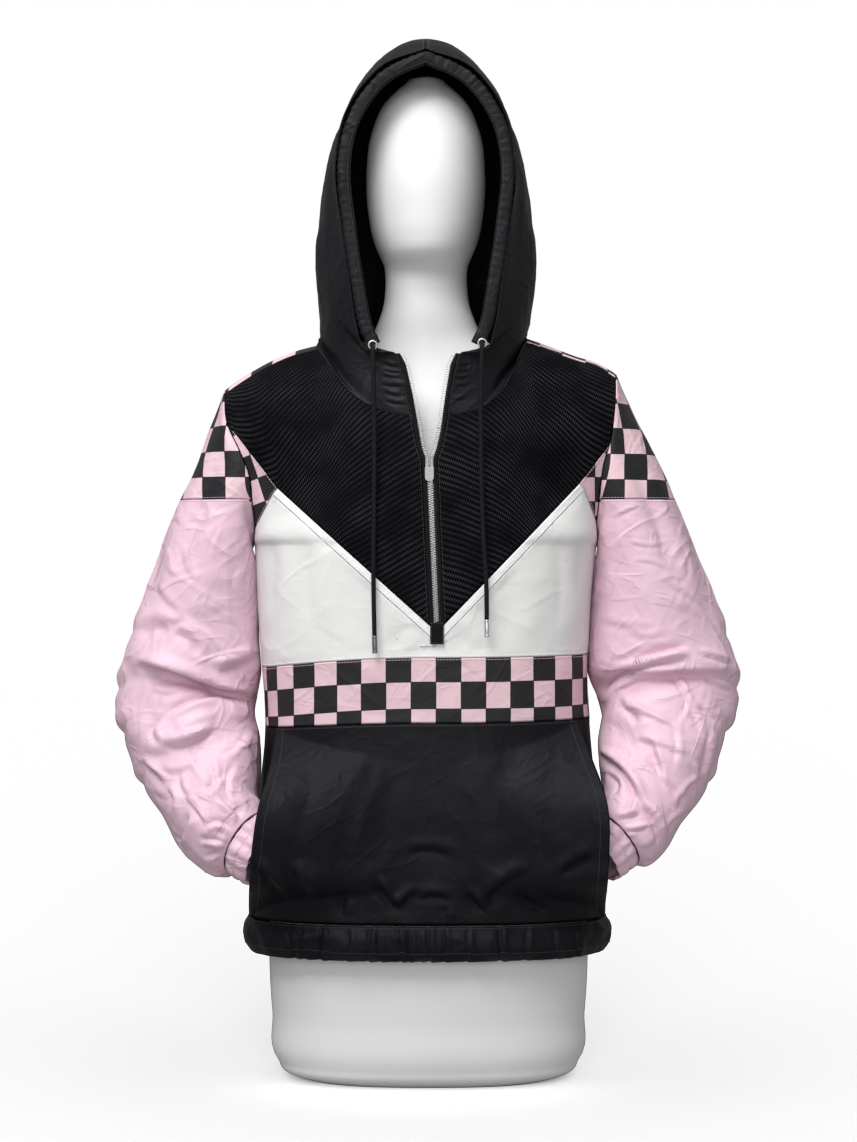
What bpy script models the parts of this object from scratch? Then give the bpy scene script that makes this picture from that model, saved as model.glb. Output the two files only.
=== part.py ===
"""A hooded half-zip windbreaker standing on a plain dress form.

Metres, +Z up. The front faces -Y, and +X is to the right of someone who looks at the front.
The origin is the middle of the form's flat base. Every cut piece of cloth is a thin wall of its own.
"""

import math

import bmesh
import bpy
import numpy as np
from mathutils import Matrix, Vector

# Cloth
CLOTH = 0.0012
SEAM_GAP = 0.0003
FRONT, BACK = -1.0, 1.0
LEFT, RIGHT = -1.0, 1.0

# Body of the jacket
UNDERARM = 0.583
SECTION_ROUND = 2.6
ARCH_ROUND = 2.6
ARMHOLE_DEPTH = 0.070
BACK_YOKE_SEAM = 0.690
SHOULDER_SEAM_RISE = 0.965
NECK_SIDE_HEIGHT = 0.793
NECK_BACK_HEIGHT = 0.7960
NECK_BACK_DEPTH = 0.069
NECK_SHOULDER = {-1.0: 0.8028, 1.0: 0.8080}
HEM_SEAM = 0.178
HEM_BOTTOM = 0.141

# Hem, cuffs and casing
HEM_WAVES = 38
HEM_WAVE_DEPTH = 0.0022
CUFF_WAVES = 14
CUFF_WAVE_DEPTH = 0.0014
CASING_WAVES = 40
CASING_HALF_WIDTH = 0.0068
CASING_HALF_DEPTH = 0.0026
CASING_WAVE_DEPTH = 0.0007

# Front opening
TAPE_WIDTH = 0.0074
TOOTH_ROW = 0.0028
TOOTH_THICKNESS = 0.0024
ZIP_FOOT = 0.4962
ZIP_TAB_FOOT = 0.4760
ZIP_TAB_TOP = 0.4990
THROAT = 0.717
COLLAR_TOP = 0.783
SLIDER_HEIGHT = 0.668
TRIM_WIDTH = 0.0085
YOKE_FOOT = 0.4955
INSERT_CLEAR = 0.004

# Cords
CORD_RADIUS = 0.0025
CORD_STEP = 0.0140
AGLET_RADIUS = 0.0029
AGLET_LENGTH = 0.018
EYELET_RADIUS = 0.0042
EYELET_WIRE = 0.0010

# Sleeves
CAP_SEAM = 0.630
SLEEVE_ALONG = 16
CAP_ALONG = 4
CUFF_LENGTH_ROWS = 3


def table(columns, rows):
    """Named columns of numbers from rows of numbers."""
    return dict(zip(columns.split(), np.array(rows, dtype=float).T))


TORSO = table("height left right front back", [
    (0.130, 0.189, 0.187, 0.120, 0.113),
    (0.178, 0.196, 0.193, 0.125, 0.118),
    (0.230, 0.195, 0.191, 0.128, 0.118),
    (0.300, 0.187, 0.184, 0.128, 0.114),
    (0.390, 0.178, 0.176, 0.124, 0.110),
    (0.460, 0.183, 0.174, 0.127, 0.110),
    (0.530, 0.188, 0.178, 0.131, 0.112),
    (0.583, 0.190, 0.183, 0.132, 0.114),
])
ARMHOLE = table("rise left right", [
    (0.00, 0.190, 0.183),
    (0.12, 0.187, 0.181),
    (0.25, 0.189, 0.183),
    (0.44, 0.192, 0.187),
    (0.60, 0.203, 0.195),
    (0.76, 0.216, 0.200),
    (1.00, 0.222, 0.204),
])
RIDGE = table("reach left right", [
    (0.00, 0.822, 0.822),
    (0.30, 0.816, 0.818),
    (0.55, 0.800, 0.806),
    (0.67, 0.793, 0.797),
    (0.80, 0.780, 0.788),
    (0.90, 0.767, 0.782),
    (1.00, 0.752, 0.770),
])
ZIP_LINE = table("height left right", [
    (0.470, 0.0096, 0.0096),
    (0.560, 0.0056, 0.0056),
    (0.668, 0.0009, 0.0009),
    (0.673, -0.0004, 0.0022),
    (0.682, -0.0036, 0.0052),
    (0.700, -0.0068, 0.0094),
    (0.738, -0.0132, 0.0145),
    (0.771, -0.0207, 0.0200),
    (0.784, -0.0275, 0.0260),
])
COLLAR_DEPTH = table("height depth", [
    (0.700, 0.1228),
    (0.720, 0.1205),
    (0.750, 0.1195),
    (0.784, 0.1170),
])
NECKLINE_FRONT = table("share left right height_left height_right", [
    (0.00, 0.0175, 0.0190, 0.7170, 0.7170),
    (0.20, 0.0400, 0.0340, 0.7195, 0.7190),
    (0.40, 0.0620, 0.0530, 0.7270, 0.7230),
    (0.60, 0.0800, 0.0680, 0.7390, 0.7335),
    (0.80, 0.0960, 0.0860, 0.7560, 0.7540),
    (1.00, 0.1205, 0.1065, 0.7921, 0.7988),
])
HOOD_EDGE = table("share half_width depth height", [
    (0.28, 0.0640, 0.1150, 0.7870),
    (0.36, 0.0730, 0.1130, 0.8120),
    (0.46, 0.0805, 0.1110, 0.8600),
    (0.56, 0.0895, 0.1080, 0.9200),
    (0.66, 0.0965, 0.1050, 0.9800),
    (0.76, 0.0868, 0.1010, 1.0380),
    (0.87, 0.0518, 0.0970, 1.0872),
    (1.00, 0.0000, 0.0950, 1.1094),
])
HOOD_HOOPS = table("station side side_y side_height crown_y crown_height fullness", [
    (0.20, 0.1120, -0.0600, 0.8950, -0.0640, 1.1225, 2.10),
    (0.45, 0.1175, 0.0100, 0.8550, -0.0050, 1.1300, 2.15),
    (0.72, 0.1020, 0.0800, 0.8700, 0.0930, 1.0760, 2.20),
    (1.00, 0.0000, 0.1240, 0.8800, 0.1310, 0.9500, 2.00),
])
HOOD_CENTRE = -0.003
CASING_PATH = table("share half_width depth height", [
    (0.00, 0.0545, 0.1160, 0.7925),
    (0.10, 0.0640, 0.1140, 0.8140),
    (0.24, 0.0725, 0.1120, 0.8600),
    (0.40, 0.0815, 0.1090, 0.9200),
    (0.55, 0.0870, 0.1055, 0.9800),
    (0.70, 0.0765, 0.1015, 1.0330),
    (0.86, 0.0430, 0.0975, 1.0790),
    (1.00, 0.0000, 0.0955, 1.1000),
])
SLEEVE_COLUMNS = "ring x y height across fore_aft lean"
SLEEVE_LEFT = table(SLEEVE_COLUMNS, [
    (0, 0.2060, 0.000, 0.6675, 0.0860, 0.070, 11.0),
    (1, 0.2147, -0.001, 0.6450, 0.0760, 0.072, 16.0),
    (2, 0.2255, -0.003, 0.6120, 0.0600, 0.072, 31.0),
    (3, 0.2365, -0.005, 0.5815, 0.0550, 0.071, 49.0),
    (4, 0.2455, -0.007, 0.5470, 0.0560, 0.070, 64.0),
    (5, 0.2550, -0.008, 0.5045, 0.0615, 0.069, 77.0),
    (6, 0.2628, -0.008, 0.4580, 0.0700, 0.070, 85.0),
    (7, 0.2640, -0.012, 0.4165, 0.0760, 0.070, 89.0),
    (8, 0.2565, -0.028, 0.3720, 0.0730, 0.066, 99.0),
    (9, 0.2430, -0.054, 0.3300, 0.0640, 0.060, 110.0),
    (10, 0.2280, -0.086, 0.2900, 0.0505, 0.052, 124.0),
    (11, 0.2050, -0.101, 0.2690, 0.0450, 0.044, 150.0),
    (12, 0.1930, -0.107, 0.2650, 0.0360, 0.035, 150.0),
])
SLEEVE_RIGHT = table(SLEEVE_COLUMNS, [
    (0, 0.1940, 0.000, 0.6765, 0.0940, 0.070, 6.0),
    (1, 0.2017, -0.001, 0.6570, 0.0860, 0.072, 10.0),
    (2, 0.2145, -0.003, 0.6280, 0.0725, 0.072, 21.0),
    (3, 0.2275, -0.005, 0.5925, 0.0610, 0.071, 40.0),
    (4, 0.2375, -0.007, 0.5550, 0.0600, 0.070, 58.0),
    (5, 0.2485, -0.008, 0.5120, 0.0665, 0.069, 73.0),
    (6, 0.2575, -0.008, 0.4605, 0.0755, 0.070, 86.0),
    (7, 0.2610, -0.012, 0.4245, 0.0780, 0.070, 90.0),
    (8, 0.2545, -0.030, 0.3850, 0.0700, 0.066, 96.0),
    (9, 0.2430, -0.056, 0.3410, 0.0610, 0.060, 108.0),
    (10, 0.2290, -0.086, 0.2975, 0.0460, 0.052, 122.0),
    (11, 0.2110, -0.101, 0.2760, 0.0420, 0.044, 140.0),
    (12, 0.1970, -0.107, 0.2700, 0.0360, 0.035, 140.0),
])
# Each fold: ring it crosses, angle round the sleeve, reach along both, depth (a trough is negative).
FOLDS = table("ring angle ring_reach angle_reach slant height", [
    (6.9, 100.0, 0.42, 85.0, 0.006, -0.0110),
    (6.1, 70.0, 0.55, 60.0, -0.004, 0.0060),
    (8.1, 45.0, 0.60, 40.0, 0.020, 0.0060),
    (8.8, 120.0, 0.45, 50.0, -0.016, -0.0070),
    (4.6, 30.0, 0.70, 35.0, 0.018, -0.0040),
    (2.6, 62.0, 1.60, 12.0, 0.000, -0.0070),
    (7.2, 250.0, 0.50, 70.0, 0.006, -0.0080),
    (5.2, 300.0, 0.70, 40.0, -0.014, -0.0050),
    (9.6, 10.0, 0.50, 45.0, 0.012, -0.0060),
])
CUFF = table("share radius", [
    (0.00, 0.0345),
    (0.50, 0.0355),
    (1.00, 0.0330),
])
CUFF_START = 0.0014
CUFF_LENGTH = 0.0280
POCKET_EDGE = table("height left right depth", [
    (0.1800, 0.1930, 0.1900, 0.0480),
    (0.2000, 0.1915, 0.1890, 0.0850),
    (0.2200, 0.1875, 0.1870, 0.1420),
    (0.2500, 0.1850, 0.1880, 0.1580),
    (0.3100, 0.1765, 0.1850, 0.1560),
    (0.3450, 0.1680, 0.1730, 0.1200),
    (0.3830, 0.1640, 0.1590, 0.0700),
])
FORM = table("height half_width front back middle roundness", [
    (0.000, 0.1300, 0.0800, 0.0800, 0.000, 2.6),
    (0.006, 0.1520, 0.0930, 0.0930, 0.000, 2.6),
    (0.020, 0.1650, 0.1010, 0.1010, 0.000, 2.5),
    (0.070, 0.1710, 0.1040, 0.1040, 0.000, 2.4),
    (0.140, 0.1745, 0.1060, 0.1050, 0.000, 2.4),
    (0.220, 0.1700, 0.1000, 0.1030, 0.000, 2.4),
    (0.300, 0.1560, 0.0940, 0.0960, 0.000, 2.3),
    (0.380, 0.1440, 0.0900, 0.0900, 0.000, 2.3),
    (0.460, 0.1500, 0.0970, 0.0940, 0.000, 2.3),
    (0.540, 0.1600, 0.1060, 0.0990, 0.000, 2.3),
    (0.620, 0.1660, 0.1010, 0.0980, 0.000, 2.3),
    (0.690, 0.1700, 0.0860, 0.0850, 0.000, 2.3),
    (0.735, 0.1660, 0.0700, 0.0680, 0.000, 2.2),
    (0.762, 0.1460, 0.0560, 0.0540, 0.000, 2.1),
    (0.782, 0.1080, 0.0480, 0.0480, 0.000, 2.0),
    (0.800, 0.0720, 0.0450, 0.0460, 0.000, 2.0),
    (0.830, 0.0520, 0.0450, 0.0450, -0.002, 2.0),
    (0.865, 0.0450, 0.0440, 0.0460, -0.005, 2.0),
    (0.885, 0.0455, 0.0520, 0.0520, -0.008, 2.0),
    (0.905, 0.0530, 0.0660, 0.0640, -0.010, 2.0),
    (0.940, 0.0620, 0.0780, 0.0800, -0.010, 2.0),
    (0.990, 0.0650, 0.0820, 0.0880, -0.008, 2.0),
    (1.035, 0.0590, 0.0720, 0.0800, -0.006, 2.0),
    (1.070, 0.0420, 0.0520, 0.0580, -0.003, 2.0),
    (1.088, 0.0230, 0.0280, 0.0320, 0.000, 2.0),
])
FORM_TOP = 1.095
FORM_SIDES = 24


# ---------------------------------------------------------------- curves and the jacket's body


def follow(where, knots, values):
    """Height of the smooth curve through the knots, at each place."""
    where = np.clip(where, knots[0], knots[-1])
    slopes = np.gradient(values, knots)
    first = np.clip(np.searchsorted(knots, where, side="right") - 1, 0, len(knots) - 2)
    step = knots[first + 1] - knots[first]
    part = (where - knots[first]) / step
    rest = 1.0 - part
    ends = values[first] * (1 + 2 * part) * rest**2 + values[first + 1] * (1 + 2 * rest) * part**2
    return ends + step * part * rest * (slopes[first] * rest - slopes[first + 1] * part)


def read(sheet, name, where, by):
    """A column of a table, read smoothly at places along another column."""
    return follow(where, sheet[by], sheet[name])


def by_side(sheet, side, where, by):
    """The left or right column of a table, chosen by the sign of side."""
    left = read(sheet, "left", where, by)
    right = read(sheet, "right", where, by)
    return np.where(side < 0, left, right)


def body(turn, height, facing, slack=0.0):
    """Points of the jacket's body.

    turn runs from -90 degrees at the left side seam to 90 at the right one. Below the underarm a
    section is a rounded rectangle. Above it, the front and the back arch over to the shoulder ridge,
    and turn ends at the armhole. slack makes the front or back that much shallower.
    """
    turn, height, facing = np.broadcast_arrays(np.asarray(turn, float), height, facing)
    side = np.sign(turn)
    reach = np.abs(np.sin(turn)) ** (2 / SECTION_ROUND)
    flat = np.cos(turn) ** 2
    ridge = by_side(RIDGE, side, reach, "reach")
    rise = np.clip((height - UNDERARM) / (ridge - UNDERARM), 0.0, 1.0)
    low = np.minimum(height, UNDERARM)
    width = np.where(rise > 0, by_side(ARMHOLE, side, rise, "rise"), by_side(TORSO, side, low, "height"))
    front = read(TORSO, "front", low, "height")
    back = read(TORSO, "back", low, "height")
    arch = (1.0 - rise**ARCH_ROUND) ** (1 / ARCH_ROUND)
    middle = (np.where(facing < 0, front, back) - slack) * arch
    edge = ARMHOLE_DEPTH * 2.0 * np.sqrt(rise * (1.0 - rise))
    eased = np.clip(rise / 0.35, 0.0, 1.0)
    power = 1 / SECTION_ROUND + (1 - 1 / SECTION_ROUND) * eased**2 * (3 - 2 * eased)
    depth = edge + (middle - edge) * flat**power
    return np.stack([side * reach * width, facing * depth, height], axis=-1)


def turn_at(x, height):
    """The turn at which the body has this x, found by repeated correction."""
    x = np.asarray(x, float)
    side = np.where(x < 0, -1.0, 1.0)
    reach = np.clip(np.abs(x) / 0.19, 0, 1)
    for _ in range(12):
        ridge = by_side(RIDGE, side, reach, "reach")
        rise = np.clip((height - UNDERARM) / (ridge - UNDERARM), 0, 1)
        low = np.minimum(height, UNDERARM)
        width = np.where(rise > 0, by_side(ARMHOLE, side, rise, "rise"), by_side(TORSO, side, low, "height"))
        reach = np.clip(np.abs(x) / width, 0, 1)
    return side * np.arcsin(reach ** (SECTION_ROUND / 2))


def seam(points, steps):
    """A seam line on the front: straight legs between (x, height) points, as (turn, height) rows."""
    points = np.array(points, dtype=float)
    legs = [np.linspace(a, b, n + 1)[:-1] for a, b, n in zip(points[:-1], points[1:], steps)]
    line = np.vstack(legs + [points[-1:]])
    return np.stack([turn_at(line[:, 0], line[:, 1]), line[:, 1]], axis=-1)


def patch(bottom, top, left, right, rows=None):
    """Coons patch between four border lines: what the two ruled surfaces give, less the corners' share."""
    across = np.linspace(0, 1, len(bottom))[None, :, None]
    up = (np.linspace(0, 1, len(left)) if rows is None else rows)[:, None, None]
    ruled_up = (1 - up) * bottom[None] + up * top[None]
    ruled_across = (1 - across) * left[:, None] + across * right[:, None]
    low = (1 - across) * bottom[0] + across * bottom[-1]
    high = (1 - across) * top[0] + across * top[-1]
    return ruled_up + ruled_across - ((1 - up) * low + up * high)


def on_front(grid, slack=0.0):
    """The front body's points for a grid of (turn, height)."""
    return body(grid[..., 0], grid[..., 1], FRONT, slack)


def drawn_in(grid, gap=SEAM_GAP, rows=True, columns=True):
    """The grid with each border moved a little over half a seam gap towards the piece's middle."""
    grid = grid.copy()
    moves = [(np.s_[:, 0], np.s_[:, 1], columns), (np.s_[:, -1], np.s_[:, -2], columns),
             (np.s_[0], np.s_[1], rows), (np.s_[-1], np.s_[-2], rows)]
    for border, inner, wanted in moves:
        if wanted:
            towards = grid[inner] - grid[border]
            length = np.linalg.norm(towards, axis=-1, keepdims=True)
            grid[border] = grid[border] + towards / length * gap * 0.62
    return grid


# ---------------------------------------------------------------- Blender objects


def clear_scene():
    """Removes every object and the data that they leave behind."""
    for thing in list(bpy.data.objects):
        bpy.data.objects.remove(thing, do_unlink=True)
    for group in (bpy.data.meshes, bpy.data.curves, bpy.data.materials):
        for block in list(group):
            group.remove(block)


def collection(name):
    """A new collection in the scene."""
    made = bpy.data.collections.new(name)
    bpy.context.scene.collection.children.link(made)
    return made


def material(name, colour, roughness, metallic=0.0):
    """A Principled material."""
    made = bpy.data.materials.new(name)
    made.use_nodes = True
    shader = made.node_tree.nodes["Principled BSDF"]
    shader.inputs["Base Color"].default_value = (*colour, 1.0)
    shader.inputs["Roughness"].default_value = roughness
    shader.inputs["Metallic"].default_value = metallic
    return made


def place(name, mesh, finish, parts):
    """An object for a mesh, in the parts' collection, with its own material."""
    thing = bpy.data.objects.new(name, mesh)
    parts.objects.link(thing)
    mesh.materials.append(material(name, *finish))
    return thing


def grid_faces(rows, columns, ring):
    """Faces of a grid of points. A ring joins its last column to its first."""
    index = np.arange(rows * columns).reshape(rows, columns)
    if ring:
        index = np.hstack([index, index[:, :1]])
    return np.stack([index[:-1, :-1], index[:-1, 1:], index[1:, 1:], index[1:, :-1]], axis=-1).reshape(-1, 4)


def cloth(name, grid, finish, parts, ring=False, thickness=CLOTH, flip=False):
    """A piece of cloth: an open sheet through a grid of points, given its thickness by Solidify."""
    mesh = bpy.data.meshes.new(name)
    faces = grid_faces(grid.shape[0], grid.shape[1], ring)
    if flip:
        faces = faces[:, ::-1]
    mesh.from_pydata(grid.reshape(-1, 3).tolist(), [], faces.tolist())
    mesh.shade_smooth()
    thing = place(name, mesh, finish, parts)
    wall = thing.modifiers.new("wall", "SOLIDIFY")
    wall.thickness = thickness
    wall.offset = 0.0
    return thing


def closed_tube(name, rings, finish, parts):
    """A solid through closed rings, with a fan at each end."""
    count, sides = rings.shape[:2]
    mesh = bpy.data.meshes.new(name)
    faces = grid_faces(count, sides, True).tolist()
    points = rings.reshape(-1, 3).tolist() + [rings[0].mean(axis=0).tolist(), rings[-1].mean(axis=0).tolist()]
    low, high = count * sides, count * sides + 1
    last = (count - 1) * sides
    for near in range(sides):
        far = (near + 1) % sides
        faces.append([low, far, near])
        faces.append([high, last + near, last + far])
    mesh.from_pydata(points, [], faces)
    mesh.shade_smooth()
    shape = bmesh.new()
    shape.from_mesh(mesh)
    bmesh.ops.recalc_face_normals(shape, faces=shape.faces)
    shape.to_mesh(mesh)
    shape.free()
    return place(name, mesh, finish, parts)


# ---------------------------------------------------------------- front panels


def side_name(side):
    """The word that ends a piece's name."""
    return "left" if side < 0 else "right"


def zip_x(side, height):
    """Inner edge of one row of teeth."""
    return np.interp(height, ZIP_LINE["height"], ZIP_LINE[side_name(side)])


def tape_x(side, height):
    """Outer edge of one zip tape."""
    return zip_x(side, height) + side * (TAPE_WIDTH + SEAM_GAP)


V_CORNER = {LEFT: (-0.161, 0.641), RIGHT: (0.161, 0.646)}
V_FOOT = {LEFT: (0.0083, 0.4888), RIGHT: (0.0095, 0.4888)}
INSERT_TOP = {LEFT: (-0.2158, 0.711), RIGHT: (0.1965, 0.691)}
INSERT_FOOT = {LEFT: (-0.1868, 0.5990), RIGHT: (0.1800, 0.6080)}
BAND_TOP = {LEFT: 0.448, RIGHT: 0.463}
BAND_FOOT = {LEFT: 0.384, RIGHT: 0.395}
BAND_TOP_MIDDLE = 0.4615
BAND_FOOT_MIDDLE = 0.3925
BAND_TURNS = np.linspace(-math.pi / 2, math.pi / 2, 18)


def trim_foot(corner, foot):
    """The V edge's ends, moved down by the trim's width square to it."""
    corner, foot = np.array(corner), np.array(foot)
    along = (foot - corner) / np.linalg.norm(foot - corner)
    down = np.array([-abs(along[1]) * np.sign(along[0]), -abs(along[0])])
    lower = corner + down * TRIM_WIDTH
    drop = TRIM_WIDTH / abs(along[0])
    return lower, foot - np.array([0.0, drop])


def insert_points(start, end):
    """Places along one seam of an insert, closer together at the armhole."""
    start, end = np.array(start), np.array(end)
    return [start + share * (end - start) for share in (0.0, 0.12, 0.5, 1.0)]


def armhole_line(side, low, high, rows):
    """(turn, height) rows up the armhole or the side seam, at shares of the way from low to high."""
    height = low + (high - low) * rows
    return np.stack([np.full_like(height, side * math.pi / 2), height], axis=-1)


def shoulder_seam(side, steps):
    """The seam of the front yoke and the shoulder strip, from the armhole to the neck."""
    inner = turn_at(side * read(NECKLINE_FRONT, side_name(side), 1.0, "share"), NECK_SIDE_HEIGHT)
    turn = np.linspace(side * math.pi / 2, inner, steps + 1)
    reach = np.abs(np.sin(turn)) ** (2 / SECTION_ROUND)
    ridge = by_side(RIDGE, side, reach, "reach")
    return np.stack([turn, UNDERARM + (ridge - UNDERARM) * SHOULDER_SEAM_RISE], axis=-1)


def neckline_front(side, steps):
    """The front neckline from the shoulder strip to the zip tape."""
    share = np.linspace(1, 0, steps + 1)
    x = side * read(NECKLINE_FRONT, side_name(side), share, "share")
    height = read(NECKLINE_FRONT, "height_" + side_name(side), share, "share")
    return np.stack([turn_at(x, height), height], axis=-1)


def make_yoke(side, parts):
    """The mesh half yoke: armhole, V edge, zip edge, neckline and shoulder seam."""
    shoulder = shoulder_seam(side, 5)
    neck = neckline_front(side, 6)
    shoulder[-1] = neck[0]
    top = np.vstack([shoulder, neck[1:]])
    foot = (tape_x(side, YOKE_FOOT), YOKE_FOOT)
    bottom = seam(insert_points(INSERT_TOP[side], V_CORNER[side]) + [foot], [1, 1, 1, 8])
    bottom[0, 0] = side * math.pi / 2
    rows = 1 - (1 - np.linspace(0, 1, 9)) ** 1.7
    outer = armhole_line(side, bottom[0, 1], top[0, 1], rows)
    heights = YOKE_FOOT + (top[-1, 1] - YOKE_FOOT) * rows
    inner = np.stack([turn_at(tape_x(side, heights), heights), heights], axis=-1)
    inner[-1] = top[-1]
    inner[0] = bottom[-1]
    grid = drawn_in(on_front(patch(bottom, top, outer, inner, rows)))
    cloth("yoke_" + side_name(side), grid, MESH_BLACK, parts, flip=side > 0)


def make_trim(side, parts):
    """The narrow strip below one arm of the V."""
    lower_corner, lower_foot = trim_foot(V_CORNER[side], V_FOOT[side])
    top = seam([V_CORNER[side], V_FOOT[side]], [8])
    bottom = seam([lower_corner, lower_foot], [8])
    grid = on_front(np.stack([bottom, top]))
    cloth("v_trim_" + side_name(side), drawn_in(grid), WHITE_TRIM, parts, flip=side > 0)


def make_chest(parts):
    """The chest panel, from the band up to the trims and out to the side seams and armholes."""
    lower = {side: trim_foot(V_CORNER[side], V_FOOT[side]) for side in (LEFT, RIGHT)}
    top = seam([lower[LEFT][0], lower[LEFT][1], lower[RIGHT][1], lower[RIGHT][0]], [8, 1, 8])
    bottom = np.stack([BAND_TURNS, band_line(BAND_TURNS, BAND_TOP, BAND_TOP_MIDDLE)], axis=-1)
    borders = []
    for side in (LEFT, RIGHT):
        below = armhole_line(side, BAND_TOP[side], INSERT_FOOT[side][1], np.linspace(0, 1, 6))
        over = seam(insert_points(INSERT_FOOT[side], lower[side][0]), [1, 1, 1])
        over[0] = below[-1]
        borders.append(np.vstack([below, over[1:]]))
    heights = (borders[0] + borders[1])[:, 1]
    rows = (heights - heights[0]) / (heights[-1] - heights[0])
    grid = drawn_in(on_front(patch(bottom, top, *borders, rows)))
    cloth("chest_panel", grid, WHITE, parts)


def band_line(turn, ends, middle):
    """Height of a band's seam: a curve through its two ends and its middle."""
    share = np.abs(np.sin(turn)) ** (2 / SECTION_ROUND)
    end = np.where(turn < 0, ends[LEFT], ends[RIGHT])
    return middle + (end - middle) * share**2


def make_side_check(side, parts):
    """The small three-cornered insert between the yoke, the chest panel and the armhole."""
    trim_end = trim_foot(V_CORNER[side], V_FOOT[side])[0]
    lower = insert_points(INSERT_FOOT[side], trim_end)[1:]
    upper = insert_points(INSERT_TOP[side], V_CORNER[side])[:0:-1]
    inner = seam(lower + upper, [1] * 5)
    low, high = INSERT_FOOT[side][1] + INSERT_CLEAR, INSERT_TOP[side][1] - INSERT_CLEAR
    outer = armhole_line(side, low, high, np.linspace(0, 1, 6))
    between = (inner + outer) / 2
    grid = drawn_in(on_front(np.stack([outer, between, inner], axis=1)))
    cloth("side_check_" + side_name(side), grid, CHECKS, parts, flip=side > 0)


def make_band(parts):
    """The checked band across the front."""
    top = np.stack([BAND_TURNS, band_line(BAND_TURNS, BAND_TOP, BAND_TOP_MIDDLE)], axis=-1)
    bottom = np.stack([BAND_TURNS, band_line(BAND_TURNS, BAND_FOOT, BAND_FOOT_MIDDLE)], axis=-1)
    rows = np.stack([bottom, (bottom + top) / 2, top])
    cloth("check_band", drawn_in(on_front(rows)), CHECKS, parts)


def make_pocket(parts):
    """The pouch pocket: its open sides stand off the body round the cuffs, its top and foot lie on it."""
    across = np.linspace(-1, 1, 19)
    across = np.sign(across) * np.abs(across) ** 0.85
    height = np.array([0.1800, 0.2050, 0.2300, 0.2500, 0.2750, 0.3000, 0.3250, 0.3500, 0.3680, 0.3830])
    high, wide = np.meshgrid(height, across, indexing="ij")
    edge_x = by_side(POCKET_EDGE, wide, high, "height")
    edge_depth = read(POCKET_EDGE, "depth", high, "height")
    top_x = across * by_side(POCKET_EDGE, across, height[-1], "height")
    top = band_line(turn_at(top_x, BAND_FOOT_MIDDLE), BAND_FOOT, BAND_FOOT_MIDDLE) - 3 * SEAM_GAP
    share = (high - height[0]) / (height[-1] - height[0])
    rise = height[0] + 0.0006 + (top - height[0] - 0.0006) * share
    x = wide * edge_x
    body_depth = -body(turn_at(x, rise), rise, FRONT)[..., 1]
    middle = -body(0.0 * rise, rise, FRONT)[..., 1]
    tight = middle + (edge_depth - middle) * np.abs(wide) ** 1.4
    settle = 0.0028 * np.sin(math.pi * np.clip(share * 1.05, 0, 1)) + 0.0004
    folds = 0.0035 * np.sin(wide * 19 + 5 * share) * np.exp(-(share / 0.30) ** 2)
    y = -(np.maximum(body_depth, tight) + settle + folds * share * 3)
    cloth("pocket", np.stack([x, y, rise], axis=-1), BLACK, parts)


def make_front_lower(parts):
    """The lower front behind the pocket, from the band to the hem."""
    turn = np.linspace(-math.pi / 2, math.pi / 2, 15)
    top = np.stack([turn, band_line(turn, BAND_FOOT, BAND_FOOT_MIDDLE) - 2 * SEAM_GAP], axis=-1)
    bottom = np.stack([turn, np.full_like(turn, HEM_SEAM + SEAM_GAP)], axis=-1)
    share = np.linspace(0, 1, 7)[:, None, None]
    rows = bottom[None] * (1 - share) + top[None] * share
    slack = 0.0045 + 0.018 * np.sin(math.pi * share[..., 0])
    grid = on_front(rows, slack)
    cloth("front_lower", drawn_in(grid, rows=False), BLACK, parts)


def make_back(parts):
    """The back, from the hem to the back yoke."""
    turn = np.linspace(math.pi / 2, -math.pi / 2, 17)
    low = np.linspace(HEM_SEAM + SEAM_GAP, UNDERARM, 11)
    heights = np.concatenate([low, [0.602, 0.625, 0.655, BACK_YOKE_SEAM]])
    high, wide = np.meshgrid(heights, turn, indexing="ij")
    grid = body(wide, high, BACK)
    cloth("back", drawn_in(grid), BLACK, parts)


def make_back_yoke(parts):
    """The checked yoke: it covers the upper back and wraps over each shoulder to the front.

    Each column goes up the back from the yoke seam. Beside the neck it ends at the back neckline, and
    further out it goes over the ridge to the shoulder seam on the front.
    """
    neck = {side: float(turn_at(side * read(NECKLINE_FRONT, side_name(side), 1.0, "share"), NECK_SIDE_HEIGHT))
            for side in (LEFT, RIGHT)}
    outer = np.linspace(math.pi / 2, neck[RIGHT], 6)
    inside = np.array([0.93, 0.70, 0.35, 0.0])
    turn = np.concatenate([outer, neck[RIGHT] * inside, neck[LEFT] * inside[::-1][1:],
                           np.linspace(neck[LEFT], -math.pi / 2, 6)])
    side = np.where(turn < 0, -1.0, 1.0)
    reach = np.abs(np.sin(turn)) ** (2 / SECTION_ROUND)
    ridge = by_side(RIDGE, side, reach, "reach")
    start = (BACK_YOKE_SEAM - UNDERARM) / (ridge - UNDERARM)
    start = np.arcsin(start ** (ARCH_ROUND / 2))
    over = math.pi - math.asin(SHOULDER_SEAM_RISE ** (ARCH_ROUND / 2))
    share = np.abs(turn) / np.where(turn < 0, abs(neck[LEFT]), neck[RIGHT])
    back_neck = np.clip((NECK_BACK_HEIGHT - 0.0005 + 0.004 * share**2 - UNDERARM) / (ridge - UNDERARM), 0, 1)
    back_neck = np.arcsin(back_neck ** (ARCH_ROUND / 2))
    end = np.where(share >= 0.999, over, back_neck)
    rows = np.linspace(0, 1, 9)[:, None]
    bend = start + (end - start) * rows
    rise = np.sin(bend) ** (2 / ARCH_ROUND)
    height = UNDERARM + (ridge - UNDERARM) * rise
    facing = np.where(bend <= math.pi / 2, BACK, FRONT)
    grid = body(np.broadcast_to(turn, bend.shape), height, facing)
    cloth("back_yoke", drawn_in(grid), CHECKS, parts)


# ---------------------------------------------------------------- hood


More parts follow.
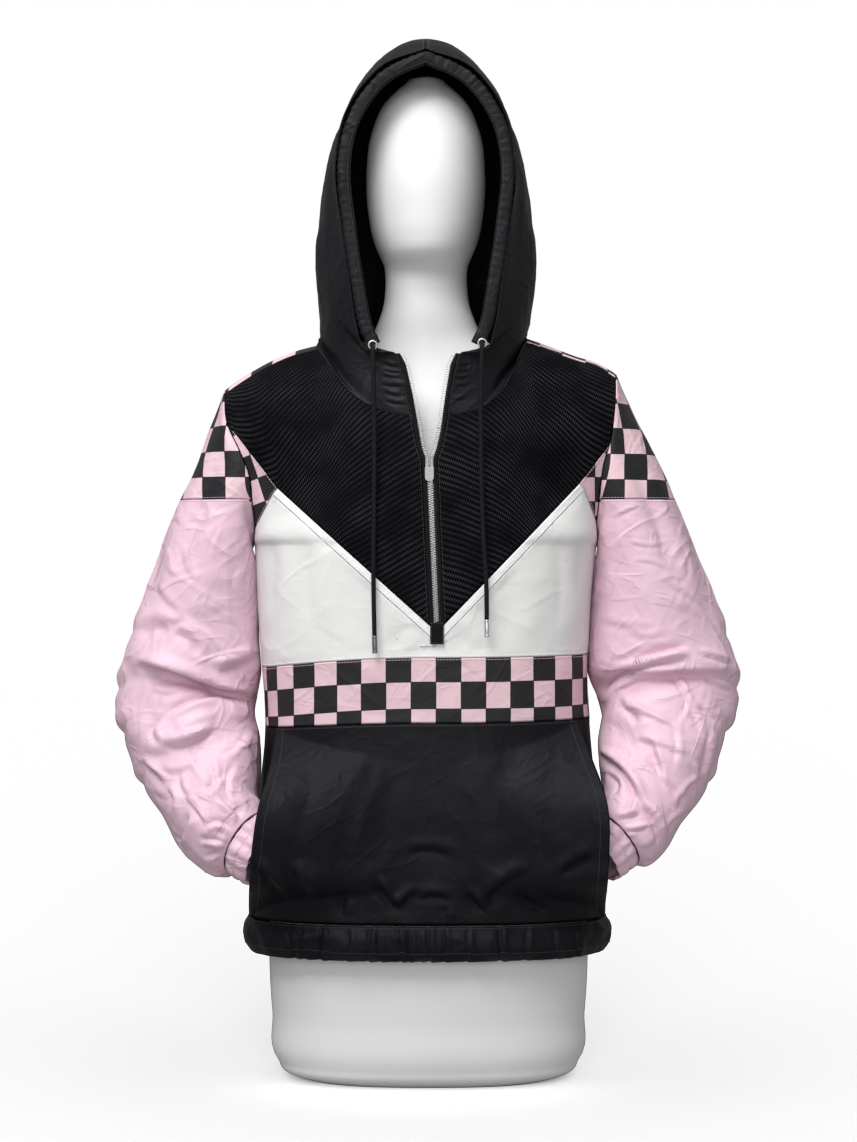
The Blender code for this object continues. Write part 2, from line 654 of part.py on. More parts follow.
def neck_curve(side, station):
    """The whole half neckline, from the zip (0) over the shoulder (0.45) to the middle of the back (1)."""
    share = np.clip(station / 0.43, 0, 1)
    name = side_name(side)
    x = side * read(NECKLINE_FRONT, name, share, "share")
    height = read(NECKLINE_FRONT, "height_" + name, share, "share")
    front = body(turn_at(x, height), height, FRONT)
    behind = np.clip((station - 0.45) / 0.55, 0, 1)
    wide = side * read(NECKLINE_FRONT, name, 1.0, "share") * np.cos(behind * math.pi / 2)
    depth = NECK_BACK_DEPTH * np.sin(behind * math.pi / 2)
    level = NECK_BACK_HEIGHT + (NECK_SHOULDER[side] - NECK_BACK_HEIGHT) * np.cos(behind * math.pi / 2) ** 2
    back = np.stack([wide, depth, level], axis=-1)
    return np.where((station < 0.44)[..., None], front, back)


def hood_edge(side):
    """The hood's front border: up beside the zip, out under the casing, and up round the face."""
    heights = np.array([THROAT, 0.750, COLLAR_TOP])
    collar = read(COLLAR_DEPTH, "depth", heights, "height")
    beside = np.stack([tape_x(side, heights) + side * 0.0004, -collar, heights], axis=-1)
    under = np.array([[HOOD_CENTRE + side * 0.0475, -0.1165, 0.7840]])
    face = np.stack([HOOD_CENTRE + side * HOOD_EDGE["half_width"], -HOOD_EDGE["depth"],
                     HOOD_EDGE["height"]], axis=-1)
    shares = np.concatenate([[0.0, 0.085, 0.17, 0.225], HOOD_EDGE["share"]])
    return shares, np.vstack([beside, under, face])


def hood_hoop(side, row, share):
    """One hoop: from the neckline out to its widest place, then a rounded quarter up to the crown."""
    station = HOOD_HOOPS["station"][row]
    foot = neck_curve(side, np.array(station))
    widest = 0.45
    low = np.clip(share / widest, 0, 1)
    high = np.clip((share - widest) / (1 - widest), 0, 1) * math.pi / 2
    power = 2 / HOOD_HOOPS["fullness"][row]
    side_x = HOOD_CENTRE + side * HOOD_HOOPS["side"][row]
    swing = np.sin(low * math.pi / 2)
    rising = share <= widest
    x = np.where(rising, foot[0] + (side_x - foot[0]) * swing,
                 HOOD_CENTRE + (side_x - HOOD_CENTRE) * np.clip(np.cos(high), 0, 1) ** power)
    y = np.where(rising, foot[1] + (HOOD_HOOPS["side_y"][row] - foot[1]) * swing,
                 HOOD_HOOPS["side_y"][row]
                 + (HOOD_HOOPS["crown_y"][row] - HOOD_HOOPS["side_y"][row]) * (1 - np.cos(high)))
    side_height = HOOD_HOOPS["side_height"][row]
    height = np.where(rising, foot[2] + (side_height - foot[2]) * low,
                      side_height + (HOOD_HOOPS["crown_height"][row] - side_height) * np.sin(high) ** power)
    return np.stack([x, y, height], axis=-1)


def hood_grid(side, stations):
    """The half hood: hoops from the face edge to the middle of the back, joined by smooth curves."""
    shares, edge = hood_edge(side)
    hoops = [edge] + [hood_hoop(side, row, shares) for row in range(len(HOOD_HOOPS["station"]))]
    knots = np.concatenate([[0.0], HOOD_HOOPS["station"]])
    hoops = np.array(hoops)
    slopes = np.gradient(hoops, knots, axis=0)
    grid = []
    for station in stations:
        first = int(np.clip(np.searchsorted(knots, station, side="right") - 1, 0, len(knots) - 2))
        step = knots[first + 1] - knots[first]
        part = (station - knots[first]) / step
        rest = 1 - part
        ends = hoops[first] * (1 + 2 * part) * rest**2 + hoops[first + 1] * (1 + 2 * rest) * part**2
        bends = step * part * rest * (slopes[first] * rest - slopes[first + 1] * part)
        grid.append(ends + bends)
    grid = np.array(grid)
    foot = neck_curve(side, np.array(stations))
    beside_neck = np.clip(1 - np.abs(np.array(stations) - 0.36) / 0.20, 0, 1)
    grid[:, 0] = foot
    grid[:, 0, 0] -= side * 0.0014 * beside_neck
    grid[1:, 0, 2] += 0.0016
    grid[0, 0, 2] += 2 * SEAM_GAP
    return grid


def make_hood(side, parts):
    """One half of the hood, from the neckline to the centre seam."""
    stations = np.array([0.0, 0.07, 0.15, 0.24, 0.34, 0.43, 0.48, 0.58, 0.70, 0.81, 0.91, 1.0])
    grid = hood_grid(side, stations)
    seam_x = HOOD_CENTRE + side * 0.00045
    grid[:, -1, 0] = seam_x
    grid[-1, :, 0] = seam_x
    cloth("hood_" + side_name(side), drawn_in(grid, rows=False), BLACK, parts, flip=side < 0)


def make_casing(parts):
    """The gathered drawstring casing round the face: a flat tube along the opening's edge."""
    half = np.linspace(0, 1, 3 * CASING_WAVES // 2 + 1)
    path = []
    for side, share in ((LEFT, half), (RIGHT, half[::-1][1:])):
        x = HOOD_CENTRE + side * read(CASING_PATH, "half_width", share, "share")
        path.append(np.stack([x, -read(CASING_PATH, "depth", share, "share"),
                              read(CASING_PATH, "height", share, "share")], axis=-1))
    path = np.vstack(path)
    along = np.gradient(path, axis=0)
    along /= np.linalg.norm(along, axis=1, keepdims=True)
    ahead = np.array([0.0, -1.0, 0.0])
    outward = np.cross(along, ahead)
    outward /= np.linalg.norm(outward, axis=1, keepdims=True)
    front = np.cross(outward, along)
    phase = np.arange(len(path)) * 2 * math.pi / 3
    wave = CASING_WAVE_DEPTH * np.cos(phase)
    angle = np.linspace(0, 2 * math.pi, 7)[:-1]
    flat = (CASING_HALF_WIDTH + wave)[:, None, None] * np.cos(angle)[None, :, None] * outward[:, None]
    deep = (CASING_HALF_DEPTH + wave)[:, None, None] * np.sin(angle)[None, :, None] * front[:, None]
    closed_tube("hood_casing", path[:, None] + flat + deep, BLACK, parts)


# ---------------------------------------------------------------- sleeves and cuffs


def armhole_loop(side, angle):
    """The armhole: 0 degrees at the shoulder, 90 at the front, 180 at the underarm, 270 at the back."""
    rise = (1 + np.cos(angle)) / 2
    top = RIDGE[side_name(side)][-1]
    x = side * by_side(ARMHOLE, side, rise, "rise")
    return np.stack([x, -ARMHOLE_DEPTH * np.sin(angle), UNDERARM + (top - UNDERARM) * rise], axis=-1)


def ring_frame(side, ring):
    """Centre of a sleeve ring, its outward axis and its forward one, square to each other."""
    sheet = SLEEVE_LEFT if side < 0 else SLEEVE_RIGHT
    last = sheet["ring"][-1]

    def centre(at):
        at = np.clip(at, 0, last)
        return np.stack([side * read(sheet, "x", at, "ring"), read(sheet, "y", at, "ring"),
                         read(sheet, "height", at, "ring")], axis=-1)

    along = centre(ring + 0.05) - centre(ring - 0.05)
    lean = np.radians(read(sheet, "lean", ring, "ring"))
    out = np.stack([side * np.sin(lean), np.zeros_like(lean), np.cos(lean)], axis=-1)
    fore = side * np.cross(along, out)
    return centre(ring), out, fore / np.linalg.norm(fore, axis=-1, keepdims=True)


def sleeve_rings(side, angle, ring):
    """Points of a sleeve. Each ring is an ellipse, and the first few bend into the armhole's own loop."""
    sheet = SLEEVE_LEFT if side < 0 else SLEEVE_RIGHT
    centre, out, fore = ring_frame(side, ring)
    swell = fold_height(side, angle, ring)
    across = (read(sheet, "across", ring, "ring") + swell) * np.cos(angle)
    deep = (read(sheet, "fore_aft", ring, "ring") + swell) * np.sin(angle)
    return centre + across[..., None] * out + deep[..., None] * fore


def fold_height(side, angle, ring):
    """Sum of the large folds: each is a smooth bump or trough, longer round the sleeve than along it."""
    total = np.zeros_like(angle * ring)
    degrees = np.degrees(angle) % 360
    shift = 0.0 if side < 0 else 0.35
    for row in range(len(FOLDS["ring"])):
        turn = (degrees - FOLDS["angle"][row] + 180) % 360 - 180
        line = FOLDS["ring"][row] + shift + FOLDS["slant"][row] * turn
        along = (ring - line) / FOLDS["ring_reach"][row]
        round_it = turn / FOLDS["angle_reach"][row]
        total = total + FOLDS["height"][row] * np.exp(-along**2 - round_it**2)
    return total * np.clip(ring / 1.5, 0, 1) * np.clip((12 - ring) / 1.5, 0, 1)


def sleeve_surface(side, angle, ring):
    """The sleeve with its upper end carried smoothly onto the armhole."""
    first = np.zeros_like(ring)
    pull = np.clip(1 - ring / 2.5, 0, 1) ** 2
    loop = armhole_loop(side, angle)
    rise = (1 + np.cos(angle)) / 2
    loop[..., 0] += side * (0.0011 + 0.0007 * (1 - rise))
    return sleeve_rings(side, angle, ring) + (loop - sleeve_rings(side, angle, first)) * pull[..., None]


def cap_angles(side):
    """Angles round the sleeve, with the two ends of the cap seam among them."""
    top = RIDGE[side_name(side)][-1]
    end = math.acos(2 * (CAP_SEAM - UNDERARM) / (top - UNDERARM) - 1)
    cap = np.linspace(-end, end, 17)
    under = np.linspace(end, 2 * math.pi - end, 9)[1:-1]
    return cap, under


def cap_seam_ring(side, angle):
    """The ring number at which the sleeve comes down to the level cap seam, for each angle."""
    rings = np.linspace(0, 4.5, 91)
    turns, places = np.meshgrid(angle, rings)
    high = sleeve_surface(side, turns, places)[..., 2]
    found = [float(np.interp(-CAP_SEAM, -high[:, i], rings)) for i in range(len(angle))]
    return np.maximum(np.array(found), 0.14)


def make_sleeve(side, parts):
    """The checked cap and the long lower sleeve of one arm."""
    cap, under = cap_angles(side)
    seam_ring = cap_seam_ring(side, cap)
    share = np.linspace(0, 1, CAP_ALONG + 1)[:, None]
    grid = sleeve_surface(side, np.broadcast_to(cap, (CAP_ALONG + 1, len(cap))), share * seam_ring)
    cloth("sleeve_cap_" + side_name(side), drawn_in(grid, 0.0005), CHECKS, parts, flip=side < 0)
    angle = np.concatenate([cap, under])
    start = np.concatenate([seam_ring, np.zeros(len(under))])
    share = np.linspace(0, 1, SLEEVE_ALONG + 1)[:, None]
    ring = start + (12.0 - start) * share
    grid = sleeve_surface(side, np.broadcast_to(angle, ring.shape), ring)
    grid = drawn_in(grid, columns=False)
    cloth("sleeve_" + side_name(side), grid, PINK, parts, ring=True, flip=side < 0)


def make_cuff(side, parts):
    """The elastic cuff: a short tube with even gathers, which goes on into the pocket."""
    centre, out, fore = ring_frame(side, np.array(12.0))
    inward = -side * np.cross(fore, out)
    share = np.linspace(0, 1, CUFF_LENGTH_ROWS + 1)
    path = centre + (CUFF_START + CUFF_LENGTH * share)[:, None] * inward
    angle = np.linspace(0, 2 * math.pi, 3 * CUFF_WAVES + 1)[:-1]
    wave = CUFF_WAVE_DEPTH * np.cos(np.arange(len(angle)) * 2 * math.pi / 3)
    radius = read(CUFF, "radius", share, "share")[:, None] + wave[None, :]
    round_it = np.cos(angle)[:, None] * out + np.sin(angle)[:, None] * fore
    grid = path[:, None] + radius[..., None] * round_it[None]
    cloth("cuff_" + side_name(side), grid, PINK, parts, ring=True, flip=side < 0)


def make_hem(parts):
    """The elastic hem casing: a ring below the hem seam, with gathers all round."""
    dense = np.linspace(-math.pi, math.pi, 721)
    facing = np.where(np.abs(dense) <= math.pi / 2, FRONT, BACK)
    turn = np.where(facing < 0, dense, np.sign(dense) * math.pi - dense)
    loop = body(turn, np.full_like(dense, HEM_SEAM), facing)
    length = np.concatenate([[0], np.cumsum(np.linalg.norm(np.diff(loop, axis=0), axis=1))])
    spots = np.linspace(0, length[-1], 3 * HEM_WAVES + 1)[:-1]
    place_x = np.interp(spots, length, loop[:, 0])
    place_y = np.interp(spots, length, loop[:, 1])
    wave = np.cos(np.arange(len(spots)) * 2 * math.pi / 3)
    outward = np.stack([place_x / 0.19**2, place_y / 0.12**2], axis=-1)
    outward /= np.linalg.norm(outward, axis=1, keepdims=True)
    rows = []
    for height, puff in ((HEM_SEAM - SEAM_GAP, 0.0), (0.164, 0.0045), (0.150, 0.0030), (HEM_BOTTOM, -0.0035)):
        swell = puff + HEM_WAVE_DEPTH * wave * (0.45 if height > 0.17 else 1.0)
        rows.append(np.column_stack([place_x + outward[:, 0] * swell, place_y + outward[:, 1] * swell,
                                     np.full(len(spots), height)]))
    cloth("hem_band", np.array(rows), BLACK, parts, ring=True, thickness=0.0020, flip=True)


# ---------------------------------------------------------------- zip, cords and small hardware


def zip_depth(x, height):
    """How far the zip stands in front of the middle: on the body, and above the throat on the collar."""
    on_body = -body(turn_at(x, height), np.minimum(height, THROAT), FRONT)[..., 1]
    return np.where(height > 0.705, read(COLLAR_DEPTH, "depth", height, "height"), on_body)


def make_zip_side(side, parts):
    """One tape and its row of teeth, closed below the slider and parted above it."""
    heights = np.array([ZIP_FOOT, 0.530, 0.570, 0.610, 0.645, 0.6655, 0.673, 0.682, 0.700, 0.720,
                        0.738, 0.755, 0.771, COLLAR_TOP])
    edge = zip_x(side, heights)
    tooth_in = edge + side * 0.00018
    tooth_out = edge + side * TOOTH_ROW
    tape_in = edge + side * (TOOTH_ROW + SEAM_GAP)
    tape_out = edge + side * (TAPE_WIDTH - np.where(heights > THROAT - 0.02, 0.0009, 0.0005))
    for name, inner, outer, thickness, finish in (
            ("zip_teeth_", tooth_in, tooth_out, TOOTH_THICKNESS, SILVER),
            ("zip_tape_", tape_in, tape_out, CLOTH, TAPE_BLACK)):
        columns = [np.stack([x, -zip_depth(x, heights), heights], axis=-1) for x in (inner, outer)]
        grid = np.stack(columns, axis=1)
        cloth(name + side_name(side), grid, finish, parts, thickness=thickness, flip=side < 0)


def make_zip_tab(parts):
    """The square cloth tab that covers the zip's foot, moved out from the panels below it."""
    x = np.linspace(0.0018, 0.0160, 3)
    heights = np.linspace(ZIP_TAB_FOOT, ZIP_TAB_TOP, 4)
    high, wide = np.meshgrid(heights, x, indexing="ij")
    grid = body(turn_at(wide, high), high, FRONT)
    grid[..., 1] -= TOOTH_THICKNESS / 2 + CLOTH / 2 + SEAM_GAP
    cloth("zip_tab", grid, BLACK, parts)


def box_part(size, centre):
    """A box as a bmesh, which the caller joins or turns."""
    shape = bmesh.new()
    bmesh.ops.create_cube(shape, size=1.0)
    bmesh.ops.scale(shape, vec=Vector(size), verts=shape.verts)
    bmesh.ops.translate(shape, vec=Vector(centre), verts=shape.verts)
    return shape


def union(target, tools, parts):
    """Joins tools into target with exact unions, and removes the tools."""
    for tool in tools:
        join = target.modifiers.new("join", "BOOLEAN")
        join.operation = "UNION"
        join.solver = "EXACT"
        join.object = tool
    bpy.context.view_layer.update()
    evaluated = target.evaluated_get(bpy.context.evaluated_depsgraph_get())
    joined = bpy.data.meshes.new_from_object(evaluated)
    target.modifiers.clear()
    target.data = joined
    for tool in tools:
        bpy.data.objects.remove(tool, do_unlink=True)


def tool_object(name, shape):
    """An unlinked-from-parts object for a bmesh, used only in a union."""
    mesh = bpy.data.meshes.new(name)
    shape.to_mesh(mesh)
    shape.free()
    thing = bpy.data.objects.new(name, mesh)
    bpy.context.scene.collection.objects.link(thing)
    return thing


def slider_frame():
    """Where the slider lies on the zip, and the lean of the chest there."""
    x = 0.0009
    reach = 0.01
    ends = (SLIDER_HEIGHT - reach, SLIDER_HEIGHT + reach)
    low, high = (float(zip_depth(np.array(x), np.array(z))) for z in ends)
    lean = math.atan2(low - high, 2 * reach)
    spot = Vector((x, -(low + high) / 2, SLIDER_HEIGHT))
    return Matrix.Translation(spot) @ Matrix.Rotation(-lean, 4, "X")


def make_slider(parts):
    """The slider: two plates joined by a wedge between the parted teeth, and a bail on the front."""
    gap = TOOTH_THICKNESS / 2 + 0.0004
    plate = 0.0012
    front = box_part((0.0082, plate, 0.0125), (0, -gap - plate / 2, 0.0))
    rear = box_part((0.0082, plate, 0.0125), (0, gap + plate / 2, 0.0))
    wedge = box_part((0.0016, 2 * gap + 2 * plate * 0.8, 0.0020), (0, 0, 0.0125 / 2 - 0.0011))
    foot = box_part((0.0016, 0.0024, 0.0014), (0, -gap - plate - 0.0009, -0.0040))
    head = box_part((0.0016, 0.0024, 0.0014), (0, -gap - plate - 0.0009, 0.0041))
    bar = box_part((0.0016, 0.0010, 0.0095), (0, -gap - plate - 0.0023, 0.00005))
    mesh = bpy.data.meshes.new("zip_slider")
    front.to_mesh(mesh)
    front.free()
    slider = place("zip_slider", mesh, DARK_STEEL, parts)
    tools = [tool_object("tool", shape) for shape in (rear, wedge, foot, head, bar)]
    union(slider, tools, parts)
    slider.data.transform(slider_frame())


def make_pull(parts):
    """The pull tab, hung on the slider's bail. Its parent empty lies on the hinge axis."""
    frame = slider_frame()
    gap = TOOTH_THICKNESS / 2 + 0.0004
    hinge_local = Vector((0.0, -gap - 0.0012 - 0.0009, 0.0022))
    hinge = frame @ hinge_local
    half_width, thick, length = 0.0046, 0.0010, 0.0235
    outline = bpy.data.curves.new("zip_pull", "CURVE")
    outline.dimensions = "2D"
    outline.fill_mode = "BOTH"
    outline.extrude = thick / 2
    foot = [(half_width * math.sin(a), -length + half_width - half_width * math.cos(a))
            for a in np.linspace(-math.pi / 2, math.pi / 2, 9)]
    head = [(0.0030, -0.005), (0.0030, 0.0005), (-0.0030, 0.0005), (-0.0030, -0.005)]
    slot = [(0.0014, -0.0005), (0.0014, -0.0082), (-0.0014, -0.0082), (-0.0014, -0.0005)]
    for points in (foot + [(half_width, -0.0095)] + head + [(-half_width, -0.0095)], slot):
        spline = outline.splines.new("POLY")
        spline.points.add(len(points) - 1)
        for point, (x, y) in zip(spline.points, points):
            point.co = (x, y, 0.0, 1.0)
        spline.use_cyclic_u = True
    flat = bpy.data.objects.new("flat", outline)
    bpy.context.scene.collection.objects.link(flat)
    bpy.context.view_layer.update()
    mesh = bpy.data.meshes.new_from_object(flat.evaluated_get(bpy.context.evaluated_depsgraph_get()))
    bpy.data.objects.remove(flat, do_unlink=True)
    shape = bmesh.new()
    shape.from_mesh(mesh)
    bmesh.ops.remove_doubles(shape, verts=shape.verts, dist=0.00002)
    bmesh.ops.recalc_face_normals(shape, faces=shape.faces)
    shape.to_mesh(mesh)
    shape.free()
    mesh.name = "zip_pull"
    mesh.materials.clear()
    mesh.transform(frame.to_3x3().to_4x4() @ Matrix.Rotation(math.pi / 2, 4, "X"))
    pull = place("zip_pull", mesh, DARK_STEEL, parts)
    pin = bpy.data.objects.new("pull_hinge", None)
    parts.objects.link(pin)
    pin.location = hinge
    pull.parent = pin


CORD_ROUTE = {
    LEFT: [(-0.0588, 0.7915, 0.1215), (-0.0588, 0.7912, 0.1265), (-0.0587, 0.7870, 0.1315),
           (-0.0585, 0.7790, 0.1330), (-0.0575, 0.7400, 0.1335), (-0.0568, 0.6800, 0.1345),
           (-0.0572, 0.6200, 0.1355), (-0.0578, 0.5600, 0.1355), (-0.0575, 0.5200, 0.1352),
           (-0.0567, 0.4850, 0.1350)],
    RIGHT: [(0.0567, 0.7935, 0.1215), (0.0567, 0.7932, 0.1265), (0.0565, 0.7890, 0.1315),
            (0.0562, 0.7810, 0.1330), (0.0550, 0.7400, 0.1335), (0.0552, 0.6850, 0.1345),
            (0.0562, 0.6250, 0.1355), (0.0588, 0.5700, 0.1355), (0.0608, 0.5350, 0.1352),
            (0.0612, 0.5020, 0.1350)],
}


def cord_points(side):
    """The cord's route: out of the eyelet, then straight down in front of the chest."""
    spots = np.array([(x, -depth, z) for x, z, depth in CORD_ROUTE[side]])
    knots = np.concatenate([[0], np.cumsum(np.linalg.norm(np.diff(spots, axis=0), axis=1))])
    count = int(knots[-1] / CORD_STEP) + 1
    where = np.concatenate([np.linspace(0, knots[4], 9)[:-1], np.linspace(knots[4], knots[-1], count - 3)])
    return np.stack([follow(where, knots, spots[:, axis]) for axis in range(3)], axis=-1)


def tube(name, points, radius, finish, parts, resolution=2):
    """A round bar along points, as a curve with filled caps."""
    line = bpy.data.curves.new(name, "CURVE")
    line.dimensions = "3D"
    line.bevel_depth = radius
    line.bevel_resolution = resolution
    line.use_fill_caps = True
    spline = line.splines.new("POLY")
    spline.points.add(len(points) - 1)
    for spot, point in zip(spline.points, points):
        spot.co = (*point, 1.0)
    thing = bpy.data.objects.new(name, line)
    parts.objects.link(thing)
    line.materials.append(material(name, *finish))
    return thing


def make_cord(side, parts):
    """One drawstring end, its metal tip and the eyelet that it comes out of."""
    points = cord_points(side)
    name = side_name(side)
    tube("cord_" + name, points, CORD_RADIUS, CORD_BLACK, parts)
    down = points[-1] - points[-2]
    down /= np.linalg.norm(down)
    top = points[-1] + down * SEAM_GAP
    tube("aglet_" + name, [top, top + down * AGLET_LENGTH], AGLET_RADIUS, DARK_STEEL if side < 0 else SILVER,
         parts, resolution=3)
    ring = bpy.data.meshes.new("eyelet_" + name)
    shape = bmesh.new()
    major, minor = 14, 5
    spots = []
    for turn in np.linspace(0, 2 * math.pi, major + 1)[:-1]:
        for tilt in np.linspace(0, 2 * math.pi, minor + 1)[:-1]:
            far = EYELET_RADIUS + EYELET_WIRE * math.cos(tilt)
            spots.append(shape.verts.new((far * math.cos(turn), EYELET_WIRE * 0.7 * math.sin(tilt),
                                          far * math.sin(turn))))
    for i in range(major):
        for j in range(minor):
            a, b = i * minor + j, i * minor + (j + 1) % minor
            c, d = ((i + 1) % major) * minor + (j + 1) % minor, ((i + 1) % major) * minor + j
            shape.faces.new([spots[a], spots[b], spots[c], spots[d]])
    bmesh.ops.recalc_face_normals(shape, faces=shape.faces)
    start = CORD_ROUTE[side][0]
    bmesh.ops.translate(shape, vec=Vector((start[0], -start[2] + 0.0004, start[1])), verts=shape.verts)
    shape.to_mesh(ring)
    shape.free()
    place("eyelet_" + name, ring, SILVER, parts)


def make_form(parts):
    """The dress form: one smooth body from its flat base to the faceless head."""
    heights = FORM["height"]
    angle = np.linspace(0, 2 * math.pi, FORM_SIDES + 1)[:-1]
    power = (2 / FORM["roundness"])[:, None]
    cosine, sine = np.cos(angle)[None, :], np.sin(angle)[None, :]
    x = FORM["half_width"][:, None] * np.sign(cosine) * np.abs(cosine) ** power
    depth = np.where(sine < 0, FORM["front"][:, None], FORM["back"][:, None])
    y = FORM["middle"][:, None] + depth * np.sign(sine) * np.abs(sine) ** power
    shift = np.clip((heights[:, None] - 0.70) / 0.2, 0, 1) * HOOD_CENTRE
    rings = np.stack([x + shift, y, np.broadcast_to(heights[:, None], x.shape)], axis=-1)
    top = rings[-1:] * np.array([0.35, 0.35, 1.0]) + np.array([0.65 * HOOD_CENTRE, 0, FORM_TOP - heights[-1]])
    closed_tube("dress_form", np.vstack([rings, top]), FORM_WHITE, parts)


# ---------------------------------------------------------------- finishes and the whole jacket

BLACK = ((0.015, 0.015, 0.018), 0.55)
MESH_BLACK = ((0.004, 0.004, 0.005), 0.80)
WHITE = ((0.80, 0.80, 0.79), 0.60)
WHITE_TRIM = ((0.88, 0.88, 0.87), 0.55)
PINK = ((0.80, 0.53, 0.66), 0.55)
CHECKS = ((0.40, 0.24, 0.27), 0.60)
CORD_BLACK = ((0.010, 0.010, 0.011), 0.75)
TAPE_BLACK = ((0.008, 0.008, 0.009), 0.75)
SILVER = ((0.60, 0.60, 0.60), 0.30, 1.0)
DARK_STEEL = ((0.25, 0.25, 0.26), 0.35, 1.0)
FORM_WHITE = ((0.76, 0.76, 0.75), 0.65)


def main():
    """Builds every piece."""
    clear_scene()
    parts = collection("windbreaker")
    make_form(parts)
    for side in (LEFT, RIGHT):
        make_yoke(side, parts)
        make_trim(side, parts)
        make_side_check(side, parts)
        make_hood(side, parts)
        make_sleeve(side, parts)
        make_cuff(side, parts)
        make_zip_side(side, parts)
        make_cord(side, parts)
    make_chest(parts)
    make_band(parts)
    make_pocket(parts)
    make_front_lower(parts)
    make_back(parts)
    make_back_yoke(parts)
    make_casing(parts)
    make_hem(parts)
    make_zip_tab(parts)
    make_slider(parts)
    make_pull(parts)


main()
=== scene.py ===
"""The dressed model of a hooded half-zip windbreaker on a plain dress form.

Metres, +Z up. The front faces -Y, and +X is to the right of someone who looks at the front. Each piece
of cloth is a fine grid of points on the same form as its solid, with its folds, and a thin wall.
"""

import logging
import math
from dataclasses import dataclass, field
from enum import Enum
from typing import Optional, Sequence, Union

import bpy
import numpy as np
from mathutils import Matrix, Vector


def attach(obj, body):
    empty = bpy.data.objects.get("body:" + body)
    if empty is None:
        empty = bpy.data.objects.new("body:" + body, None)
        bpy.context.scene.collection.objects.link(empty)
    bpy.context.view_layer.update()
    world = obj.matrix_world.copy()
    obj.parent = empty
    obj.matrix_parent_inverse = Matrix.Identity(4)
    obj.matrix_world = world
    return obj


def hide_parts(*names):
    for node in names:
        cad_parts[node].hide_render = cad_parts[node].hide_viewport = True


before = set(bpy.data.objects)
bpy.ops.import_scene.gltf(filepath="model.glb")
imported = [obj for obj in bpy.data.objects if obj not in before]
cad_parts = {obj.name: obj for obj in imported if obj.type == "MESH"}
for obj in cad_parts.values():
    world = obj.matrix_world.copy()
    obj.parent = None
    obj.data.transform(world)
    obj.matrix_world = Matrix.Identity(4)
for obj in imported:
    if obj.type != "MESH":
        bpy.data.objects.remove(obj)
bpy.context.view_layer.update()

LOG = logging.getLogger("windbreaker")
JACKET = "jacket_on_form"
MM = 0.001
QUARTER = math.pi / 2
Array = np.ndarray


class Side(Enum):
    """The two halves of the jacket. The value is the sign of X."""

    LEFT = -1
    RIGHT = 1

    @property
    def word(self) -> str:
        """The word that ends a piece's name."""
        return self.name.lower()

    @property
    def sign(self) -> float:
        """Minus one on the left, one on the right."""
        return float(self.value)


class View(Enum):
    """A direction that folds are laid out from: (axis across, the sign of that axis that faces out)."""

    FRONT = (1, -1.0)
    BACK = (1, 1.0)
    OUTER_LEFT = (0, -1.0)
    OUTER_RIGHT = (0, 1.0)


class Edge(Enum):
    """The four borders of a grid."""

    LOW = 0
    HIGH = 1
    START = 2
    END = 3


class Thread(Enum):
    """Sewing threads."""

    BLACK = "black"
    WHITE = "white"
    PINK = "pink"


# ---------------------------------------------------------------- smooth curves, noise and folds


def follow(where: Array, knots: Array, values: Array) -> Array:
    """Reads the smooth curve through the knots.

    Args:
        where: places along the knots.
        knots: rising places with known values.
        values: one value for each knot.

    Returns:
        Cubic Hermite values, whose slopes are the knots' central differences.
    """
    where = np.clip(where, knots[0], knots[-1])
    slopes = np.gradient(values, knots)
    first = np.clip(np.searchsorted(knots, where, side="right") - 1, 0, len(knots) - 2)
    step = knots[first + 1] - knots[first]
    part = (where - knots[first]) / step
    rest = 1.0 - part
    ends = values[first] * (1 + 2 * part) * rest**2 + values[first + 1] * (1 + 2 * rest) * part**2
    return ends + step * part * rest * (slopes[first] * rest - slopes[first + 1] * part)


class Chart:
    """Named columns of numbers."""

    def __init__(self, columns: str, rows: Sequence[Sequence[float]]) -> None:
        """Keeps each column under its name."""
        self.columns = dict(zip(columns.split(), np.array(rows, dtype=float).T))

    def __getitem__(self, name: str) -> Array:
        """A whole column."""
        return self.columns[name]

    def read(self, name: str, where: Array, by: str) -> Array:
        """A column read smoothly at places along another column."""
        return follow(where, self.columns[by], self.columns[name])

    def by_side(self, side: Array, where: Array, by: str) -> Array:
        """The left or the right column, chosen by the sign of side."""
        return np.where(np.asarray(side) < 0, self.read("left", where, by), self.read("right", where, by))

    def rows(self) -> list[dict[str, float]]:
        """The rows, each with its columns' names."""
        count = len(next(iter(self.columns.values())))
        return [{name: float(values[i]) for name, values in self.columns.items()} for i in range(count)]


def unit(vectors: Array) -> Array:
    """The vectors at length one."""
    return vectors / np.maximum(np.linalg.norm(vectors, axis=-1, keepdims=True), 1e-12)


def run_length(path: Array) -> Array:
    """Distance along a path, from its first point to each."""
    return np.concatenate([[0.0], np.cumsum(np.linalg.norm(np.diff(path, axis=0), axis=1))])


def at_spots(path: Array, length: Array, spots: Array) -> Array:
    """Points of a path at distances along it. length is its run_length."""
    return np.stack([np.interp(spots, length, path[:, axis]) for axis in range(path.shape[1])], axis=-1)


def circle(count: int) -> Array:
    """Even angles round a whole turn."""
    return np.linspace(0, 2 * math.pi, count + 1)[:-1]


def quads(index: Array) -> Array:
    """The four corners of each cell of a grid of point numbers."""
    return np.stack([index[:-1, :-1], index[:-1, 1:], index[1:, 1:], index[1:, :-1]], axis=-1).reshape(-1, 4)


def ease(low: float, high: float, where: Array) -> Array:
    """Rises smoothly from 0 at low to 1 at high."""
    part = np.clip((where - low) / (high - low), 0.0, 1.0)
    return part * part * (3 - 2 * part)


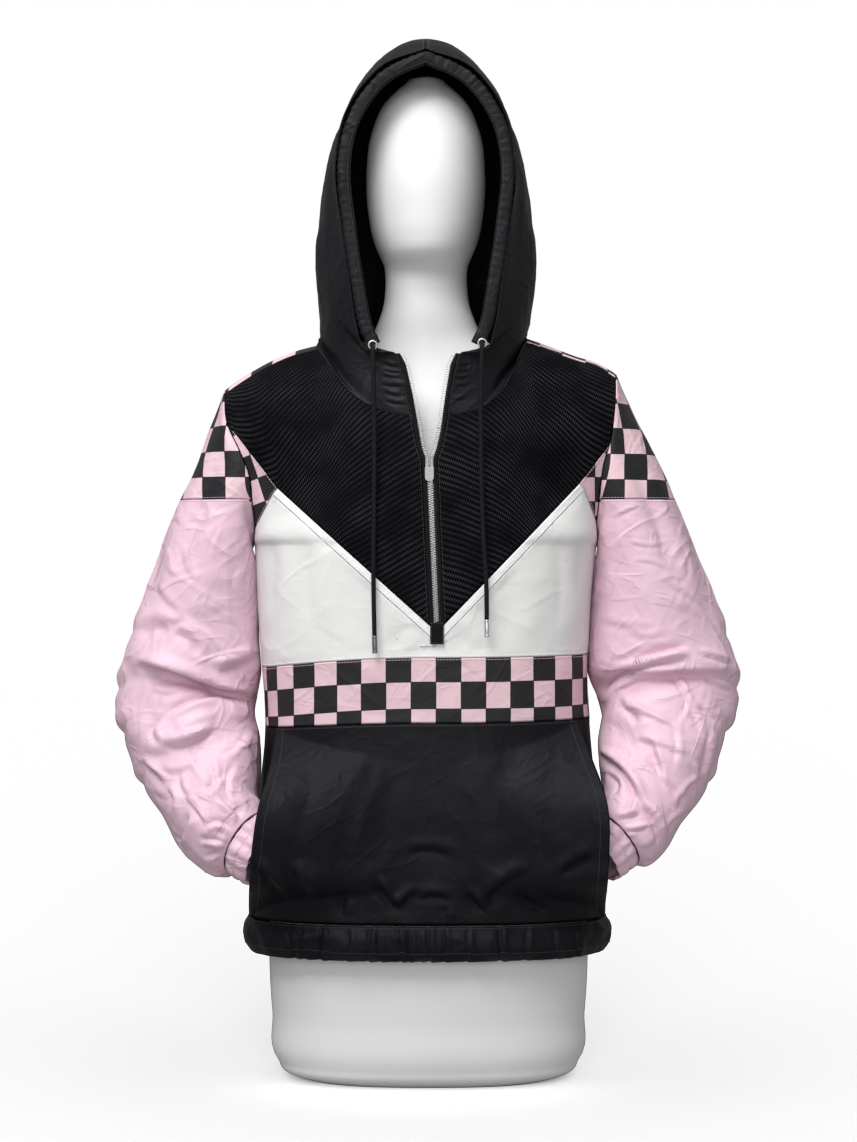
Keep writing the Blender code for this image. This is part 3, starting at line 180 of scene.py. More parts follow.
def rumple(across: Array, along: Array, seed: int, wrap: int = 64) -> Array:
    """Smooth noise from -1 to 1: seeded heights at whole-number corners, eased between them.

    Args:
        across: first coordinate, in cells. It repeats every wrap cells.
        along: second coordinate, in cells.
        seed: which set of heights.
        wrap: cells before the first coordinate repeats.

    Returns:
        The noise at each point.
    """
    heights = np.random.default_rng(seed).uniform(-1, 1, (wrap, 97))
    column, row = np.floor(across).astype(int), np.floor(along).astype(int)
    u, v = across - column, along - row
    u, v = u * u * (3 - 2 * u), v * v * (3 - 2 * v)
    low = heights[column % wrap, row % 97] * (1 - u) + heights[(column + 1) % wrap, row % 97] * u
    high = heights[column % wrap, (row + 1) % 97] * (1 - u) + heights[(column + 1) % wrap, (row + 1) % 97] * u
    return low * (1 - v) + high * v


def crinkle(across: Array, along: Array, seed: int, wrap: int = 64) -> Array:
    """Sharp little ridges where two smooth noises cross zero, bent by a third.

    Args:
        across: first coordinate of each place
        along: second coordinate
        seed: chooses the noises
        wrap: cells after which they repeat

    Returns:
        The height at each place.
    """
    bend = rumple(across, along, seed + 7, wrap)
    first = 1 - np.abs(rumple(across + 0.6 * bend, along + 0.5 * bend, seed, wrap)) * 2.4
    second = 1 - np.abs(rumple(across * 2 + bend, along * 2 - bend, seed + 3, wrap * 2)) * 2.4
    return np.clip(first, 0, 1) ** 1.6 + 0.45 * np.clip(second, 0, 1) ** 1.6 - 0.45


FOLD_COLUMNS = "x1 z1 x2 z2 x3 z3 width depth ridge"


def fold_heights(points: Array, normals: Array, folds: Chart, view: View) -> Array:
    """Height of folds laid out from one side of the jacket.

    Each fold is a curve through three points of that view, in millimetres. Across it the cloth sinks
    by depth in a bell of its width, and beside it rises by ridge times the depth. Along it the fold
    dies away at both ends.

    Args:
        points: points of the cloth.
        normals: their outward directions.
        folds: a chart with the fold columns.
        view: the side that they are laid out from.

    Returns:
        How far each point moves out, in metres.
    """
    axis, outward = view.value
    across_axis = 1 - axis
    flat = np.stack([points[..., across_axis], points[..., 2]], axis=-1) / MM
    facing = ease(0.05, 0.55, normals[..., axis] * outward)
    total = np.zeros(points.shape[:-1])
    share = np.linspace(0, 1, 9)
    for row in folds.rows():
        ends = np.array([[row["x1"], row["z1"]], [row["x3"], row["z3"]]])
        bend = 2 * np.array([row["x2"], row["z2"]]) - ends.mean(axis=0)
        path = ((1 - share)**2)[:, None] * ends[0] + (2 * share * (1 - share))[:, None] * bend
        path = path + (share**2)[:, None] * ends[1]
        nearest = np.full(points.shape[:-1], 1e9)
        signed = np.zeros_like(nearest)
        place = np.zeros_like(nearest)
        for step in range(len(path) - 1):
            leg = path[step + 1] - path[step]
            away = flat - path[step]
            part = np.clip((away @ leg) / (leg @ leg), 0, 1)
            gap = away - part[..., None] * leg
            distance = np.hypot(gap[..., 0], gap[..., 1])
            closer = distance < nearest
            nearest = np.where(closer, distance, nearest)
            side = np.sign(leg[0] * away[..., 1] - leg[1] * away[..., 0])
            signed = np.where(closer, distance * side, signed)
            place = np.where(closer, (step + part) / (len(path) - 1), place)
        fade = ease(0, 0.3, place) * ease(0, 0.3, 1 - place)
        width = row["width"]
        trough = -np.exp(-(np.abs(signed / width) ** 1.35))
        ridge = row["ridge"] * np.exp(-(((signed - 1.9 * width) / (1.3 * width)) ** 2))
        total = total + row["depth"] * MM * (trough + ridge) * fade
    return total * facing


# ---------------------------------------------------------------- the jacket's own form


TORSO = Chart("height left right front back", [
    (0.130, 0.189, 0.187, 0.120, 0.113),
    (0.178, 0.196, 0.193, 0.125, 0.118),
    (0.230, 0.195, 0.191, 0.128, 0.118),
    (0.300, 0.187, 0.184, 0.128, 0.114),
    (0.390, 0.178, 0.176, 0.124, 0.110),
    (0.460, 0.183, 0.174, 0.127, 0.110),
    (0.530, 0.188, 0.178, 0.131, 0.112),
    (0.583, 0.190, 0.183, 0.132, 0.114),
])
ARMHOLE = Chart("rise left right", [
    (0.00, 0.190, 0.183),
    (0.12, 0.187, 0.181),
    (0.25, 0.189, 0.183),
    (0.44, 0.192, 0.187),
    (0.60, 0.203, 0.195),
    (0.76, 0.216, 0.200),
    (1.00, 0.222, 0.204),
])
RIDGE = Chart("reach left right", [
    (0.00, 0.822, 0.822),
    (0.30, 0.816, 0.818),
    (0.55, 0.800, 0.806),
    (0.67, 0.793, 0.797),
    (0.80, 0.780, 0.788),
    (0.90, 0.767, 0.782),
    (1.00, 0.752, 0.770),
])
ZIP_LINE = Chart("height left right", [
    (0.470, 0.0096, 0.0096),
    (0.560, 0.0056, 0.0056),
    (0.668, 0.0009, 0.0009),
    (0.673, -0.0004, 0.0022),
    (0.682, -0.0036, 0.0052),
    (0.700, -0.0068, 0.0094),
    (0.738, -0.0132, 0.0145),
    (0.771, -0.0207, 0.0200),
    (0.784, -0.0275, 0.0260),
])
COLLAR_DEPTH = Chart("height depth", [
    (0.700, 0.1228),
    (0.720, 0.1205),
    (0.750, 0.1195),
    (0.784, 0.1170),
])
NECKLINE = Chart("share left right height_left height_right", [
    (0.00, 0.0175, 0.0190, 0.7170, 0.7170),
    (0.20, 0.0400, 0.0340, 0.7195, 0.7190),
    (0.40, 0.0620, 0.0530, 0.7270, 0.7230),
    (0.60, 0.0800, 0.0680, 0.7390, 0.7335),
    (0.80, 0.0960, 0.0860, 0.7560, 0.7540),
    (1.00, 0.1205, 0.1065, 0.7921, 0.7988),
])


@dataclass(frozen=True)
class Torso:
    """The closed form that every body panel lies on."""

    underarm: float = 0.583
    section_round: float = 2.6
    arch_round: float = 2.6
    armhole_depth: float = 0.070
    back_yoke_seam: float = 0.690
    shoulder_seam_rise: float = 0.965
    hem_seam: float = 0.178

    def points(self, turn: Array, height: Array, facing: Array, slack: Array = 0.0) -> Array:
        """Points of the body.

        turn runs from -90 degrees at the left side seam to 90 at the right one. Below the underarm a
        section is a rounded rectangle. Above it the front and the back arch over to the shoulder
        ridge, and turn ends at the armhole.

        Args:
            turn: angle round the front or the back.
            height: height of each point.
            facing: -1 for the front, 1 for the back.
            slack: how much shallower the cloth lies.

        Returns:
            The points, with a last axis of three.
        """
        turn, height, facing = np.broadcast_arrays(np.asarray(turn, float), height, facing)
        side = np.sign(turn)
        reach = np.abs(np.sin(turn)) ** (2 / self.section_round)
        flat = np.cos(turn) ** 2
        ridge = RIDGE.by_side(side, reach, "reach")
        rise = np.clip((height - self.underarm) / (ridge - self.underarm), 0.0, 1.0)
        low = np.minimum(height, self.underarm)
        width = np.where(rise > 0, ARMHOLE.by_side(side, rise, "rise"), TORSO.by_side(side, low, "height"))
        front, back = TORSO.read("front", low, "height"), TORSO.read("back", low, "height")
        arch = (1.0 - rise**self.arch_round) ** (1 / self.arch_round)
        middle = (np.where(facing < 0, front, back) - slack) * arch
        edge = self.armhole_depth * 2.0 * np.sqrt(rise * (1.0 - rise))
        power = 1 / self.section_round + (1 - 1 / self.section_round) * ease(0.0, 0.35, rise)
        depth = edge + (middle - edge) * flat**power
        return np.stack([side * reach * width, facing * depth, height], axis=-1)

    def turn_at(self, x: Array, height: Array) -> Array:
        """The turn at which the body has this x, found by repeated correction.

        Args:
            x: place across the body, with its sign
            height: height of each place

        Returns:
            The turn of each place, in radians.
        """
        x = np.asarray(x, float)
        side = np.where(x < 0, -1.0, 1.0)
        reach = np.clip(np.abs(x) / 0.19, 0, 1)
        for _ in range(12):
            ridge = RIDGE.by_side(side, reach, "reach")
            rise = np.clip((height - self.underarm) / (ridge - self.underarm), 0, 1)
            low = np.minimum(height, self.underarm)
            width = np.where(rise > 0, ARMHOLE.by_side(side, rise, "rise"), TORSO.by_side(side, low, "height"))
            reach = np.clip(np.abs(x) / width, 0, 1)
        return side * np.arcsin(reach ** (self.section_round / 2))

    def front(self, grid: Array, slack: Array = 0.0) -> Array:
        """The front's points for a grid of (turn, height)."""
        return self.points(grid[..., 0], grid[..., 1], -1.0, slack)

    def seam(self, places: Sequence[Sequence[float]], steps: Sequence[int]) -> Array:
        """A seam on the front: straight legs between (x, height) places, as rows of (turn, height).

        Args:
            places: the (x, height) places that it joins
            steps: number of steps on each leg

        Returns:
            Rows of (turn, height).
        """
        spots = np.array(places, dtype=float)
        legs = [np.linspace(a, b, n + 1)[:-1] for a, b, n in zip(spots[:-1], spots[1:], steps)]
        line = np.vstack(legs + [spots[-1:]])
        return np.stack([self.turn_at(line[:, 0], line[:, 1]), line[:, 1]], axis=-1)


BODY = Torso()


def patch(bottom: Array, top: Array, left: Array, right: Array, rows: Optional[Array] = None) -> Array:
    """Coons patch between four border lines: the two ruled surfaces added, less the corners' share.

    Args:
        bottom: border line along the first row
        top: border line along the last row
        left: border line up the first column
        right: border line up the last column
        rows: share of the way up of each row, if they aren't even

    Returns:
        The grid of points.
    """
    across = np.linspace(0, 1, len(bottom))[None, :, None]
    up = (np.linspace(0, 1, len(left)) if rows is None else rows)[:, None, None]
    ruled_up = (1 - up) * bottom[None] + up * top[None]
    ruled_across = (1 - across) * left[:, None] + across * right[:, None]
    low = (1 - across) * bottom[0] + across * bottom[-1]
    high = (1 - across) * top[0] + across * top[-1]
    return ruled_up + ruled_across - ((1 - up) * low + up * high)


# ---------------------------------------------------------------- materials


class Shade:
    """A number that varies over a surface. Arithmetic on it adds Math nodes."""

    def __init__(self, dye: "DyeBath", socket: bpy.types.NodeSocket) -> None:
        """Wraps an output socket."""
        self.dye = dye
        self.socket = socket

    def _math(self, operation: str, *others: Union["Shade", float], first: bool = True) -> "Shade":
        """A Math node on this value and others.

        Args:
            operation: the node's operation
            others: its other values
            first: whether this value comes before them

        Returns:
            The node's result.
        """
        values = [self, *others] if first else [*others, self]
        node = self.dye.node("ShaderNodeMath", {"operation": operation}, dict(enumerate(values)))
        return Shade(self.dye, node.outputs[0])

    def __add__(self, other: Union["Shade", float]) -> "Shade":
        """Sum."""
        return self._math("ADD", other)

    __radd__ = __add__

    def __sub__(self, other: Union["Shade", float]) -> "Shade":
        """Difference."""
        return self._math("SUBTRACT", other)

    def __rsub__(self, other: Union["Shade", float]) -> "Shade":
        """A number less this."""
        return self._math("SUBTRACT", other, first=False)

    def __mul__(self, other: Union["Shade", float]) -> "Shade":
        """Product."""
        return self._math("MULTIPLY", other)

    __rmul__ = __mul__

    def __truediv__(self, other: Union["Shade", float]) -> "Shade":
        """Quotient."""
        return self._math("DIVIDE", other)

    def __pow__(self, other: Union["Shade", float]) -> "Shade":
        """Power."""
        return self._math("POWER", other)

    def __mod__(self, other: Union["Shade", float]) -> "Shade":
        """Remainder after whole steps, never negative."""
        return self._math("FLOORED_MODULO", other)

    def __abs__(self) -> "Shade":
        """Size without sign."""
        return self._math("ABSOLUTE")

    def sine(self) -> "Shade":
        """Sine of an angle in radians."""
        return self._math("SINE")

    def whole(self) -> "Shade":
        """The whole number below."""
        return self._math("FLOOR")

    def least(self, other: Union["Shade", float]) -> "Shade":
        """The smaller of two."""
        return self._math("MINIMUM", other)

    def most(self, other: Union["Shade", float]) -> "Shade":
        """The larger of two."""
        return self._math("MAXIMUM", other)

    def rise(self, low: float, high: float) -> "Shade":
        """Goes smoothly from 0 at low to 1 at high.

        Args:
            low: value that gives 0
            high: value that gives 1

        Returns:
            The result.
        """
        node = self.dye.node(
            "ShaderNodeMapRange", {"interpolation_type": "SMOOTHSTEP"}, {0: self, 1: low, 2: high, 3: 0.0, 4: 1.0}
        )
        return Shade(self.dye, node.outputs[0])


Socketed = Union[Shade, bpy.types.NodeSocket, float, tuple]


class DyeBath:
    """A material with a Principled shader, and the nodes that vary it."""

    def __init__(self, name: str) -> None:
        """Starts an empty material of that name.

        Args:
            name: the material's name
        """
        self.material = bpy.data.materials.new(name)
        self.material.use_nodes = True
        self.tree = self.material.node_tree
        self.shader = self.tree.nodes["Principled BSDF"]

    def node(self, kind: str, settings: dict, inputs: dict) -> bpy.types.Node:
        """Adds a node.

        Args:
            kind: the node's type.
            settings: its properties, which are set first.
            inputs: a value or a link for each socket, by name or number.

        Returns:
            The node.
        """
        made = self.tree.nodes.new(kind)
        for key, value in settings.items():
            setattr(made, key, value)
        for key, value in inputs.items():
            self.feed(made.inputs[key], value)
        return made

    def feed(self, socket: bpy.types.NodeSocket, value: Socketed) -> None:
        """Links a socket, or sets its number.

        Args:
            socket: the socket to fill
            value: another socket, or a number
        """
        if isinstance(value, Shade):
            self.tree.links.new(value.socket, socket)
        elif isinstance(value, bpy.types.NodeSocket):
            self.tree.links.new(value, socket)
        else:
            socket.default_value = value

    def set(self, **values: Socketed) -> None:
        """Sets or links the shader's sockets; an underscore stands for a space."""
        for key, value in values.items():
            self.feed(self.shader.inputs[key.replace("_", " ")], value)

    def place(self, scale: tuple = (1.0, 1.0, 1.0), turn: tuple = (0.0, 0.0, 0.0)) -> bpy.types.NodeSocket:
        """Object coordinates, scaled and turned.

        Args:
            scale: factor on each axis
            turn: angle about each axis, in radians

        Returns:
            The socket of the coordinates.
        """
        coordinates = self.node("ShaderNodeTexCoord", {}, {})
        mapping = self.node("ShaderNodeMapping", {}, {"Vector": coordinates.outputs["Object"]})
        mapping.inputs["Scale"].default_value = scale
        mapping.inputs["Rotation"].default_value = turn
        return mapping.outputs[0]

    def drawn_out(self, turn: float, stretch: float) -> bpy.types.NodeSocket:
        """Object coordinates stretched along a line that is turned about the depth axis.

        Args:
            turn: angle of the line, in radians.
            stretch: how much longer a pattern becomes along it.

        Returns:
            The coordinates.
        """
        coordinates = self.node("ShaderNodeTexCoord", {}, {})
        mapping = self.node("ShaderNodeMapping", {"vector_type": "TEXTURE"}, {"Vector": coordinates.outputs["Object"]})
        mapping.inputs["Scale"].default_value = (stretch, 1.6, 1.0)
        mapping.inputs["Rotation"].default_value = (0.0, turn, 0.0)
        return mapping.outputs[0]

    def along_cloth(self, name: str) -> tuple[Shade, Shade]:
        """The two coordinates of one of the piece's UV maps.

        Args:
            name: the UV map's name

        Returns:
            The first coordinate and the second.
        """
        uv = self.node("ShaderNodeUVMap", {"uv_map": name}, {})
        parts = self.node("ShaderNodeSeparateXYZ", {}, {0: uv.outputs[0]})
        return Shade(self, parts.outputs[0]), Shade(self, parts.outputs[1])

    def spot(self, across: Socketed, along: Socketed, third: Socketed = 0.0) -> bpy.types.NodeSocket:
        """A vector from numbers."""
        return self.node("ShaderNodeCombineXYZ", {}, {0: across, 1: along, 2: third}).outputs[0]

    def mottle(self, where: bpy.types.NodeSocket, scale: float, detail: float = 3.0, rough: float = 0.5,
               warp: float = 0.0) -> Shade:
        """Smooth noise from 0 to 1."""
        values = {"Vector": where, "Scale": scale, "Detail": detail, "Roughness": rough, "Distortion": warp}
        return Shade(self, self.node("ShaderNodeTexNoise", {}, values).outputs[0])

    def blend(self, share: Socketed, first: Socketed, second: Socketed) -> bpy.types.NodeSocket:
        """A colour between two others."""
        node = self.node("ShaderNodeMix", {"data_type": "RGBA"}, {0: share, 6: first, 7: second})
        return node.outputs[2]

    def emboss(self, height: Shade, distance: float) -> None:
        """Bumps the surface: height is from 0 to 1, and distance is what one stands for, in metres.

        Args:
            height: the relief
            distance: what a height of one stands for, in metres
        """
        values = {"Strength": 1.0, "Distance": distance, "Height": height}
        bump = self.node("ShaderNodeBump", {}, values)
        self.tree.links.new(bump.outputs[0], self.shader.inputs["Normal"])


def opaque(colour: Sequence[float]) -> tuple:
    """A colour with full alpha."""
    return (colour[0], colour[1], colour[2], 1.0)


# Fine creases of the nylon, one set a line: turn (rad), scale, stretch, share of the height
CREASE_SETS = (
    (0.60, 1.00, 3.6, 0.34),
    (-0.55, 1.35, 3.2, 0.27),
    (1.30, 0.85, 3.0, 0.24),
    (-1.15, 2.10, 3.4, 0.15),
    (0.12, 2.60, 3.0, 0.12),
)


@dataclass(frozen=True)
class Nylon:
    """Light woven nylon: fine crinkles, a tight weave, a soft sheen, and ditches at its seams."""

    name: str
    colour: tuple
    # Second colour, painted in random patches and along the creases: painted shade where it is darker than colour,
    # painted highlight where it is lighter.
    mottle_and_crease_shading: tuple
    crumple: float = 0.0010
    crumple_scale: float = 26.0
    roughness: float = 0.52
    specular: float = 0.35
    pucker: float = 0.5
    softness: float = 0.35

    def relief(self, dye: DyeBath) -> tuple[Shade, Shade]:
        """The cloth's relief, and a mask of its sharp creases.

        Args:
            dye: the material at work

        Returns:
            The relief and the mask.
        """
        crease = dye.mottle(dye.place(), self.crumple_scale * 0.8, 2.0) * self.softness
        for turn, scale, stretch, share in CREASE_SETS:
            wave = dye.mottle(dye.drawn_out(turn, stretch), scale * self.crumple_scale, 1.0, 0.5, 0.35)
            tent = (1 - abs(wave - 0.5) * 13.0).most(0.0)
            patches = dye.mottle(dye.place(turn=(turn, 1.0, turn)), scale * self.crumple_scale * 0.55, 1.0)
            shown = patches.rise(0.40, 0.62)
            crease = crease + tent * shown * share
        across, down = dye.along_cloth("cut")
        weave = (across * 9000.0).sine() * (down * 9000.0).sine()
        along, edge = dye.along_cloth("seam")
        ripple = dye.mottle(dye.spot(along * 1.0, edge * 0.18), 210.0, 1.0) - 0.5
        near = 1 - edge.rise(0.0015, 0.011)
        ditch = edge.rise(0.0, 0.0012)
        height = crease * (self.crumple / MM) + weave * 0.012 + ripple * near * self.pucker + ditch * 0.5
        return height, crease

    def build(self) -> bpy.types.Material:
        """The finished material."""
        dye = DyeBath(self.name)
        height, crease = self.relief(dye)
        patchy = dye.mottle(dye.place(), 9.0, 2.0)
        # Painted shade in the creases of light cloth, painted highlight on the creases of black cloth:
        # the colour turns to the second colour along the crease mask, and in random patches.
        base = dye.blend((crease * 0.25 + patchy * 0.5).least(1.0), opaque(self.colour), opaque(self.mottle_and_crease_shading))
        return self.finished(dye, base, patchy, height)

    def finished(self, dye: DyeBath, base: bpy.types.NodeSocket, patchy: Shade, height: Shade) -> bpy.types.Material:
        """The material once its colour, gloss and relief are joined up.

        Args:
            dye: the material at work.
            base: its colour.
            patchy: slow noise that the gloss follows.
            height: its relief, in millimetres.

        Returns:
            The material.
        """
        rough = self.roughness - 0.10 * patchy + 0.05
        dye.set(Base_Color=base, Roughness=rough, Specular_IOR_Level=self.specular)
        dye.emboss(height, MM)
        return dye.material


@dataclass(frozen=True)
class CheckedNylon(Nylon):
    """Nylon printed with squares. The map named checks counts squares in both directions."""

    dark: tuple = (0.03, 0.03, 0.032)
    overprint: float = 0.03

    def build(self) -> bpy.types.Material:
        """The finished material."""
        dye = DyeBath(self.name)
        height, crease = self.relief(dye)
        across, down = dye.along_cloth("checks")
        wide, tall = (across * math.pi).sine(), (down * math.pi).sine()
        printed = (wide * tall * -400.0).least(1.0).most(-1.0) * abs(wide).least(abs(tall))
        square = 1 - printed.rise(self.overprint, self.overprint + 0.04)
        patchy = dye.mottle(dye.place(), 9.0, 2.0)
        # Painted shade: the pink squares darken along the creases and in random patches.
        light = dye.blend((crease * 0.25 + patchy * 0.5).least(1.0), opaque(self.colour), opaque(self.mottle_and_crease_shading))
        # Painted highlight: the dark squares lighten along the creases.
        dark = dye.blend(crease * 0.3, opaque(self.dark), opaque([1.5 * c for c in self.dark]))
        return self.finished(dye, dye.blend(square, light, dark), patchy, height)


@dataclass(frozen=True)
class OpenMesh:
    """Knitted mesh: rows of small round holes, each row half a hole along from the last."""

    name: str = "open_mesh"
    pitch: float = 0.0046
    row_share: float = 0.70
    yarn: tuple = (0.0012, 0.0012, 0.0022)
    # Colour of the backing seen through the holes, painted together with its light.
    behind: tuple = (0.0400, 0.0395, 0.0470)

    def build(self) -> bpy.types.Material:
        """The finished material."""
        dye = DyeBath(self.name)
        across, down = dye.along_cloth("cut")
        row = down / (self.pitch * self.row_share)
        shift = (row.whole() % 2.0) * 0.5
        column = across / self.pitch + shift
        from_middle = ((column % 1.0) - 0.5) ** 2.0 * 1.7 + ((row % 1.0) - 0.5) ** 2.0 * 1.0
        hole = 1 - from_middle.rise(0.03, 0.15)
        ribs = (column * 2 * math.pi * 2).sine() * 0.5 + 0.5
        patchy = dye.mottle(dye.place(), 26.0, 2.0)
        # Painted light: the holes show the backing's colour, lit more in some patches than in others.
        backing_light_in_holes = hole * (patchy.rise(0.30, 0.72) * 0.8 + 0.2)
        _, edge = dye.along_cloth("seam")
        dye.set(
            Base_Color=dye.blend(backing_light_in_holes, opaque(self.yarn), opaque(self.behind)),
            Roughness=0.78 - 0.15 * ribs,
            Specular_IOR_Level=0.05,
        )
        dye.emboss((1 - hole) * 0.8 + ribs * 0.12 + edge.rise(0.0, 0.0015) * 2.4, 0.00015)
        return dye.material


@dataclass(frozen=True)
class Metal:
    """Worn plated metal."""

    name: str
    colour: tuple
    grime: tuple = (0.05, 0.05, 0.05)
    roughness: float = 0.28

    def build(self) -> bpy.types.Material:
        """The finished material."""
        dye = DyeBath(self.name)
        where = dye.place()
        wear = dye.mottle(where, 900.0, 4.0, 0.6)
        scratch = dye.mottle(dye.place((40.0, 40.0, 900.0)), 3.0, 2.0)
        dye.set(
            Base_Color=dye.blend(wear.rise(0.55, 0.80) * 0.6, opaque(self.colour), opaque(self.grime)),
            Roughness=self.roughness + 0.25 * wear,
            Metallic=1.0,
        )
        dye.emboss(wear * 0.5 + scratch * 0.3, 0.00006)
        return dye.material


@dataclass(frozen=True)
class Braid:
    """Round braided cord or woven tape: two crossing sets of strands."""

    name: str
    colour: tuple
    # Colour of the strands' crests; the darker colour left in the hollows between strands is painted shade.
    light: tuple
    strand: float = 0.0016
    depth: float = 0.00035

    def build(self) -> bpy.types.Material:
        """The finished material."""
        dye = DyeBath(self.name)
        round_it, along = dye.along_cloth("cut")
        one = ((along + round_it) * (2 * math.pi / self.strand)).sine()
        other = ((along - round_it) * (2 * math.pi / self.strand)).sine()
        strands = (one * other) * 0.5 + 0.5
        fuzz = dye.mottle(dye.place(), 1500.0, 2.0)
        # Painted shade: the colour darkens in the hollows between the strands, following the bump's pattern; the fuzz
        # adds random tone.
        dye.set(
            Base_Color=dye.blend(strands * 0.6 + fuzz * 0.2, opaque(self.colour), opaque(self.light)),
            Roughness=0.82 - 0.1 * strands,
            Specular_IOR_Level=0.10,
        )
        dye.emboss(strands * 0.8 + fuzz * 0.25, self.depth)
        return dye.material


@dataclass(frozen=True)
class FormSkin:
    """The dress form's matt moulded surface."""

    name: str = "form_skin"
    colour: tuple = (0.80, 0.80, 0.795)
    worn: tuple = (0.72, 0.72, 0.715)

    def build(self) -> bpy.types.Material:
        """The finished material."""
        dye = DyeBath(self.name)
        where = dye.place()
        cloud = dye.mottle(where, 6.0, 3.0)
        grain = dye.mottle(where, 420.0, 2.0)
        dye.set(
            Base_Color=dye.blend(cloud.rise(0.45, 0.8) * 0.5, opaque(self.colour), opaque(self.worn)),
            Roughness=0.62 + 0.12 * grain,
            Specular_IOR_Level=0.3,
        )
        dye.emboss(grain * 0.5 + cloud * 0.5, 0.00015)
        return dye.material


@dataclass(frozen=True)
class SewingThread:
    """Spun thread, twisted from two plies."""

    name: str
    colour: tuple
    light: tuple

    def build(self) -> bpy.types.Material:
        """The finished material."""
        dye = DyeBath(self.name)
        ply = dye.mottle(dye.place(), 2600.0, 2.0)
        dye.set(
            Base_Color=dye.blend(ply, opaque(self.colour), opaque(self.light)),
            Roughness=0.6 + 0.2 * ply,
            Sheen_Weight=0.1,
        )
        dye.emboss(ply, 0.0001)
        return dye.material


@dataclass(frozen=True)
class StudioPaper:
    """The floor's plain pale paper."""

    name: str = "studio_paper"
    colour: tuple = (0.93, 0.93, 0.93)

    def build(self) -> bpy.types.Material:
        """The finished material."""
        dye = DyeBath(self.name)
        fleck = dye.mottle(dye.place(), 60.0, 2.0)
        shade = [c * 0.985 for c in self.colour]
        dye.set(Base_Color=dye.blend(fleck, opaque(self.colour), opaque(shade)), Roughness=0.9)
        return dye.material


class Wardrobe:
    """Every finish of the jacket and its form, each made once."""

    def __init__(self) -> None:
        """Names the finishes."""
        pink, pink_mottle_and_crease_shade = (0.790, 0.550, 0.650), (0.725, 0.475, 0.580)
        # Each nylon's second colour is painted along its creases and in random patches: darker on the white, trim,
        # pink and checked cloth (painted shade), lighter on the black and hood cloth (painted highlight).
        self.finishes = {
            "black": Nylon("black_nylon", (0.0062, 0.0064, 0.0088), (0.0105, 0.0105, 0.0135), crumple=0.0016,
                           specular=0.11, roughness=0.52),
            # Painted light: the hood's nylon is a slightly lighter copy of the black nylon, for the light that falls
            # on the hood.
            "hood": Nylon("hood_nylon", (0.0068, 0.0068, 0.0088), (0.0125, 0.0125, 0.0150), crumple=0.0026,
                          specular=0.14, roughness=0.50),
            "white": Nylon("white_nylon", (0.80, 0.805, 0.79), (0.75, 0.76, 0.745), crumple=0.0014,
                           crumple_scale=17.0, specular=0.2),
            "trim": Nylon("white_trim", (0.88, 0.88, 0.87), (0.85, 0.85, 0.84), crumple=0.0005,
                          specular=0.2),
            "pink": Nylon("pink_nylon", pink, pink_mottle_and_crease_shade, crumple=0.0042, crumple_scale=19.0,
                          roughness=0.44, specular=0.36, softness=0.16),
            "checks": CheckedNylon("checked_nylon", (0.80, 0.570, 0.625), (0.75, 0.525, 0.580), crumple=0.0022,
                                   dark=(0.019, 0.019, 0.021), specular=0.18),
            "mesh": OpenMesh(),
            "silver": Metal("zip_silver", (0.46, 0.455, 0.44)),
            # The dark metal serves the slider and, as painted shade, the left cord tip; the bright metal is the right
            # cord tip's painted light.
            "dark_slider_and_shaded_tip_metal": Metal("dark_nickel", (0.22, 0.22, 0.23), roughness=0.30),
            # A darker copy of the silver, for the zip pull.
            "pull_darker_metal": Metal("worn_nickel", (0.30, 0.30, 0.295), roughness=0.30),
            "painted_lit_tip_metal": Metal("bright_nickel", (0.74, 0.74, 0.73), roughness=0.22),
            "cord": Braid("braided_cord", (0.0070, 0.0070, 0.0085), (0.0200, 0.0200, 0.0225)),
            "tape": Braid("woven_tape", (0.0050, 0.0050, 0.0065), (0.0120, 0.0120, 0.0140), strand=0.0011,
                          depth=0.0002),
            "form": FormSkin(),
            "thread_black": SewingThread("thread_black", (0.020, 0.020, 0.022), (0.045, 0.045, 0.048)),
            "thread_white": SewingThread("thread_white", (0.86, 0.86, 0.85), (0.95, 0.95, 0.94)),
            "thread_pink": SewingThread("thread_pink", (0.62, 0.38, 0.47), (0.74, 0.50, 0.58)),
            "paper": StudioPaper(),
        }
        self.made: dict[str, bpy.types.Material] = {}

    def __getitem__(self, key: str) -> bpy.types.Material:
        """The material of that finish, built the first time that it is asked for.

        Args:
            key: the finish's name

        Returns:
            The material.
        """
        if key not in self.made:
            self.made[key] = self.finishes[key].build()
        return self.made[key]


WARDROBE = Wardrobe()


# ---------------------------------------------------------------- cloth from grids of points


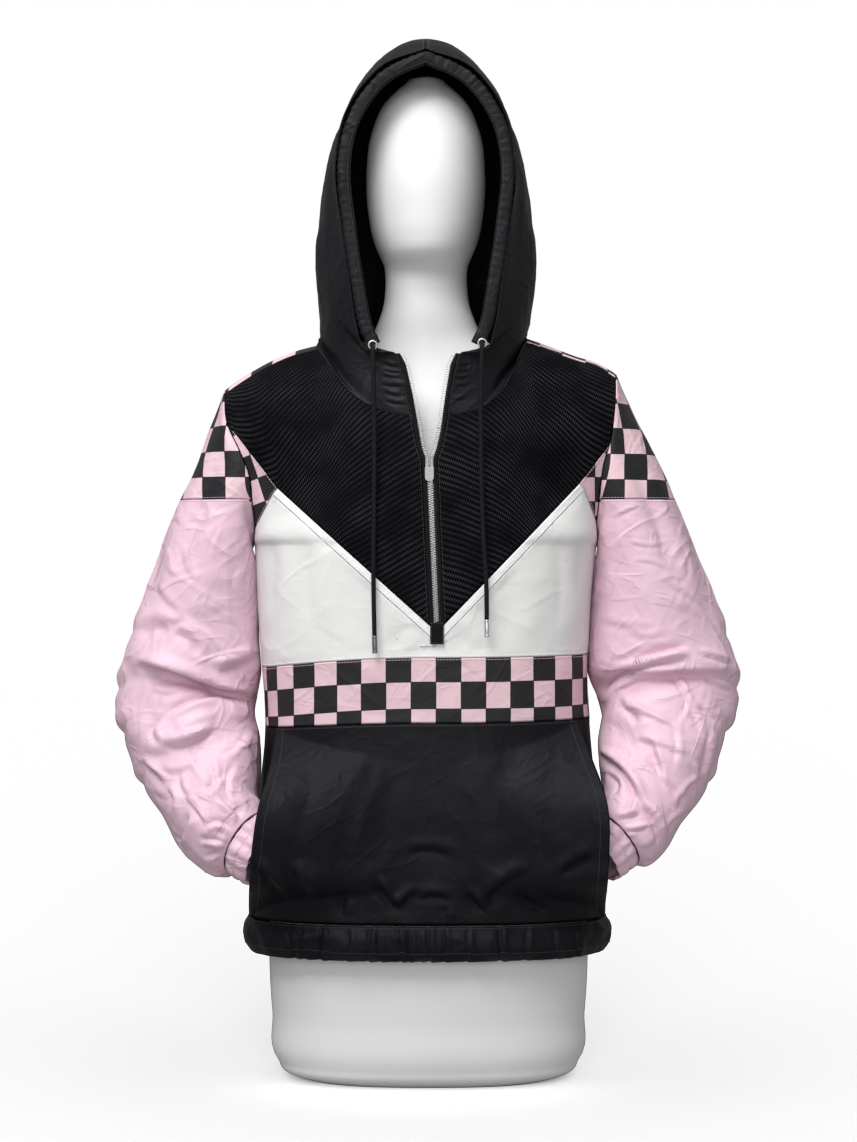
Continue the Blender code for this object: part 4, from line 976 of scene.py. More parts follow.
@dataclass
class Cloth:
    """One cut piece of cloth as a grid of points.

    inside is a point, or a point for each row, that lies behind the cloth. It settles which way
    faces out. A ring joins its last column to its first.
    """

    name: str
    points: Array
    inside: Array
    ring: bool = False
    checks: Optional[Array] = None
    seams: tuple = (Edge.LOW, Edge.HIGH, Edge.START, Edge.END)
    cut: tuple = field(default=(0.0, 0.0, 0.0))
    narrowest_sheet: float = 0.0101

    def __post_init__(self) -> None:
        """Measures the flat piece before anything moves it."""
        across, along = self.lengths()
        cells = np.linalg.norm(np.cross(self._step(1), self._step(0)), axis=-1)
        area = float(cells[:-1].sum() if self.ring else cells[:-1, :-1].sum())
        width = float(np.max(across[:, -1] - across[:, 0]))
        if self.ring:
            width = float(np.max(self._around()))
        self.cut = (width, float(np.max(along[-1] - along[0])), area)

    def _step(self, axis: int) -> Array:
        """Difference to the next point along an axis; zero at the end of an open one.

        Args:
            axis: 0 from row to row, 1 from column to column

        Returns:
            The difference at each point.
        """
        after = np.roll(self.points, -1, axis=axis)
        step = after - self.points
        if not (self.ring and axis == 1):
            edge = [slice(None)] * 3
            edge[axis] = -1
            step[tuple(edge)] = 0.0
        return step

    def _around(self) -> Array:
        """Length of each row of a ring."""
        return np.linalg.norm(self._step(1), axis=-1).sum(axis=1)

    def lengths(self) -> tuple[Array, Array]:
        """Distance along each row from its first column, and up each column from its first row."""
        across = np.linalg.norm(np.diff(self.points, axis=1), axis=-1)
        along = np.linalg.norm(np.diff(self.points, axis=0), axis=-1)
        rows, columns = self.points.shape[:2]
        across = np.hstack([np.zeros((rows, 1)), np.cumsum(across, axis=1)])
        along = np.vstack([np.zeros((1, columns)), np.cumsum(along, axis=0)])
        return across, along

    def normals(self) -> Array:
        """Outward direction at each point."""
        if self.ring:
            wide = np.roll(self.points, -1, axis=1) - np.roll(self.points, 1, axis=1)
        else:
            wide = np.gradient(self.points, axis=1)
        tall = np.gradient(self.points, axis=0)
        found = unit(np.cross(wide, tall))
        outward = self.points - self.inside
        return found if (found * outward).sum() > 0 else -found

    def border_fade(self, reach: float) -> Array:
        """Nought on the open borders, rising to one over reach."""
        return ease(0.0, reach, self.edge_distance((Edge.LOW, Edge.HIGH, Edge.START, Edge.END)))

    def edge_distance(self, edges: Sequence[Edge]) -> Array:
        """Distance to the nearest of some borders. The two side borders of a ring don't count.

        Args:
            edges: the borders that count

        Returns:
            The distance at each point, in metres.
        """
        across, along = self.lengths()
        options = {Edge.LOW: along, Edge.HIGH: along[-1:] - along}
        if not self.ring:
            options.update({Edge.START: across, Edge.END: across[:, -1:] - across})
        distances = [options[edge] for edge in edges if edge in options]
        return np.minimum.reduce(distances) if distances else np.full(along.shape, 1.0)

    def push(self, height: Array) -> "Cloth":
        """Moves the points out by height, and gives the piece back."""
        self.points = self.points + self.normals() * height[..., None]
        return self

    def border_path(self, edge: Edge, distance: float, lift: float) -> Array:
        """The line that runs beside a border at a distance, lifted off the cloth.

        Args:
            edge: the border
            distance: how far inside it the line runs
            lift: how far off the cloth it runs

        Returns:
            The line's points.
        """
        across, along = self.lengths()
        raised = self.points + self.normals() * lift
        if edge in (Edge.LOW, Edge.HIGH):
            measure, rows = (along, raised) if edge is Edge.LOW else (along[-1:] - along, raised)
        else:
            measure = (across if edge is Edge.START else across[:, -1:] - across).T
            rows = raised.transpose(1, 0, 2)
        if edge in (Edge.HIGH, Edge.END):
            measure, rows = measure[::-1], rows[::-1]
        index = np.clip((measure < distance).sum(axis=0), 1, len(measure) - 1)
        column = np.arange(measure.shape[1])
        low, high = measure[index - 1, column], measure[index, column]
        part = np.clip((distance - low) / np.maximum(high - low, 1e-9), 0, 1)[:, None]
        path = rows[index - 1, column] * (1 - part) + rows[index, column] * part
        return np.vstack([path, path[:1]]) if self.ring and edge in (Edge.LOW, Edge.HIGH) else path

    def sew(self, thread: Thread, edge: Edge, distance: float, lift: float, behind: Array) -> None:
        """Runs a row of stitches beside a border. behind is a point behind the cloth."""
        STITCHES[thread].run(self.border_path(edge, distance, lift), behind)

    def _seam_map(self) -> Array:
        """For each corner column, the place along the nearest seam and the distance from it."""
        across, along = self.lengths()
        if self.ring:
            across = np.hstack([across, self._around()[:, None]])
            along = np.hstack([along, along[:, :1]])
        ends = [(along, across, Edge.LOW), (along[-1:] - along, across, Edge.HIGH)]
        if not self.ring:
            ends += [(across, along, Edge.START), (across[:, -1:] - across, along, Edge.END)]
        wanted = [(near, place) for near, place, edge in ends if edge in self.seams]
        if not wanted:
            return np.stack([across, np.full_like(across, 0.05)], axis=-1)
        near = np.stack([pair[0] for pair in wanted])
        place = np.stack([pair[1] for pair in wanted])
        first = near.argmin(axis=0)[None]
        return np.stack([np.take_along_axis(place, first, 0)[0], np.take_along_axis(near, first, 0)[0]], axis=-1)

    def build(self, finish: str, held: str, rests: Sequence[str], wall: float = 0.0010) -> None:
        """Makes the object, with its maps, its wall and its body, and logs its flat size.

        The piece has the name of the CAD node that it stands for.

        Args:
            finish: key of its material.
            rests: what it lies on or hangs from; not used.
            wall: thickness of the cloth.
        """
        rows, columns = self.points.shape[:2]
        index = np.arange(rows * columns).reshape(rows, columns)
        if self.ring:
            index = np.hstack([index, index[:, :1]])
        corner = np.arange(rows * index.shape[1]).reshape(index.shape)
        outward = np.cross(self._step(1), np.gradient(self.points, axis=0))
        flip = (outward * (self.points - self.inside)).sum() < 0

        def faced(grid: Array) -> Array:
            """The four corners of each cell, anticlockwise from outside."""
            return quads(grid)[:, ::-1] if flip else quads(grid)

        mesh = bpy.data.meshes.new(self.name)
        mesh.from_pydata(self.points.reshape(-1, 3).tolist(), [], faced(index).tolist())
        across, along = self.lengths()
        if self.ring:
            across = np.hstack([across, self._around()[:, None]])
            along = np.hstack([along, along[:, :1]])
        middle = across[rows // 2][None] + 0 * along
        maps = {"cut": np.stack([middle, along], axis=-1), "seam": self._seam_map()}
        if self.checks is not None:
            maps["checks"] = self.checks
        loops = faced(corner).reshape(-1)
        for key, values in maps.items():
            layer = mesh.uv_layers.new(name=key)
            layer.data.foreach_set("uv", values.reshape(-1, 2)[loops].astype(np.float32).ravel())
        mesh.shade_smooth()
        made = bpy.data.objects.new(self.name + "_cloth", mesh)
        bpy.context.scene.collection.objects.link(made)
        mesh.materials.append(WARDROBE[finish])
        solid = made.modifiers.new("wall", "SOLIDIFY")
        solid.thickness = wall
        solid.offset = 0.0
        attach(made, JACKET)
        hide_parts(self.name)
        width, length, area = self.cut
        if min(width, length) > self.narrowest_sheet:
            min(area, width * length)
        LOG.info("%s: %d faces, cut %.0f by %.0f mm, %.4f m2", self.name, len(mesh.polygons), width * 1000,
                 length * 1000, area)


def plain_object(name: str, points: Array, faces: Array, finish: str, node: str = "",
                 uv: Optional[Array] = None, smooth: bool = True) -> bpy.types.Object:
    """An object from points and faces.

    Args:
        name: the object's name.
        points: its points.
        faces: point numbers of each face.
        finish: key of its material.
        node: the CAD node that it replaces, if there is one.
        uv: one row for each corner of each face.
        smooth: whether it is shaded smooth.

    Returns:
        The object.
    """
    mesh = bpy.data.meshes.new(name)
    mesh.from_pydata(points.tolist(), [], faces.tolist() if isinstance(faces, np.ndarray) else faces)
    if uv is not None:
        layer = mesh.uv_layers.new(name="cut")
        layer.data.foreach_set("uv", uv.astype(np.float32).ravel())
    if smooth:
        mesh.shade_smooth()
    made = bpy.data.objects.new(name, mesh)
    bpy.context.scene.collection.objects.link(made)
    mesh.materials.append(WARDROBE[finish])
    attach(made, JACKET)
    if node:
        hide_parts(node)
    return made


def tube_mesh(rings: Array) -> tuple[Array, list, Array]:
    """Points, faces and corner maps of a tube through rings, with a fan that closes each end.

    Args:
        rings: rings x sides x 3 points, turning anticlockwise seen along the path.

    Returns:
        The points, the faces, and one map row for each corner: place round it and along it.
    """
    count, sides = rings.shape[:2]
    index = np.arange(count * sides).reshape(count, sides)
    index = np.hstack([index, index[:, :1]])
    girth = np.linalg.norm(np.diff(np.vstack([rings[0], rings[0][:1]]), axis=0), axis=1).sum()
    centres = rings.mean(axis=1)
    round_it = np.linspace(0, girth, sides + 1)
    grid = np.stack(np.broadcast_arrays(round_it[None, :], run_length(centres)[:, None]), axis=-1)
    corner = np.arange(count * (sides + 1)).reshape(count, sides + 1)
    low, high = count * sides, count * sides + 1
    ring = np.arange(sides)
    after = (ring + 1) % sides
    start = np.stack([np.full(sides, low), after, ring], axis=-1)
    end = np.stack([np.full(sides, high), (count - 1) * sides + ring, (count - 1) * sides + after], axis=-1)
    faces = quads(index).tolist() + start.tolist() + end.tolist()
    points = np.vstack([rings.reshape(-1, 3), centres[:1], centres[-1:]])
    uv = np.vstack([grid.reshape(-1, 2)[quads(corner).reshape(-1)], np.zeros((6 * sides, 2))])
    return points, faces, uv


def swept_rings(path: Array, radius: Array, sides: int, up: Array) -> Array:
    """Round rings along a path, each square to it. up is any direction that the path never takes.

    Args:
        path: the rings' centres
        radius: one for all of them, or one for each
        sides: points in a ring
        up: the direction that sets where a ring starts

    Returns:
        Rings x sides x 3 points.
    """
    along = unit(np.gradient(path, axis=0))
    right = unit(np.cross(along, up))
    over = np.cross(right, along)
    angle = circle(sides)
    radius = np.broadcast_to(radius, (len(path),))
    spread = np.cos(angle)[None, :, None] * over[:, None] + np.sin(angle)[None, :, None] * right[:, None]
    return path[:, None] + radius[:, None, None] * spread


@dataclass
class Stitching:
    """All stitches of one thread: short capsules set end to end along seams."""

    thread: Thread
    pitch: float = 0.0034
    length: float = 0.0027
    radius: float = 0.00030
    look: float = 0.0012
    centres: list = field(default_factory=list)
    headings: list = field(default_factory=list)
    ups: list = field(default_factory=list)

    def run(self, path: Array, away_from: Array) -> None:
        """Adds stitches at even steps along a path. away_from is a point behind the cloth.

        Args:
            path: the line to sew along
            away_from: a point behind the cloth
        """
        length = run_length(path)
        spots = np.arange(self.pitch / 2, length[-1], self.pitch)
        middle = at_spots(path, length, spots)
        ahead, behind = (np.clip(spots + step, 0, length[-1]) for step in (self.look, -self.look))
        heading = at_spots(path, length, ahead) - at_spots(path, length, behind)
        self.centres.append(middle)
        self.headings.append(unit(heading))
        self.ups.append(unit(middle - away_from))

    def build(self) -> None:
        """Makes one object of every stitch: five-sided capsules with pointed ends."""
        centres, headings, ups = (np.vstack(items) for items in (self.centres, self.headings, self.ups))
        right = unit(np.cross(headings, ups))
        over = np.cross(right, headings)
        along = np.array([-0.5, -0.36, 0.36, 0.5]) * self.length
        size = np.array([0.25, 1.0, 1.0, 0.25]) * self.radius
        angle = circle(5)
        ring = np.cos(angle)[None, :, None] * over[:, None] + np.sin(angle)[None, :, None] * right[:, None]
        points = (centres[:, None, None] + along[None, :, None, None] * headings[:, None, None]
                  + size[None, :, None, None] * ring[:, None])
        sides = np.arange(5)
        after = (sides + 1) % 5
        walls = np.vstack([np.stack([5 * k + sides, 5 * k + after, 5 * (k + 1) + after, 5 * (k + 1) + sides], axis=-1)
                           for k in range(3)])
        shift = 20 * np.arange(len(centres))[:, None, None]
        faces = (walls[None] + shift).reshape(-1, 4).tolist()
        faces += (sides[::-1][None] + shift[:, 0]).tolist() + (15 + sides[None] + shift[:, 0]).tolist()
        name = "stitching_" + self.thread.value
        plain_object(name, points.reshape(-1, 3), faces, "thread_" + self.thread.value)
        LOG.info("%s: %d stitches", name, len(centres))


STITCHES = {thread: Stitching(thread) for thread in Thread}


# ---------------------------------------------------------------- the dress form


@dataclass
class DressForm:
    """The smooth white form: a rounded box at the base, a torso, a neck and a faceless head."""

    sides: int = 96
    rings: int = 150
    top: float = 1.095
    shift: float = -0.003
    profile: Chart = field(default_factory=lambda: Chart("height half_width front back middle roundness", [
        (0.000, 0.1300, 0.0800, 0.0800, 0.000, 2.6),
        (0.006, 0.1520, 0.0930, 0.0930, 0.000, 2.6),
        (0.020, 0.1650, 0.1010, 0.1010, 0.000, 2.5),
        (0.070, 0.1710, 0.1040, 0.1040, 0.000, 2.4),
        (0.140, 0.1745, 0.1060, 0.1050, 0.000, 2.4),
        (0.220, 0.1700, 0.1000, 0.1030, 0.000, 2.4),
        (0.300, 0.1560, 0.0940, 0.0960, 0.000, 2.3),
        (0.380, 0.1440, 0.0900, 0.0900, 0.000, 2.3),
        (0.460, 0.1500, 0.0970, 0.0940, 0.000, 2.3),
        (0.540, 0.1600, 0.1060, 0.0990, 0.000, 2.3),
        (0.620, 0.1660, 0.1010, 0.0980, 0.000, 2.3),
        (0.690, 0.1700, 0.0860, 0.0850, 0.000, 2.3),
        (0.735, 0.1660, 0.0700, 0.0680, 0.000, 2.2),
        (0.762, 0.1460, 0.0560, 0.0540, 0.000, 2.1),
        (0.782, 0.1080, 0.0480, 0.0480, 0.000, 2.0),
        (0.800, 0.0720, 0.0450, 0.0460, 0.000, 2.0),
        (0.830, 0.0520, 0.0450, 0.0450, -0.002, 2.0),
        (0.865, 0.0448, 0.0430, 0.0460, -0.005, 2.0),
        (0.880, 0.0450, 0.0455, 0.0500, -0.007, 2.0),
        (0.888, 0.0462, 0.0580, 0.0540, -0.009, 2.0),
        (0.896, 0.0500, 0.0690, 0.0590, -0.010, 2.0),
        (0.910, 0.0560, 0.0745, 0.0660, -0.010, 2.0),
        (0.940, 0.0625, 0.0790, 0.0800, -0.010, 2.0),
        (0.990, 0.0650, 0.0820, 0.0880, -0.008, 2.0),
        (1.035, 0.0590, 0.0720, 0.0800, -0.006, 2.0),
        (1.070, 0.0420, 0.0520, 0.0580, -0.003, 2.0),
        (1.088, 0.0230, 0.0280, 0.0320, 0.000, 2.0),
    ]))

    def build(self) -> None:
        """Superellipse rings up the profile, closed by a fan at each end."""
        knots = self.profile["height"]
        low = np.linspace(0, 0.02, 9)[:-1]
        high = np.linspace(0.02, knots[-1], self.rings)
        heights = np.concatenate([low, high])
        angle = circle(self.sides)
        cosine, sine = np.cos(angle)[None, :], np.sin(angle)[None, :]
        read = {name: self.profile.read(name, heights, "height")[:, None] for name in self.profile.columns}
        power = 2 / read["roundness"]
        x = read["half_width"] * np.sign(cosine) * np.abs(cosine) ** power
        depth = np.where(sine < 0, read["front"], read["back"])
        y = read["middle"] + depth * np.sign(sine) * np.abs(sine) ** power
        shift = np.clip((heights[:, None] - 0.70) / 0.2, 0, 1) * self.shift
        rings = np.stack([x + shift, y, np.broadcast_to(heights[:, None], x.shape)], axis=-1)
        crown = []
        for share in (0.35, 0.65, 0.88, 0.98):
            rise = math.sin(share * QUARTER)
            size = math.cos(share * QUARTER)
            ring = rings[-1] * np.array([size, size, 0.0])
            ring[:, 0] += (1 - size) * self.shift
            ring[:, 2] = knots[-1] + (self.top - knots[-1]) * rise
            crown.append(ring)
        points, faces, _ = tube_mesh(np.vstack([rings, np.array(crown)]))
        plain_object("form_shell", points, faces, "form", "dress_form")
        LOG.info("form: %d faces", len(faces))


# ---------------------------------------------------------------- the seams of the front


def drawn_in(grid: Array, gap: float = 0.0003, rows: bool = True, columns: bool = True) -> Array:
    """The grid with each border moved a little over half a seam gap towards the middle.

    Args:
        grid: rows x columns of points
        gap: width of the seam's gap
        rows: whether the first and the last row move
        columns: whether the first and the last column move

    Returns:
        The new grid.
    """
    grid = grid.copy()
    moves = [(np.s_[:, 0], np.s_[:, 1], columns), (np.s_[:, -1], np.s_[:, -2], columns),
             (np.s_[0], np.s_[1], rows), (np.s_[-1], np.s_[-2], rows)]
    for border, inner, wanted in moves:
        if wanted:
            grid[border] = grid[border] + unit(grid[inner] - grid[border]) * gap * 0.62
    return grid


@dataclass(frozen=True)
class SeamPlan:
    """Where the seams of the front run. A corner is (x, height), left first."""

    v_corner: tuple = ((-0.161, 0.641), (0.161, 0.646))
    v_foot: tuple = ((0.0083, 0.4888), (0.0095, 0.4888))
    insert_top: tuple = ((-0.2158, 0.711), (0.1965, 0.691))
    insert_foot: tuple = ((-0.1868, 0.5990), (0.1800, 0.6080))
    band_top: tuple = (0.448, 0.463)
    band_foot: tuple = (0.384, 0.395)
    band_top_middle: float = 0.4615
    band_foot_middle: float = 0.3925
    trim_width: float = 0.0085
    tape_width: float = 0.0074
    tooth_row: float = 0.0028
    yoke_foot: float = 0.4955
    seam_gap: float = 0.0003

    def of(self, pair: tuple, side: Side) -> Union[tuple, float]:
        """One side's value of a pair."""
        return pair[0] if side is Side.LEFT else pair[1]

    def zip_x(self, side: Side, height: Array) -> Array:
        """Inner edge of one row of teeth."""
        return np.interp(height, ZIP_LINE["height"], ZIP_LINE[side.word])

    def tape_x(self, side: Side, height: Array) -> Array:
        """Outer edge of one zip tape."""
        return self.zip_x(side, height) + side.sign * (self.tape_width + self.seam_gap)

    def trim_foot(self, side: Side) -> tuple[Array, Array]:
        """The two ends of the V's edge, moved down by the trim's width square to it.

        Args:
            side: the half of the front

        Returns:
            The two ends.
        """
        corner, foot = (np.array(self.of(pair, side)) for pair in (self.v_corner, self.v_foot))
        along = unit(foot - corner)
        down = np.array([-abs(along[1]) * np.sign(along[0]), -abs(along[0])])
        return corner + down * self.trim_width, foot - np.array([0.0, self.trim_width / abs(along[0])])

    def insert_places(self, start: Sequence[float], end: Sequence[float]) -> list[Array]:
        """Places along one seam of an insert."""
        start, end = np.array(start), np.array(end)
        return [start + share * (end - start) for share in (0.0, 0.12, 0.5, 1.0)]

    def armhole(self, side: Side, low: float, high: float, rows: Array) -> Array:
        """Rows of (turn, height) up the armhole or the side seam."""
        height = low + (high - low) * rows
        return np.stack([np.full_like(height, side.sign * QUARTER), height], axis=-1)

    def shoulder(self, side: Side, steps: int) -> Array:
        """The seam of the front yoke and the shoulder strip, from the armhole to the neck.

        Args:
            side: the half of the front
            steps: number of steps along it

        Returns:
            The seam's points.
        """
        inner = BODY.turn_at(side.sign * NECKLINE.read(side.word, 1.0, "share"), 0.793)
        turn = np.linspace(side.sign * QUARTER, inner, steps + 1)
        reach = np.abs(np.sin(turn)) ** (2 / BODY.section_round)
        ridge = RIDGE.by_side(side.sign, reach, "reach")
        return np.stack([turn, BODY.underarm + (ridge - BODY.underarm) * BODY.shoulder_seam_rise], axis=-1)

    def neckline(self, side: Side, steps: int) -> Array:
        """The front neckline, from the shoulder strip to the zip tape.

        Args:
            side: the half of the front
            steps: number of steps along it

        Returns:
            The seam's points.
        """
        share = np.linspace(1, 0, steps + 1)
        x = side.sign * NECKLINE.read(side.word, share, "share")
        height = NECKLINE.read("height_" + side.word, share, "share")
        return np.stack([BODY.turn_at(x, height), height], axis=-1)

    def band_line(self, turn: Array, ends: tuple, middle: float) -> Array:
        """Height of a band's seam: a curve through its two ends and its middle.

        Args:
            turn: turn of each place
            ends: what it passes through at its two ends
            middle: its height in the middle

        Returns:
            The height at each place.
        """
        share = np.abs(np.sin(turn)) ** (2 / BODY.section_round)
        end = np.where(turn < 0, ends[0], ends[1])
        return middle + (end - middle) * share**2

    def band_edge(self, turn: Array, top: bool) -> Array:
        """The band's upper or lower seam as rows of (turn, height).

        Args:
            turn: turn of each place
            top: whether it is the upper seam

        Returns:
            Rows of (turn, height).
        """
        if top:
            return np.stack([turn, self.band_line(turn, self.band_top, self.band_top_middle)], axis=-1)
        return np.stack([turn, self.band_line(turn, self.band_foot, self.band_foot_middle)], axis=-1)


PLAN = SeamPlan()
AXIS = np.array([0.0, 0.02, 0.45])
SIDES = (Side.LEFT, Side.RIGHT)


def squares(across: Array, down: Array, origin: tuple, size: tuple) -> Array:
    """Counts of squares from distances along the cloth, as the checks map holds them."""
    across, down = np.broadcast_arrays(across, down)
    return np.stack([(across - origin[0]) / size[0], (down - origin[1]) / size[1]], axis=-1)


CHEST_FOLDS = Chart(FOLD_COLUMNS, [
    (-125, 600, -128, 540, -120, 480, 9, 1.6, 0.7),
    (-60, 560, -66, 520, -62, 470, 10, 1.2, 0.6),
    (-20, 500, -30, 485, -34, 466, 7, 1.4, 0.7),
    (22, 500, 34, 486, 40, 467, 7, 1.4, 0.7),
    (75, 560, 84, 520, 80, 470, 11, 1.4, 0.6),
    (135, 600, 140, 540, 134, 480, 9, 1.8, 0.7),
    (165, 590, 160, 560, 163, 520, 7, 2.0, 0.6),
    (-168, 590, -166, 550, -172, 500, 7, 2.0, 0.6),
])


@dataclass
class ChestPanel:
    """The white panel between the V and the checked band."""

    fine: int = 8
    allowance: float = 0.0022
    sink: float = 0.0011

    def build(self) -> None:
        """A Coons patch between the band, the trims, the inserts and the side seams."""
        k = self.fine
        lower = {side: PLAN.trim_foot(side) for side in SIDES}
        top = BODY.seam([lower[Side.LEFT][0], lower[Side.LEFT][1], lower[Side.RIGHT][1], lower[Side.RIGHT][0]],
                        [8 * k, k, 8 * k])
        turns = np.linspace(-QUARTER, QUARTER, 17 * k + 1)
        bottom = PLAN.band_edge(turns, True)
        borders = []
        for side in SIDES:
            foot = PLAN.of(PLAN.insert_foot, side)
            below = PLAN.armhole(side, PLAN.of(PLAN.band_top, side), foot[1], np.linspace(0, 1, 5 * k + 1))
            over = BODY.seam(PLAN.insert_places(foot, lower[side][0]), [k] * 3)
            over[0] = below[-1]
            borders.append(np.vstack([below, over[1:]]))
        heights = (borders[0] + borders[1])[:, 1]
        rows = (heights - heights[0]) / (heights[-1] - heights[0])
        grid = drawn_in(BODY.front(patch(bottom, top, *borders, rows)))
        under = grid[-1:] + unit(grid[-1:] - grid[-3:-2]) * self.allowance
        under[..., 1] += self.sink
        cloth = Cloth("chest_panel", np.vstack([grid, under]), AXIS)
        fade = cloth.border_fade(0.012)
        normals = cloth.normals()
        across, along = cloth.points[..., 0] / 0.030, cloth.points[..., 2] / 0.075
        swell = 0.0016 * rumple(across + 9, along, 11) + fold_heights(cloth.points, normals, CHEST_FOLDS, View.FRONT)
        cloth.push(swell * fade)
        cloth.build("white", "stretched", ["dress_form", "check_band"])
        for edge, offset in ((Edge.LOW, 0.0022), (Edge.HIGH, 0.0014)):
            cloth.sew(Thread.WHITE, edge, offset, 0.00055, AXIS)


@dataclass
class Trim:
    """The narrow white strip along one arm of the V."""

    side: Side
    fine: int = 12

    def build(self) -> None:
        """A ruled strip between the V's edge and a line below it, with two rows of topstitching."""
        lower = PLAN.trim_foot(self.side)
        steps = [8 * self.fine]
        top = BODY.seam([PLAN.of(PLAN.v_corner, self.side), PLAN.of(PLAN.v_foot, self.side)], steps)
        bottom = BODY.seam(lower, steps)
        share = np.linspace(0, 1, 9)[:, None, None]
        grid = BODY.front(bottom[None] * (1 - share) + top[None] * share)
        cloth = Cloth("v_trim_" + self.side.word, drawn_in(grid), AXIS)
        puff = 0.0003 * np.sin(math.pi * share[..., 0]) + 0 * cloth.points[..., 0]
        pucker = 0.00025 * rumple(cloth.lengths()[0] / 0.006, share[..., 0] * 2, 21 + self.side.value)
        cloth.push(puff + pucker)
        cloth.build("trim", "stretched", ["chest_panel"], wall=0.0012)
        for edge in (Edge.LOW, Edge.HIGH):
            cloth.sew(Thread.WHITE, edge, 0.0016, 0.0006, AXIS)


@dataclass
class MeshYoke:
    """One half of the mesh yoke, from the shoulder down to the point of the V."""

    side: Side
    fine: int = 8
    allowance: float = 0.0034
    sink: float = 0.0013

    def build(self) -> None:
        """A Coons patch between the armhole, the V's edge, the zip and the neckline."""
        k, side = self.fine, self.side
        shoulder, neck = PLAN.shoulder(side, 5 * k), PLAN.neckline(side, 6 * k)
        shoulder[-1] = neck[0]
        top = np.vstack([shoulder, neck[1:]])
        foot = (float(PLAN.tape_x(side, PLAN.yoke_foot)), PLAN.yoke_foot)
        places = PLAN.insert_places(PLAN.of(PLAN.insert_top, side), PLAN.of(PLAN.v_corner, side))
        bottom = BODY.seam(places + [np.array(foot)], [k, k, k, 8 * k])
        bottom[0, 0] = side.sign * QUARTER
        rows = 1 - (1 - np.linspace(0, 1, 8 * k + 1)) ** 1.7
        outer = PLAN.armhole(side, bottom[0, 1], top[0, 1], rows)
        heights = PLAN.yoke_foot + (top[-1, 1] - PLAN.yoke_foot) * rows
        inner = np.stack([BODY.turn_at(PLAN.tape_x(side, heights), heights), heights], axis=-1)
        inner[-1], inner[0] = top[-1], bottom[-1]
        grid = drawn_in(BODY.front(patch(bottom, top, outer, inner, rows)))
        under = grid[-1:] + unit(grid[-1:] - grid[-3:-2]) * self.allowance
        under[..., 1] += self.sink
        cloth = Cloth("yoke_" + side.word, np.vstack([grid, under]), AXIS)
        points = cloth.points
        soft = 0.0011 * rumple(points[..., 0] / 0.034 + 7, points[..., 2] / 0.05, 31 + side.value)
        cloth.push(soft * cloth.border_fade(0.012))
        cloth.build("mesh", "stretched", ["dress_form", "v_trim_" + side.word])
        cloth.sew(Thread.BLACK, Edge.END, 0.0018, 0.0006, AXIS)


@dataclass
class SideInsert:
    """The small checked insert between the yoke, the chest panel and the armhole."""

    side: Side
    fine: int = 10
    square: float = 0.0260

    def build(self) -> None:
        """Rows from the armhole to a bent inner seam; the middle column lies half way."""
        side, k = self.side, self.fine
        end = PLAN.trim_foot(side)[0]
        lower = PLAN.insert_places(PLAN.of(PLAN.insert_foot, side), end)[1:]
        upper = PLAN.insert_places(PLAN.of(PLAN.insert_top, side), PLAN.of(PLAN.v_corner, side))[:0:-1]
        inner = BODY.seam(lower + upper, [k] * 5)
        low, high = PLAN.of(PLAN.insert_foot, side)[1] + 0.004, PLAN.of(PLAN.insert_top, side)[1] - 0.004
        outer = PLAN.armhole(side, low, high, np.linspace(0, 1, 5 * k + 1))
        share = np.linspace(0, 1, 3 * k + 1)[None, :, None]
        grid = BODY.front(outer[:, None] * (1 - share) + inner[:, None] * share)
        cloth = Cloth("side_check_" + side.word, drawn_in(grid), AXIS)
        x, z = cloth.points[..., 0], cloth.points[..., 2]
        corner_x, corner_z, lean = (-0.1829, 0.6526, 0.326) if side is Side.LEFT else (0.1786, 0.6537, 0.0)
        over, down = x - corner_x, corner_z - z
        cosine, sine = math.cos(lean), math.sin(lean)
        cloth.checks = squares(over * cosine - down * sine, over * sine + down * cosine, (0.0, 0.0),
                               (self.square, self.square))
        cloth.push(0.0008 * rumple(np.abs(x) / 0.02, z / 0.03, 41) * cloth.border_fade(0.008))
        cloth.build("checks", "stretched", ["chest_panel"])
        cloth.sew(Thread.PINK, Edge.END, 0.0015, 0.0006, AXIS)


@dataclass
class CheckBand:
    """The checked band across the front, above the pocket."""

    fine: int = 8
    square_width: float = 0.0264
    square_height: float = 0.0284
    first_column: float = 0.0079
    above_edge: float = 0.0031

    def build(self) -> None:
        """Rows straight up between the band's two seams."""
        turns = np.linspace(-QUARTER, QUARTER, 17 * self.fine + 1)
        top, bottom = PLAN.band_edge(turns, True), PLAN.band_edge(turns, False)
        share = np.linspace(0, 1, 29)[:, None, None]
        cloth = Cloth("check_band", drawn_in(BODY.front(bottom[None] * (1 - share) + top[None] * share)), AXIS)
        across, along = cloth.lengths()
        x = cloth.points[..., 0]
        middle = np.take_along_axis(across, np.abs(x).argmin(axis=1)[:, None], 1)
        offset = across - middle + np.take_along_axis(x, np.abs(x).argmin(axis=1)[:, None], 1)
        down = along[-1:] - along
        cloth.checks = squares(offset, down, (self.first_column, -self.above_edge),
                               (self.square_width, self.square_height))
        soft = 0.0010 * rumple(offset / 0.030 + 20, along / 0.06, 51)
        cloth.push(soft * cloth.border_fade(0.010))
        cloth.build("checks", "stretched", ["dress_form", "pocket"])
        cloth.sew(Thread.PINK, Edge.HIGH, 0.0018, 0.0006, AXIS)


